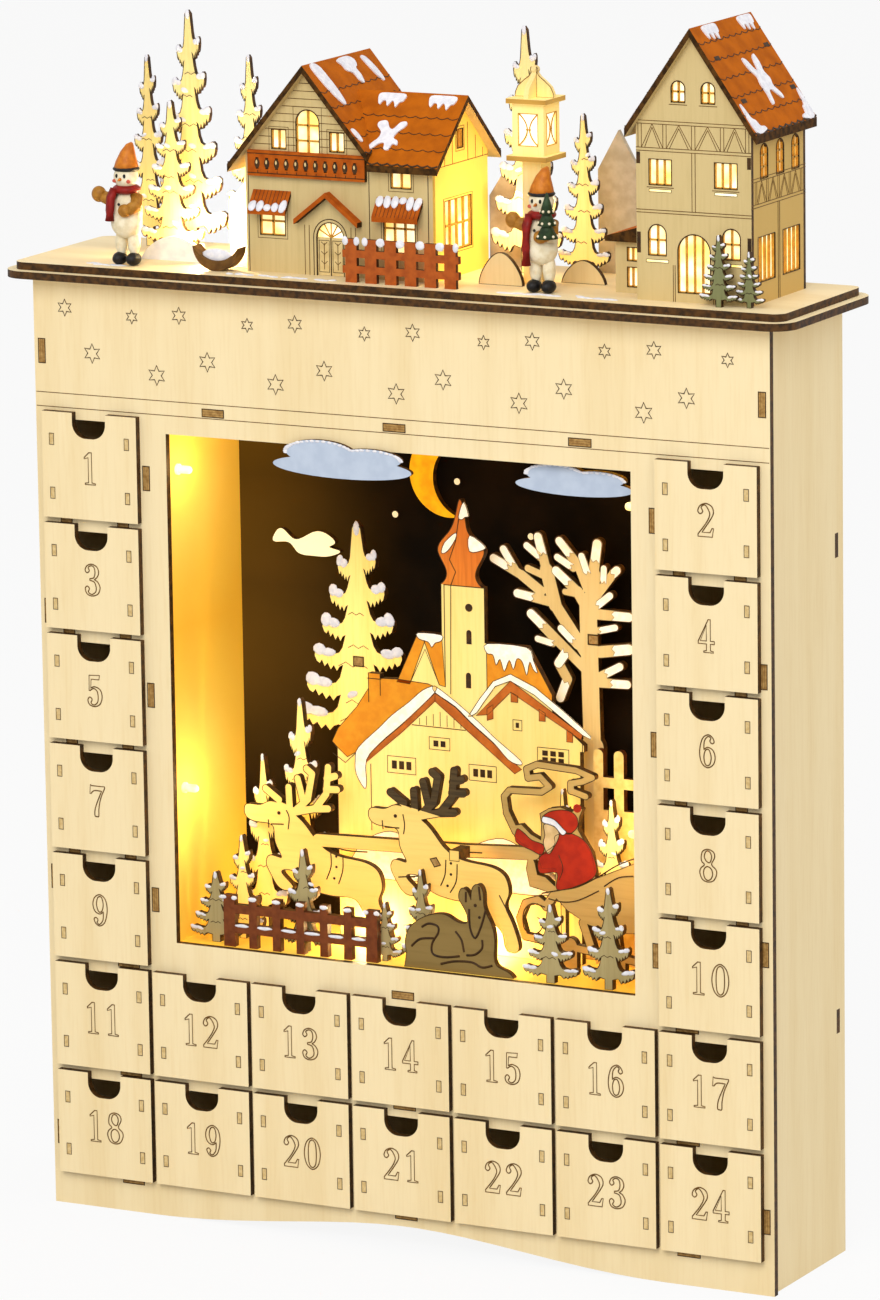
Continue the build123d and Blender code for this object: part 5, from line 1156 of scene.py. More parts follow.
# Reindeer, resting deer and the sleigh with its driver: engraved lines in thousandths of the node's front box
deerSet = {
    "coat": (tint(240, 200, 116), tint(224, 178, 92)), "antler": (tint(86, 66, 36), tint(60, 46, 24)),
    "grey": (tint(140, 114, 62), tint(121, 97, 49)), "restLevel": -22, "glow": 0.32, "frontLine": 0.55,
    "restLine": 0.95, "pegLine": 0.6, "antlerCut": (0.76, -0.175, 0.20), "deerLeft": -21, "deerBase": 121.2,
    "deerWide": 69, "deerTall": 72,
    "frontLines": (
        ((90, 695), (95, 652)), ((106, 662), (202, 665)), ((226, 736), (236, 685), (229, 637)),
        ((502, 530), (495, 455), (466, 397)), ((575, 514), (567, 427), (527, 367)), ((191, 417), (321, 432)),
        ((845, 381), (878, 332), (954, 231)),
    ),
    "frontDots": ((177, 724, 0.75), (535, 515, 0.55), (534, 459, 0.55), (511, 400, 0.55)),
    "pegMark": ((400, 526), (440, 536), (468, 500), (428, 488)),
    "restLines": (
        ((409, 209), (454, 230), (510, 222), (515, 188), (475, 132), (479, 80), (552, 69), (653, 83)),
        ((340, 107), (396, 147), (486, 159)), ((627, 206), (665, 166), (681, 107)),
        ((718, 326), (722, 232), (755, 183), (795, 247), (824, 327)),
        ((799, 178), (798, 135), (753, 100), (697, 91)),
        ((529, 33), (619, 54), (730, 59), (797, 39), (864, 54)), ((698, 411), (697, 359)),
        ((782, 444), (791, 376)),
    ),
    "restDots": ((758, 347, 0.7), (784, 289, 0.6)),
}


# A smooth curve through the points of an open line
def smoothLine(shares):
    if len(shares) < 3:
        return list(shares)
    points = [(*shares[0], 1), *[(*share, 0) for share in shares[1:-1]], (*shares[-1], 1)]
    return smoothLoop(points)[:-1] + [shares[-1]]


def engrave(node, face, group, dots, width):
    for shares in group:
        etch(onFace(face, spread(node, smoothLine(shares))), paint=burntLineAndShade, width=width)
    for u, v, radius in dots:
        (x, z), = spread(node, ((u, v),))
        lay("figure_ply", face, ellipse(x, z, radius * mm, radius * mm, 12), burntLineAndShade)


paint = Paint("deer_figures")
isRest = paint.y < deerSet["restLevel"] * mm
coat, fibre = woodFace(paint, "x", *deerSet["coat"])
grey = woodFace(paint, "x", *deerSet["grey"])[0]
antler = paint.mix(paint.fade(fibre, 0.3, 0.7), *deerSet["antler"])
cut, slope, start = deerSet["antlerCut"]
u = (paint.x - deerSet["deerLeft"] * mm) * (1 / (deerSet["deerWide"] * mm))
v = (paint.z - deerSet["deerBase"] * mm) * (1 / (deerSet["deerTall"] * mm))
isAntler = (v - (u - start) * slope) > cut
tone = paint.mix(isRest, paint.mix(isAntler, coat, antler), grey)
lit = litGlow(paint, deerSet["glow"] * (1 - isRest) * (1 - isAntler))
setFigure("deer_figures", paint, tone, fibre, lit)
deerFaces = sorted(flatFaces("deer_figures", front), key=lambda item: item[0].level)
deerFront, deerRest = deerFaces[0][0], deerFaces[-1][0]
engrave("deer_figures", deerFront, deerSet["frontLines"], deerSet["frontDots"], deerSet["frontLine"])
engrave("deer_figures", deerRest, deerSet["restLines"], deerSet["restDots"], deerSet["restLine"])
mark = spread("deer_figures", deerSet["pegMark"])
lay("figure_ply", deerFront, mark, tenonEnd)
rim(deerFront, mark, deerSet["pegLine"], 0.1)

teamSet = {
    "wood": (tint(236, 196, 112), tint(216, 172, 88)), "sleigh": (tint(194, 158, 92), tint(172, 136, 70)),
    "sleighFrom": 0.62, "blend": 8, "glowBlend": (-20, 4), "glow": (0.04, 0.5), "line": 0.55, "rimLine": 0.34,
    "lines": (
        ((756, 367), (805, 394), (848, 419), (900, 479), (943, 538), (986, 580)),
        ((773, 345), (809, 336), (848, 353), (899, 409)), ((912, 433), (947, 481), (985, 497)),
        ((764, 302), (731, 312), (710, 266), (713, 183), (744, 173), (761, 227), (744, 248)),
        ((516, 521), (608, 531)), ((62, 584), (63, 544)), ((69, 563), (102, 568)),
        ((109, 638), (116, 604), (113, 546)), ((222, 452), (222, 386), (210, 321)),
        ((253, 445), (252, 374), (241, 305)), ((239, 478), (274, 472), (316, 476)), ((394, 370), (436, 379)),
        ((757, 553), (780, 575), (789, 605)), ((800, 560), (810, 500), (800, 440)),
    ),
    "dots": ((90, 621, 0.75), (236, 438, 0.55), (236, 387, 0.55), (230, 330, 0.55), (776, 676, 0.55)),
    "red": (
        ((794, 395), (795, 474), (752, 465), (752, 540), (789, 605), (792, 651), (828, 671), (867, 638),
         (887, 568), (891, 482), (840, 417)),
        ((757, 553), (733, 569), (694, 602), (696, 664), (712, 652), (733, 619), (763, 600)),
        ((760, 731), (782, 767), (820, 779), (844, 757), (848, 708), (828, 667), (811, 676), (786, 720)),
    ),
    "white": (
        ((760, 731), (766, 739), (790, 729), (811, 692), (820, 674), (809, 659), (790, 696), (762, 709)),
    ),
    "face": (
        ((764, 699), (786, 704), (802, 662), (789, 597), (774, 560), (762, 607), (766, 650)),
    ),
    "bobble": (847, 793, 1.7),
}
paint = Paint("sleigh_team")
# The sleigh end of the plate is toned darker than the team and gets less painted glow: painted shade on the
# sleigh
wood, fibre = woodFace(paint, "x", *teamSet["wood"])
sleigh = woodFace(paint, "x", *teamSet["sleigh"])[0]
teamLow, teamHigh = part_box("sleigh_team")
split = teamLow[0] + teamSet["sleighFrom"] * (teamHigh[0] - teamLow[0])
blend = teamSet["blend"] * mm
tone = paint.mix(paint.fade(paint.x, split - blend, split + blend), wood, sleigh)
left = 1 - paint.fade(paint.x, *[split + shift * mm for shift in teamSet["glowBlend"]])
least, more = teamSet["glow"]
setFigure("sleigh_team", paint, tone, fibre, litGlow(paint, least + more * left))
teamFace = flatFaces("sleigh_team", front)[0][0]
redPaint = plainPaint("red_paint", tint(178, 42, 12), tint(156, 32, 8), scale=260)
tanPaint = plainPaint("tan_paint", tint(226, 194, 142), tint(206, 170, 114), scale=260)
for name, coat, high in (("red", redPaint, 0.12), ("face", tanPaint, 0.16), ("white", snow, 0.3)):
    for shares in teamSet[name]:
        points = smoothLoop([(*point, 0) for point in spread("sleigh_team", shares)], 4)
        lay("figure_ply", teamFace, points, coat, high=high)
        rim(teamFace, points, teamSet["rimLine"], high)
u, v, radius = teamSet["bobble"]
(x, z), = spread("sleigh_team", ((u, v),))
lay("figure_ply", teamFace, ellipse(x, z, radius * mm, radius * mm), redPaint)
engrave("sleigh_team", teamFace, teamSet["lines"], teamSet["dots"], teamSet["line"])
print("deer and sleigh painted")

# Browned rims of the flat figures
rimSet = {
    "nodes": ("village_plate", "bare_tree", "window_firs", "deer_figures", "sleigh_team", "deck_firs"),
    "line": 0.36,
}
for node in rimSet["nodes"]:
    for plane, loops in flatFaces(node, front):
        for loop in loops:
            rim(plane, loop, rimSet["line"])

# Fences: red-brown in front, pale at the back, with snow on the pickets and rails
fenceSet = {
    "red": (tint(122, 60, 22), tint(98, 46, 14)), "deck": (tint(176, 86, 26), tint(150, 68, 18)),
    "pale": (tint(240, 208, 132), tint(224, 184, 104)), "backLevel": 0, "deckLevel": 380,
    "edge": (tint(92, 46, 16), tint(58, 30, 10)), "headBand": 1.6, "headGap": 3.6, "capDrop": 0.9,
    "capLeast": 1.2, "capGrow": 1.1, "capTall": 0.9, "deckCapTall": 1.8, "capThick": 0.55, "railDrop": 0.5,
    "railTall": 0.7, "railThick": 0.35,
}
paint = Paint("picket_fences")
streak = mottled(paint, 320, high=0.75)
isDeck = paint.z > fenceSet["deckLevel"] * mm
isBack = paint.y > fenceSet["backLevel"] * mm
redTone = paint.mix(streak, *fenceSet["red"])
deckTone = paint.mix(streak, *fenceSet["deck"])
paleTone = paint.mix(streak, *fenceSet["pale"])
tone = paint.mix(isBack, paint.mix(isDeck, redTone, deckTone), paleTone)
edge = paint.mix(streak, *fenceSet["edge"])
setPaint("picket_fences", paint.done(paint.mix(faceY(paint), edge, tone), 0.6, bump=streak, depth=0.06))
for plane, loops in flatFaces("picket_fences", front):
    x0, z0, x1, z1 = bounds2(loops[0])
    heads = sorted(x for x, z in loops[0] if z > z1 - fenceSet["headBand"] * mm)
    groups = []
    for x in heads:
        if groups and x - groups[-1][-1] < fenceSet["headGap"] * mm:
            groups[-1].append(x)
        else:
            groups.append([x])
    isFrontRow = plane.level > 0
    onDeck = z1 > fenceSet["deckLevel"] * mm
    capTall = fenceSet["deckCapTall"] if onDeck else fenceSet["capTall"]
    for group in groups:
        middle, half = (group[0] + group[-1]) / 2 / mm, (group[-1] - group[0]) / 2 / mm
        if isFrontRow:
            capWide = max(half, fenceSet["capLeast"]) * fenceSet["capGrow"]
            pile(plane, middle, z1 / mm - fenceSet["capDrop"], capWide, capTall, thick=fenceSet["capThick"])
    for hole in loops[1:]:
        left, base, rightEnd, head = bounds2(hole)
        if isFrontRow and not onDeck:
            pile(plane, (left + rightEnd) / 2 / mm, base / mm - fenceSet["railDrop"],
                 (rightEnd - left) / 2 / mm, fenceSet["railTall"], thick=fenceSet["railThick"])
print("fences painted")

# Houses on the deck: pale walls with lit windows, engraved boards and snowy roofs
houseSet = {
    "wall": (tint(209, 185, 130), tint(191, 166, 109)), "sheet": 2, "glass": tint(255, 250, 212),
    "glassEdge": tint(255, 212, 104), "bar": (tint(214, 160, 66), tint(192, 136, 48)),
    "roof": (tint(188, 98, 10), tint(164, 82, 6)), "trim": (tint(180, 88, 20), tint(156, 70, 12)),
    "paneDepth": 1.3, "paneThick": 0.4, "paneLine": 0.5, "barWidth": 0.7, "barStep": 5, "barRise": 6.4,
    "barSink": 0.25, "barOver": 0.1, "sillShare": 1.4, "jambShare": 1.2, "fanTurns": (36, 72, 108, 144),
    "fanLift": 0.3, "fanLine": 0.6, "line": 0.32, "lift": 0.02, "slack": 0.05, "sideGlow": tint(255, 196, 60),
    "side": tint(204, 166, 90), "sideShadeShare": 0.85, "litTone": tint(250, 196, 80), "litShare": 0.75,
    "climb": (383, 470), "glow": (0.62, 0.35),
}


# Sheets along x show their face to front and back, sheets along y to the sides
def wallFaces(yFront, yRear, xLeft):
    def isFace(paint):
        outer, inner = houseSet["sheet"] + houseSet["slack"], houseSet["sheet"] - houseSet["slack"]
        ends = (paint.y < (yFront + outer) * mm).maths("MAXIMUM", paint.y > (yRear - outer) * mm)
        ends = ends.maths("MAXIMUM", paint.x < xLeft * mm)
        edges = (paint.y < (yFront + inner) * mm).maths("MAXIMUM", paint.y > (yRear - inner) * mm)
        return faceY(paint) * ends + faceX(paint) * (1 - edges)
    return isFace


# Walls beyond glowFrom that look to the right get painted bulb light from below: a lit tone and a glow that fades
# upward; other walls that look to the right get a painted shade, the side tone
def housePaint(name, isFace, glowFrom):
    paint = Paint(name)
    wood, fibre = woodFace(paint, "z", *houseSet["wall"])
    onRight = paint.nx > flatTurn
    lit = (paint.x > glowFrom * mm) * onRight
    tone = paint.mix(lit * houseSet["litShare"], wood, houseSet["litTone"])
    shaded = paint.mix(onRight * (1 - lit) * houseSet["sideShadeShare"], tone, houseSet["side"])
    colour = paint.mix(isFace(paint), burntEdge(paint), shaded)
    climb = paint.fade(paint.z, *[level * mm for level in houseSet["climb"]])
    base, fall = houseSet["glow"]
    glow = paint.mix(lit * (base - fall * climb), noLight, houseSet["sideGlow"])
    return paint.done(colour, grainSet["rough"], bump=fibre, depth=grainSet["depth"], glow=glow)


def glowPaint(name, core, edge, strength):
    paint = Paint(name)
    tone = paint.mix(mottled(paint, 90, 2), core, edge)
    return paint.done(tone, 0.4, glow=paint.mix(1 - strength, tone, noLight))


litGlass = glowPaint("lit_glass", houseSet["glass"], houseSet["glassEdge"], 0.95)
barPaint = plainPaint("window_bar", *houseSet["bar"], scale=500)
setPaint("cottage_walls", housePaint("cottage_walls", wallFaces(-20.494, 27.506, -200), 11.0))
setPaint("tall_house_walls", housePaint("tall_house_walls", wallFaces(-24.496, 23.504, 100.9), 500))


# Segments of a level line that lie on the wall, clear of its openings
def boardLine(loops, level):
    found = sorted(x for loop in loops for x in crossings(loop, level))
    return list(zip(found[::2], found[1::2]))


def addBar(face, x0, y0, x1, y1):
    low = -houseSet["paneDepth"] - houseSet["barOver"]
    lay("house_ply", face, metres(rectangle(x0, y0, x1, y1)), barPaint, high=-houseSet["barSink"], low=low)


def isArched(loop):
    head = boundsMm(loop)[3]
    return len([point for point in loop if abs(point[1] / mm - head) < houseSet["slack"]]) < 2


# A lit pane in an opening, with glazing bars before it and a dark line around it
def addWindow(face, loop, columns=0, rows=0, fan=False):
    x0, y0, x1, y1 = boundsMm(loop)
    depth = houseSet["paneDepth"]
    lay("bulb_lens", face, loop, litGlass, high=-depth, low=-depth - houseSet["paneThick"])
    rim(face, loop, houseSet["paneLine"], houseSet["lift"])
    wide, tall = x1 - x0, y1 - y0
    columns = columns or max(2, round(wide / houseSet["barStep"]))
    rows = rows or max(1, round(tall / houseSet["barRise"]))
    half = houseSet["barWidth"] / 2
    arched = isArched(loop)
    head = y1 - wide / 2 if arched else y1
    for column in range(1, columns):
        x = x0 + wide * column / columns
        lean = abs(2 * column / columns - 1)
        reach = head + math.sqrt(max(0, 1 - lean * lean)) * wide / 2 if arched else y1
        addBar(face, x - half, y0, x + half, head if fan else reach)
    for row in range(1, rows + 1 if arched else rows):
        y = y0 + (head - y0) * row / rows
        addBar(face, x0, y - half, x1, y + half)
    sill, jamb = half * houseSet["sillShare"], half * houseSet["jambShare"]
    addBar(face, x0, y0, x1, y0 + sill)
    addBar(face, x0, y0, x0 + jamb, head)
    addBar(face, x1 - jamb, y0, x1, head)
    if fan:
        addRays(
            face, (x0 + x1) / 2, head, wide / 2, houseSet["fanTurns"], houseSet["fanLine"],
            houseSet["fanLift"] - depth,
        )


# Bars that fan out from the middle of a round head
def addRays(face, x, y, radius, turns, line, lift):
    for turn in turns:
        angle = math.radians(turn)
        end = (x + radius * math.cos(angle), y + radius * math.sin(angle))
        etch(onFace(face, metres(((x, y), end)), lift), paint=barPaint, width=line)


def etchMm(face, points, paint=engraved, width=houseSet["line"], closed=False):
    etch(onFace(face, metres(points), houseSet["lift"]), closed=closed, paint=paint, width=width)


# Cottage walls: engraved boards, and a frame around each window
cottageSet = {
    "middle": -42.24, "half": 27.75, "eave": 46, "boardFrom": 433.5, "boardStep": 3.05, "boards": 9,
    "boardLeast": 1.2, "boardInset": 0.3, "boardLine": 0.3, "upperFrom": 425, "archGrow": (1.16, 1.10),
    "upperFrame": (1.1, 1.1), "lowerFrame": (1, 1.2), "wingLeft": -14.5, "wingRight": 12, "cornerInset": 1.2,
    "wingInset": 2, "cornerLine": 0.36,
}
cottageFront, cottageLoops = flatFaces("cottage_walls", front)[0]
inset = cottageSet["boardInset"] * mm
for index in range(cottageSet["boards"]):
    level = (cottageSet["boardFrom"] + index * cottageSet["boardStep"]) * mm
    for start, end in boardLine(cottageLoops, level):
        if end - start > cottageSet["boardLeast"] * mm:
            line = onFace(cottageFront, [(start + inset, level), (end - inset, level)], houseSet["lift"])
            etch(line, width=cottageSet["boardLine"])
for loop in cottageLoops[1:]:
    addWindow(cottageFront, loop)
    x0, y0, x1, y1 = boundsMm(loop)
    isUpper = y0 > cottageSet["upperFrom"]
    if isUpper and isArched(loop):
        middleX, middleY = (x0 + x1) / 2, (y0 + y1) / 2
        growX, growY = cottageSet["archGrow"]
        window = [
            (middleX + (a / mm - middleX) * growX, middleY + (b / mm - middleY) * growY) for a, b in loop
        ]
    else:
        side, sill = cottageSet["upperFrame" if isUpper else "lowerFrame"]
        window = rectangle(x0 - side, y0 - sill, x1 + side, y1 + side)
    etchMm(cottageFront, window, closed=True)

# Cottage door: a leaf with two engraved panels below a lit fan
doorSet = {
    "middle": -33.08, "wide": 11.93, "tall": 20.9, "leaf": (tint(226, 200, 140), tint(210, 180, 118)),
    "fanSink": 1.2, "leafSink": 0.6, "sink": 1.6, "leafGap": 0.1, "panelHalf": 2.2, "panelFoot": 1.4,
    "panelHead": 1.2, "chevrons": (0.3, 0.55, 0.8), "chevronHalf": 1.3, "chevronRise": 1.2, "stemFoot": 2.4,
    "stemHead": 2.2, "meetLine": 0.5, "rays": (30, 60, 90, 120, 150), "rayLine": 0.55, "raySink": 0.9,
    "bows": (0, 1.3), "bowLine": 0.4, "postOut": 4.2, "postHalf": 1, "postTall": 19.5,
}
middle = doorSet["middle"]
half = doorSet["wide"] / 2
spring = deckHeight + doorSet["tall"] - half
fan = metres(arc(middle, spring, half, 16))
lay("bulb_lens", cottageFront, fan, litGlass, high=-doorSet["fanSink"], low=-doorSet["sink"])
leafPaint = plainPaint("door_leaf", *doorSet["leaf"], scale=300)
leafHalf = half - doorSet["leafGap"]
leaf = metres(rectangle(middle - leafHalf, deckHeight + doorSet["leafGap"], middle + leafHalf, spring))
lay("house_ply", cottageFront, leaf, leafPaint, high=-doorSet["leafSink"], low=-doorSet["sink"])
leafFace = Face(front, cottageFront.level - doorSet["leafSink"] * mm)
for side in (-1, 1):
    x = middle + side * half / 2
    foot, head = deckHeight + doorSet["panelFoot"], spring - doorSet["panelHead"]
    panel = rectangle(x - doorSet["panelHalf"], foot, x + doorSet["panelHalf"], head)
    etchMm(leafFace, panel, closed=True, paint=burntLineAndShade)
    for share in doorSet["chevrons"]:
        y = deckHeight + share * (spring - deckHeight)
        wing, rise = doorSet["chevronHalf"], y + doorSet["chevronRise"]
        etchMm(leafFace, [(x - wing, rise), (x, y), (x + wing, rise)])
    etchMm(leafFace, [(x, deckHeight + doorSet["stemFoot"]), (x, spring - doorSet["stemHead"])])
etchMm(leafFace, [(middle, deckHeight), (middle, spring)], paint=burntLineAndShade, width=doorSet["meetLine"])
addRays(cottageFront, middle, spring, half, doorSet["rays"], doorSet["rayLine"], -doorSet["raySink"])
for margin in doorSet["bows"]:
    reach = half + margin
    bow = [(middle + reach, deckHeight), *arc(middle, spring, reach, 16), (middle - reach, deckHeight)]
    etchMm(cottageFront, bow, paint=burntLineAndShade, width=doorSet["bowLine"])
for x in (middle - half - doorSet["postOut"], middle + half + doorSet["postOut"]):
    for shift in (-doorSet["postHalf"], doorSet["postHalf"]):
        etchMm(cottageFront, [(x + shift, deckHeight), (x + shift, deckHeight + doorSet["postTall"])])
cornerInset = cottageSet["cornerInset"]
corners = (
    cottageSet["middle"] - cottageSet["half"] + cornerInset, cottageSet["wingLeft"] - cornerInset,
    cottageSet["wingRight"] - cottageSet["wingInset"],
)
for x in corners:
    line = [(x, deckHeight), (x, deckHeight + cottageSet["eave"] - 1)]
    etchMm(cottageFront, line, paint=burntLineAndShade, width=cottageSet["cornerLine"])

# Wing wall to the right
wingSet = {
    "level": 11, "broad": 10, "frame": 1, "beamDrop": 2, "postDrop": 2.5,
    "posts": (0.09, 0.22, 0.36, 0.64, 0.78, 0.91),
}
wingFaces = [item for item in flatFaces("cottage_walls", right) if item[0].level > wingSet["level"] * mm]
wingFace, wingLoops = wingFaces[0]
for loop in wingLoops[1:]:
    x0, y0, x1, y1 = boundsMm(loop)
    isBroad = x1 - x0 > wingSet["broad"]
    addWindow(wingFace, loop, columns=4 if isBroad else 2, rows=2 if isBroad else 1)
    frameGap = wingSet["frame"]
    etchMm(wingFace, rectangle(x0 - frameGap, y0 - frameGap, x1 + frameGap, y1 + frameGap), closed=True)
x0, y0, x1, y1 = boundsMm(wingLoops[0])
eave = deckHeight + cottageSet["eave"]
beam = eave - wingSet["beamDrop"]
for share in wingSet["posts"]:
    x = x0 + share * (x1 - x0)
    rise = (y1 - eave) * (1 - abs(2 * share - 1))
    etchMm(wingFace, [(x, beam), (x, eave + rise - wingSet["postDrop"])])
etchMm(wingFace, [(x0, beam), (x1, beam)])

# Trim: balcony strip, awnings with scalloped snow, and the door hood
trimSet = {
    "slotShadeSink": (1.2, 1.9), "shadeDisc": (1.15, 2), "shadeDiscHigh": 0.05, "dot": (0.4, 0.8), "highlightShift": (-0.2, 0.5),
    "highlightHigh": 0.09, "tick": (0.25, 1.6, 0.5), "stripInset": 1.2, "stripLine": 0.36, "seed": 5,
    "slope": (0, -7, 5), "lumpStep": 3.2, "lumpHalf": 1.7, "lumpTall": (1.6, 3.4), "lumpShare": 0.6,
    "lumpTurn": 0.2, "hoodLeft": -40, "tileLine": 0.22,
}
paint = Paint("cottage_trim")
mottle = mottled(paint, 260, high=0.75)
paintedTone = paint.mix(mottle, *houseSet["trim"])
cutEnds = faceX(paint).maths("MAXIMUM", paint.nz < -0.5)
colour = paint.mix(cutEnds, paintedTone, burntEdge(paint))
setPaint("cottage_trim", paint.done(colour, 0.7, bump=mottle, depth=0.06, shine=0.08))
balconyFace, balconyLoops = flatFaces("cottage_trim", front)[0]
shadeDiscSize, highlightSize = [[size * mm for size in trimSet[key]] for key in ("shadeDisc", "dot")]
# Each slot gets a dark plate inside it and a dark disc around it, painted shade of the hole, and a pale dot on
# the disc as a painted highlight
for loop in balconyLoops[1:]:
    x0, y0, x1, y1 = boundsMm(loop)
    sink, deep = trimSet["slotShadeSink"]
    lay("roof_paint", balconyFace, loop, burntLineAndShade, high=-sink, low=-deep)
    x, y = (x0 + x1) / 2 * mm, (y0 + y1) / 2 * mm
    lay("roof_paint", balconyFace, ellipse(x, y, *shadeDiscSize), burntLineAndShade, high=trimSet["shadeDiscHigh"])
    highlightX, highlightY = [shift * mm for shift in trimSet["highlightShift"]]
    lay("roof_paint", balconyFace, ellipse(x + highlightX, y + highlightY, *highlightSize), paleEndAndHighlight, high=trimSet["highlightHigh"])
    tickShift, tickFoot, tickHead = trimSet["tick"]
    tickX = (x0 + x1) / 2 + tickShift
    etchMm(balconyFace, [(tickX, y0 - tickFoot), (tickX, y0 - tickHead)], paint=burntLineAndShade)
x0, y0, x1, y1 = boundsMm(balconyLoops[0])
for y in (y0 + trimSet["stripInset"], y1 - trimSet["stripInset"]):
    etchMm(balconyFace, [(x0, y), (x1, y)], paint=burntLineAndShade, width=trimSet["stripLine"])
rand = random.Random(trimSet["seed"])
for awningFace, loops in flatFaces("cottage_trim", Vector(trimSet["slope"]).normalized(), 0.98)[:2]:
    x0, y0, x1, y1 = boundsMm(loops[0])
    count = round((x1 - x0) / trimSet["lumpStep"])
    for index in range(count):
        x = x0 + (index + 0.5) * (x1 - x0) / count
        drop = rand.uniform(*trimSet["lumpTall"])
        sag = drop * trimSet["lumpShare"]
        level = y1 - sag if x0 > trimSet["hoodLeft"] else y0 + sag
        turn = rand.uniform(-trimSet["lumpTurn"], trimSet["lumpTurn"])
        pile(awningFace, x, level, trimSet["lumpHalf"], drop, turn=turn)
    for index in range(1, 2 * count):
        x = x0 + index * (x1 - x0) / (2 * count)
        etchMm(awningFace, [(x, y0), (x, y1)], paint=burntLineAndShade, width=trimSet["tileLine"])

# Roofs: stained tops with dark edges, wavy rows and patches of snow
for node in ("cottage_roof", "tall_house_roof"):
    paint = Paint(node)
    mottle = mottled(paint, 150, 4, 0.28, 0.75)
    stain = paint.mix(mottle, *houseSet["roof"])
    under = woodFace(paint, "y", *houseSet["wall"])[0]
    edged = paint.mix(paint.nz > 0.3, burntEdge(paint), stain)
    colour = paint.mix(paint.nz < -0.3, edged, under)
    setPaint(node, paint.done(colour, 0.7, bump=mottle, depth=0.08, shine=0.08))


# Scalloped rows across a roof face, from its eave upward, the lowest drawn bold
def shingleRows(face, loops, rows, step, depth):
    x0, y0, x1, y1 = boundsMm(loops[0])
    for row in rows:
        level = y0 + row * (y1 - y0)
        for start, end in boardLine(loops, level * mm):
            count = max(2, round((end - start) / mm / step)) * 4
            line = []
            for index in range(count + 1):
                x = start / mm + (end - start) / mm * index / count
                line.append((x, level - depth * abs(math.sin(math.pi * index / 4))))
            width = roofSet["eaveLine"] if row == rows[0] else roofSet["rowLine"]
            etchMm(face, line, paint=burntLineAndShade, width=width)


# A patch of snow on a roof: its middle as shares of the face's box, its outline in millimetres from there
def patch(face, loops, u, v, outline):
    x0, y0, x1, y1 = boundsMm(loops[0])
    x, y = x0 + u * (x1 - x0), y0 + v * (y1 - y0)
    points = smoothLoop([(x + dx, y + dy, 0) for dx, dy in outline], 4)
    lay("roof_paint", face, metres(points), snow, high=roofSet["snowHigh"])


roofSet = {
    "splat": (
        (-5.5, 6.5), (-2.5, 7), (-0.5, 4), (1.5, 3.2), (3.5, 6.5), (6, 7), (6.3, 5), (4, 2), (3.2, -1),
        (5.5, -2.5), (5.8, -4.5), (3.8, -4.2), (3, -7), (1, -6.8), (0.2, -4), (-2, -4.2), (-4.5, -7),
        (-6, -6.5), (-5, -4), (-3.2, -1.5), (-3.2, 1.5), (-5.8, 4.5),
    ),
    "longSplat": (
        (-7, 9.5), (-4.5, 8.5), (-2.5, 4.5), (-0.5, 3.5), (1.5, 8.8), (4, 10), (4.5, 6), (3.5, 2.5), (5, -1),
        (4, -4), (6.5, -8), (6, -10), (3.5, -8), (1, -5.5), (-1.5, -6), (-3, -10.5), (-5, -11), (-4.5, -6.5),
        (-4.8, -2), (-4, 1), (-6.5, 5),
    ),
    "streaks": (    # place, then outline
        (0.15, 0.75, ((-3.5, 9), (-1, 10.5), (2.5, 8.5), (3.5, 3), (3.8, -2), (3.2, -8), (1.5, -10),
                      (-0.5, -7), (-2.2, -2), (-3.2, 3))),
        (0.58, 0.83, ((-6.5, 5.6), (-2, 6.4), (3, 6.2), (6, 4.2), (5, 1.5), (3, 0.5), (3.2, -3),
                      (1.5, -6.5), (-0.5, -4.5), (-1, -1.5), (-4.5, 0.5), (-5, 3))),
        (0.84, 0.80, ((-2.5, 6), (0.5, 5.5), (2.5, 1), (3.2, -4), (2, -6.5), (0, -4), (-1.5, 0.5))),
        (0.05, 0.20, ((-1.4, 3), (0.8, 2.4), (1.4, -1), (0.4, -3.2), (-1, -1.6))),
    ),
    "drips": (
        (-5.6, 2), (0, 2.4), (5.6, 2), (5.4, -1.2), (4, -2), (3, -4.4), (1.8, -2.2), (0.6, -1.4), (-0.6, -4),
        (-1.8, -1.8), (-3.2, -1.4), (-4.2, -3.4), (-5.4, -1.4),
    ),
    "corner": (
        (-3.8, 8), (-2.6, 7), (-1.6, 2.4), (0.4, 1), (1.6, -1.6), (4.4, -2.2), (4.6, -3.8), (-3.8, -3.8),
    ),
    "rows": (0.02, 0.19, 0.36, 0.53, 0.70, 0.86), "wingRows": (0.03, 0.24, 0.46, 0.68),
    "wingPatches": ((0.44, 0.40, "splat"), (0.34, 0.90, "drips"), (0.80, 0.90, "drips")),
    "tallPatches": ((0.58, 0.44, "longSplat"), (0.27, 0.94, "drips"), (0.84, 0.94, "drips")),
    "cornerPlace": (0.10, 0.10), "marks": ((0.13, 0.30), (0.93, 0.30), (0.13, 0.70), (0.93, 0.70)),
    "markHalf": (2, 0.9), "snowHigh": 0.55, "eaveLine": 0.9, "rowLine": 0.42,
    # run and rise of the normal
    "cottageSlope": (32.9, 27.75), "wingSlope": (21.3, 23), "tallSlope": (34, 24),
}
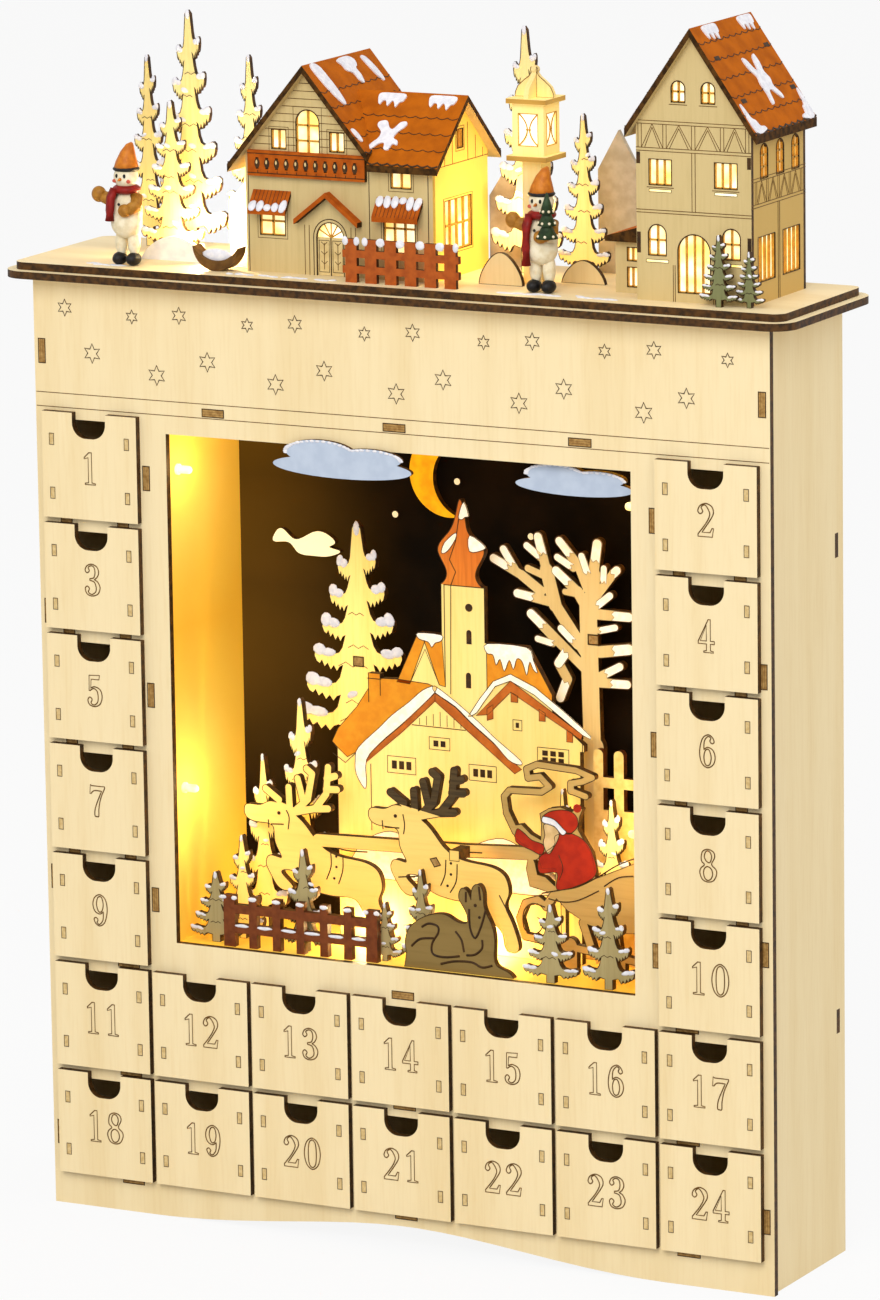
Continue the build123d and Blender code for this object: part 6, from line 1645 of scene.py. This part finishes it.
for sign in (-1, 1):
    run, rise = roofSet["cottageSlope"]
    face, loops = flatFaces("cottage_roof", Vector((sign * run, 0, rise)).normalized(), 0.99)[0]
    shingleRows(face, loops, roofSet["rows"][:5], 5.0, 0.9)
    for u, v, outline in roofSet["streaks"]:
        patch(face, loops, u if sign > 0 else 1 - u, v, outline)
    run, rise = roofSet["wingSlope"]
    face, loops = flatFaces("cottage_roof", Vector((0, sign * run, rise)).normalized(), 0.98)[0]
    shingleRows(face, loops, roofSet["wingRows"], 4.6, 0.9)
    for u, v, outline in roofSet["wingPatches"]:
        patch(face, loops, u, v, roofSet[outline])
    run, rise = roofSet["tallSlope"]
    face, loops = flatFaces("tall_house_roof", Vector((sign * run, 0, rise)).normalized(), 0.98)[0]
    shingleRows(face, loops, roofSet["rows"], 5.2, 1.0)
    for u, v, outline in roofSet["tallPatches"]:
        patch(face, loops, u, v, roofSet[outline])
    u, v = roofSet["cornerPlace"]
    patch(face, loops, u, v, roofSet["corner"])
    patch(face, loops, 1 - u, v, [(-dx, dy) for dx, dy in roofSet["corner"]][::-1])
    x0, y0, x1, y1 = boundsMm(loops[0])
    halfX, halfY = roofSet["markHalf"]
    for u, v in roofSet["marks"]:
        x, y = x0 + u * (x1 - x0), y0 + v * (y1 - y0)
        mark = metres(rectangle(x - halfX, y - halfY, x + halfX, y + halfY))
        lay("roof_paint", face, mark, burntLineAndShade)
print("cottage and roofs dressed")

# Tall house: timber bracing, double lines and lit windows
tallSet = {
    "middle": 125, "half": 24, "band": (57, 68.5), "posts": (-22.4, -12, 0, 12, 22.4),
    "timber": (1.2, 0.7, 1.3, 0.3),    # rail, half a post, strut and line
    # columns and rows on each floor
    "floors": (6, 40, 60), "panes": ((4, 1), (2, 2), (3, 1), (2, 2)), "sill": (9.2, 1, 2.6, 0.3),
    "ledge": 0.9, "floorLines": (33.5, 34.6), "doorPosts": (7.992, 8.792), "postTall": 14,
    "marks": ((18, 26), (52, 56.5)), "markInset": 0.9, "markHalf": 0.8, "markHigh": 0.03, "sideLevel": 148,
    "sideBand": (37, 48), "sidePosts": (-20, -10, 0, 10, 20), "sideLines": (64, 65.2), "annexRight": 90,
}
tallFront, tallLoops = flatFaces("tall_house_walls", front)[0]
base, middle, half = deckHeight, tallSet["middle"], tallSet["half"]
for loop in tallLoops[1:]:
    x0, y0, x1, y1 = boundsMm(loop)
    floor = sum(y0 > base + level for level in tallSet["floors"])
    columns, rows = tallSet["panes"][floor]
    addWindow(tallFront, loop, columns, rows, fan=floor == 0)
    if floor in (1, 2):
        wide, tall, drop, line = tallSet["sill"]
        x = (x0 + x1) / 2
        bar = metres(rectangle(x - wide / 2, y0 - drop, x + wide / 2, y0 - drop + tall))
        lay("bulb_lens", tallFront, bar, litGlass, high=0.04)
        rim(tallFront, bar, line, 0.06)
    if floor > 1:
        ledge = tallSet["ledge"]
        etchMm(tallFront, [(x0 - ledge, y0 - ledge), (x1 + ledge, y0 - ledge)])


# Rails, posts and pairs of struts within a band of a wall
def bracing(face, middle, band, posts, loops):
    low, high = [deckHeight + level for level in band]
    rail, post, strut, width = tallSet["timber"]
    foot, head = low + rail, high - rail
    for level in (low, foot, head, high):
        for start, end in boardLine(loops, level * mm):
            etchMm(face, [(start / mm, level), (end / mm, level)], width=width)
    for place in posts:
        for x in (middle + place - post, middle + place + post):
            etchMm(face, [(x, foot), (x, head)], width=width)
    for place, after in zip(posts, posts[1:]):
        peak = middle + (place + after) / 2
        for shift in (0.0, strut):
            for x in (middle + place + post + shift, middle + after - post - shift):
                etchMm(face, [(x, foot), (peak, head - shift)], width=width)


bracing(tallFront, middle, tallSet["band"], tallSet["posts"], tallLoops[:1])
for level in tallSet["floorLines"]:
    etchMm(tallFront, [(middle - half, base + level), (middle + half, base + level)])
postHalf = tallSet["timber"][1]
for x in (middle - postHalf, middle + postHalf):
    etchMm(tallFront, [(x, base + tallSet["floorLines"][1]), (x, base + tallSet["band"][0])])
for side in (-1, 1):
    for out in tallSet["doorPosts"]:
        x = middle + side * out
        etchMm(tallFront, [(x, base), (x, base + tallSet["postTall"])])
markHalf = tallSet["markHalf"]
for side in (-1, 1):
    x = middle + side * (half - tallSet["markInset"])
    for low, high in tallSet["marks"]:
        mark = metres(rectangle(x - markHalf, base + low, x + markHalf, base + high))
        lay("house_ply", tallFront, mark, burntLineAndShade, high=tallSet["markHigh"])

sideFaces = [item for item in flatFaces("tall_house_walls", right) if len(item[1]) > 3]
tallSide, sideLoops = [item for item in sideFaces if item[0].level > tallSet["sideLevel"] * mm][0]
x0, y0, x1, y1 = boundsMm(sideLoops[0])
sideMiddle = (x0 + x1) / 2
for loop in sideLoops[1:]:
    isUpper = boundsMm(loop)[1] > base + tallSet["floors"][1]
    addWindow(tallSide, loop, columns=2 if isUpper else 4, rows=3 if isUpper else 1)
bracing(tallSide, sideMiddle, tallSet["sideBand"], tallSet["sidePosts"], sideLoops[:1])
for x in (sideMiddle - postHalf, sideMiddle + postHalf):
    etchMm(tallSide, [(x, base), (x, base + tallSet["sideBand"][0])], paint=burntLineAndShade)
for level in tallSet["sideLines"]:
    etchMm(tallSide, [(x0, base + level), (x1, base + level)])
pierced = [item for item in flatFaces("tall_house_walls", front) if len(item[1]) > 1]
annexFace, annexLoops = [item for item in pierced if boundsMm(item[1][0])[0] < tallSet["annexRight"]][0]
for loop in annexLoops[1:]:
    addWindow(annexFace, loop, columns=3, rows=1)
print("tall house dressed")

# Lantern: lit panes with curved frame lines, pale post and cap
lanternSet = {
    "wood": (tint(238, 214, 150), tint(222, 190, 116)), "edge": tint(150, 98, 34),
    "plates": ((431.2, 433.2), (453.4, 455.2)), "bulb": (48.3, -4, 444), "reach": 26,
    "glow": tint(255, 212, 100), "glowShare": 0.75, "paneSink": (0.9, 1.3), "paneLine": 0.5, "bowWaist": 0.12,
    "bowLine": 0.6, "bowSink": 0.4, "capFrom": 455, "capLine": 0.34,
}
paint = Paint("lantern")
wood, fibre = woodFace(paint, "z", *lanternSet["wood"])
# Cut edges of the plates are browned; faces that look down get the same brown as painted shade under the plates
edgeAndUnderShade = paint.nz < -flatTurn
for low, high in lanternSet["plates"]:
    plateEdge = paint.within(paint.z, low * mm, high * mm) * (1 - faceZ(paint))
    edgeAndUnderShade = edgeAndUnderShade.maths("MAXIMUM", plateEdge)
# A painted glow on the wood around the lantern's bulb
bulbLight = warmth(paint, (lanternSet["bulb"],), lanternSet["reach"])
colour = paint.mix(edgeAndUnderShade, wood, lanternSet["edge"])
glow = paint.mix(bulbLight * lanternSet["glowShare"], noLight, lanternSet["glow"])
setPaint("lantern", paint.done(colour, 0.6, bump=fibre, depth=0.05, glow=glow))
lanternGlass = glowPaint("lantern_glass", tint(255, 252, 222), tint(255, 246, 190), 1.0)


def addLanternPane(face, x0, y0, x1, y1):
    sink, deep = lanternSet["paneSink"]
    waist = lanternSet["bowWaist"]
    pane = rectangle(x0, y0, x1, y1)
    lay("bulb_lens", face, pane, lanternGlass, high=-sink, low=-deep)
    rim(face, pane, lanternSet["paneLine"], paint=barPaint)
    x, y, wide, tall = (x0 + x1) / 2, (y0 + y1) / 2, x1 - x0, y1 - y0
    bows = [[(x - waist * wide, y), (x + waist * wide, y)]]
    for side in (1, -1):
        steps = [step / 6 - 1 for step in range(13)]
        bow = [(x + side * (waist + (1 - waist) * t * t) * wide / 2, y + t * tall / 2) for t in steps]
        bows.insert(0, bow)
    for bow in bows:
        etch(onFace(face, bow, -lanternSet["bowSink"]), paint=barPaint, width=lanternSet["bowLine"])


for normal in (front, right, -right, -front):
    pierced = [item for item in flatFaces("lantern", normal) if len(item[1]) > 1]
    for face, loops in pierced[:1]:
        addLanternPane(face, *bounds2(loops[1]))
capFaces = [item for item in flatFaces("lantern", front) if boundsMm(item[1][0])[1] > lanternSet["capFrom"]]
for face, loops in capFaces[:2]:
    rim(face, loops[0], lanternSet["capLine"], houseSet["lift"], paint=engraved)

# Hills: white mounds, plain grey silhouettes behind and a brown crescent log in front
hillSet = {
    "white": (tint(246, 244, 240), tint(228, 226, 226)), "grey": (tint(188, 172, 148), tint(170, 154, 128)),
    "log": (tint(112, 78, 34), tint(82, 54, 20)), "backLevel": 10, "frontLevel": -20, "plyFrom": 20,
    "ply": (tint(232, 206, 150), tint(220, 190, 130)), "snowCap": (0.62, 0.34, 0.30, 1, -2), "rimLine": 0.4,
}
paint = Paint("deck_hills")
mottle = mottled(paint, 220, 4)
whiteTone = paint.mix(mottle, *hillSet["white"])
greyTone = paint.mix(mottle, *hillSet["grey"])
logTone = paint.mix(mottle, *hillSet["log"])
plyTone = woodFace(paint, "z", *hillSet["ply"])[0]
isPly = paint.x > hillSet["plyFrom"] * mm
mound = paint.mix(isPly, whiteTone, paint.mix(faceY(paint), burntEdge(paint), plyTone))
tone = paint.mix(paint.y > hillSet["backLevel"] * mm, mound, greyTone)
colour = paint.mix(paint.y < hillSet["frontLevel"] * mm, tone, logTone)
setPaint("deck_hills", paint.done(colour, 0.7, bump=mottle, depth=0.1))

for plane, loops in flatFaces("deck_hills", front):
    x0, z0, x1, z1 = boundsMm(loops[0])
    if plane.level > -hillSet["frontLevel"] * mm:
        up, wideShare, tallShare, thick, lift = hillSet["snowCap"]
        pile(
            plane, (x0 + x1) / 2, z0 + up * (z1 - z0), wideShare * (x1 - x0), tallShare * (z1 - z0), thick,
            lift=lift,
        )
    elif x0 > hillSet["plyFrom"] and plane.level > -hillSet["backLevel"] * mm:
        rim(plane, loops[0], hillSet["rimLine"])

# Firs on the deck
deckFirSet = {
    "gold": (tint(248, 228, 158), tint(232, 200, 112)), "green": (tint(124, 126, 84), tint(88, 92, 54)),
    "frontLevel": -26, "seed": 4, "spots": ((-99.8, -4, 386), (40, 10, 400)), "reach": 74,
    "glow": tint(255, 210, 90), "glowShare": 0.5,
}
paint = Paint("deck_firs")
goldWood, fibre = woodFace(paint, "z", *deckFirSet["gold"])
greenWood = woodFace(paint, "z", *deckFirSet["green"])[0]
isFront = paint.y < deckFirSet["frontLevel"] * mm
isRear = paint.y > deckFirSet["frontLevel"] * mm
bulbLight = warmth(paint, deckFirSet["spots"], deckFirSet["reach"])
glow = paint.mix(bulbLight * faceY(paint) * isRear * deckFirSet["glowShare"], noLight, deckFirSet["glow"])
setFigure("deck_firs", paint, paint.mix(isFront, goldWood, greenWood), fibre, glow)
rand = random.Random(deckFirSet["seed"])
for plane, loops in flatFaces("deck_firs", front):
    dressFir(plane, loops[0], rand)

# Bulbs
setPaint("led_bulbs", glowPaint("led_bulbs", tint(255, 240, 190), tint(255, 214, 110), 1.0))
print("lantern, hills and firs dressed")

# Two painted snow figures, each built from rounded lumps and tapered tubes
figureSet = {
    "places": ((-120.32, -25.6), (60.48, -23.53)),
    "paints": {
        "cream": (tint(240, 229, 200), tint(224, 208, 170)), "black": (tint(34, 31, 30), tint(20, 18, 18)),
        "ochre": (tint(180, 124, 44), tint(148, 96, 28)), "scarf": (tint(146, 28, 20), tint(118, 20, 14)),
        "hat": (tint(208, 124, 34), tint(180, 96, 22)), "cheek": (tint(206, 92, 70), tint(190, 78, 58)),
        "fir": (tint(52, 72, 44), tint(34, 50, 28)),
    },
    "lumps": (    # paint, centre and half sizes in millimetres
        ("black", (-3.1, -1.3, 2.6), (2.7, 3.9, 2.6)), ("black", (3.1, -1.3, 2.6), (2.7, 3.9, 2.6)),
        ("cream", (-2.8, 0, 9), (2.5, 2.7, 6)), ("cream", (2.8, 0, 9), (2.5, 2.7, 6)),
        ("cream", (0, 0, 20.5), (6.2, 5.4, 9.4)), ("cream", (0, -0.7, 17), (6.5, 5.5, 6.4)),
        ("cream", (0, -0.6, 34.8), (4.9, 4.7, 4.9)), ("scarf", (0, -0.3, 30), (5.7, 5.3, 2.3)),
        ("black", (0, -0.3, 38), (5.4, 5.1, 1.5)), ("black", (-1.7, -4.95, 35.6), (0.55, 0.45, 0.85)),
        ("black", (1.7, -4.95, 35.6), (0.55, 0.45, 0.85)), ("cheek", (-3.1, -4.25, 33.5), (0.95, 0.5, 0.75)),
        ("cheek", (3.1, -4.25, 33.5), (0.95, 0.5, 0.75)), ("ochre", (-11.4, -2.2, 27.6), (3, 2.7, 3.2)),
        ("ochre", (2.1, -5.9, 22.2), (2.7, 2.4, 2.6)), ("black", (-0.4, -6, 24.6), (0.6, 0.4, 0.6)),
    ),
    "tubes": (    # paint, then points each with a radius
        ("ochre", ((-4.2, -0.5, 26.6, 2.7), (-8.2, -1.5, 26, 2.6), (-11, -2.1, 27.2, 2.3))),
        ("ochre", ((4.4, -0.5, 27, 2.7), (5.9, -3.2, 24, 2.7), (3, -5.4, 22.2, 2.3))),
        ("hat", ((0, -0.2, 37.8, 5), (0.2, -0.1, 40.4, 4.4), (0.7, 0.2, 44.2, 3), (1.5, 0.6, 47, 1.7),
                 (2.2, 0.9, 48.2, 0.5))),
        ("hat", ((0, -4.7, 34.4, 0.75), (0, -6.2, 34.2, 0.5), (0, -7.2, 34, 0.12))),
    ),
    "scarfEnds": (
        ((-3.4, -4, 30.2, 1.7), (-4.2, -5.6, 27, 1.8), (-4.4, -6.2, 22, 1.7), (-4.6, -6, 18, 1.9)),
        ((-3.2, -4.2, 30.2, 1.7), (-3.8, -6, 26, 1.8), (-3.9, -6.4, 18, 1.7), (-4, -6, 11, 1.9)),
    ),
    "firTiers": ((22, 4.4, 30), (27, 3.7, 34.5), (31.5, 2.9, 39.5)), "firPlace": (5.4, -6.6), "firTip": 0.3,
    "firSides": 11, "dots": 7, "dotShare": 0.86, "dotRise": 1, "dotHalf": 0.55, "rough": 0.5, "scale": 420,
}


def paintFaces(made, paint):
    for face in {face for vert in made for face in vert.link_faces}:
        face.material_index = paint
        face.smooth = True


def addLump(mesh, centre, sizes, paint):
    place = Matrix.Translation(Vector(centre) * mm) @ Matrix.Diagonal((*[size * mm for size in sizes], 1))
    made = bmesh.ops.create_uvsphere(mesh, u_segments=24, v_segments=16, radius=1, matrix=place)
    paintFaces(made["verts"], paint)


# Rings along a path, each with its own radius, closed at both ends
def addTube(mesh, stops, paint, sides=16):
    points = [Vector(stop[:3]) * mm for stop in stops]
    rings = []
    for index, (x, y, z, radius) in enumerate(stops):
        along = points[min(index + 1, len(points) - 1)] - points[max(index - 1, 0)]
        turn = along.to_track_quat("Z", "Y")
        ring = []
        for side in range(sides):
            angle = 2 * math.pi * side / sides
            out = turn @ Vector((math.cos(angle), math.sin(angle), 0))
            ring.append(mesh.verts.new(points[index] + out * radius * mm))
        rings.append(ring)
    for ring, after in zip(rings, rings[1:]):
        for side in range(sides):
            mesh.faces.new((ring[side], ring[(side + 1) % sides], after[(side + 1) % sides], after[side]))
    mesh.faces.new(rings[0][::-1])
    mesh.faces.new(rings[-1])
    paintFaces([vert for ring in rings for vert in ring], paint)


def shifted(stop, place):
    return (stop[0] + place[0], stop[1] + place[1], stop[2] + deckHeight, *stop[3:])


order = list(figureSet["paints"])
figureMesh = bmesh.new()
for which, place in enumerate(figureSet["places"]):
    for name, centre, sizes in figureSet["lumps"]:
        addLump(figureMesh, shifted(centre, place), sizes, order.index(name))
    for name, stops in figureSet["tubes"]:
        addTube(figureMesh, [shifted(stop, place) for stop in stops], order.index(name))
    scarf = [shifted(stop, place) for stop in figureSet["scarfEnds"][which]]
    addTube(figureMesh, scarf, order.index("scarf"))
firX, firY = [sum(parts) for parts in zip(figureSet["firPlace"], figureSet["places"][1])]
for low, radius, high in figureSet["firTiers"]:
    foot = (firX, firY, deckHeight + low, radius)
    tip = (firX, firY, deckHeight + high, figureSet["firTip"])
    addTube(figureMesh, [foot, tip], order.index("fir"), sides=figureSet["firSides"])
    for index in range(figureSet["dots"]):
        angle = 2 * math.pi * index / figureSet["dots"] + low
        out = figureSet["dotShare"] * radius
        dot = (firX + out * math.cos(angle), firY + out * math.sin(angle), foot[2] + figureSet["dotRise"])
        addLump(figureMesh, dot, [figureSet["dotHalf"]] * 3, order.index("cream"))
bmesh.ops.recalc_face_normals(figureMesh, faces=figureMesh.faces)
figureData = bpy.data.meshes.new("painted_figures")
figureMesh.to_mesh(figureData)
figureMesh.free()
for name, (tone, shade) in figureSet["paints"].items():
    coat = plainPaint("figure_" + name, tone, shade, figureSet["rough"], figureSet["scale"])
    figureData.materials.append(coat)
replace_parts(show("painted_figures", figureData, "cabinet"), "snow_figures")

# Loose snow along the deck's front edge and by the figures
deckTop = Face(top, deckHeight * mm)
driftSet = {
    "seed": 9, "scatter": (-0.9, 1.6), "wide": (1.6, 3.8), "tall": (0.7, 1.5), "thick": 0.45,
    "turn": (-0.4, 0.4),
    "runs": (    # from x, to x, y and how many lumps
        (-74, -26, -30.6, 14), (44, 70, -30.4, 9), (-136, -122, -29.6, 6), (76, 92, -29, 5),
        (-96, -72, -14, 9),
    ),
}
rand = random.Random(driftSet["seed"])
for start, end, level, count in driftSet["runs"]:
    for index in range(count):
        x = start + (end - start) * (index + rand.random()) / count
        y = level + rand.uniform(*driftSet["scatter"])
        wide, tall, turn = [rand.uniform(*driftSet[key]) for key in ("wide", "tall", "turn")]
        pile(deckTop, x, y, wide, tall, driftSet["thick"], turn)

# Battery case and its parts at the back
backSet = {    # paint, tone, shade, roughness and grain
    "battery_case": ("case_plastic", tint(58, 58, 60), tint(46, 46, 48), 0.5, 1500),
    "battery_cover": ("cover_plastic", tint(64, 64, 66), tint(52, 52, 54), 0.5, 1500),
    "power_switch": ("switch_plastic", tint(26, 26, 27), tint(18, 18, 19), 0.4, 900),
    "battery_cells": ("cell_jacket", tint(196, 160, 70), tint(172, 136, 52), 0.35, 600),
    "wiring_harness": ("wire_sleeve", tint(206, 64, 44), tint(178, 48, 32), 0.45, 800),
}
steelTones = (tint(200, 200, 202), tint(168, 168, 172))
for node, look in backSet.items():
    setPaint(node, plainPaint(*look))
for node in ("battery_contacts", "case_screws"):
    paint = Paint(node)
    brushed = paint.noise((1, 0.05, 1), 1400, 3)
    steel = paint.mix(paint.fade(brushed, 0.3, 0.7), *steelTones)
    setPaint(node, paint.done(steel, 0.3 + 0.2 * brushed, bump=brushed, depth=0.02, metal=1.0))
print("figures, drifts and back finished")

growLines()
buildPlates()
growPiles()
print("lines, plates and snow built")
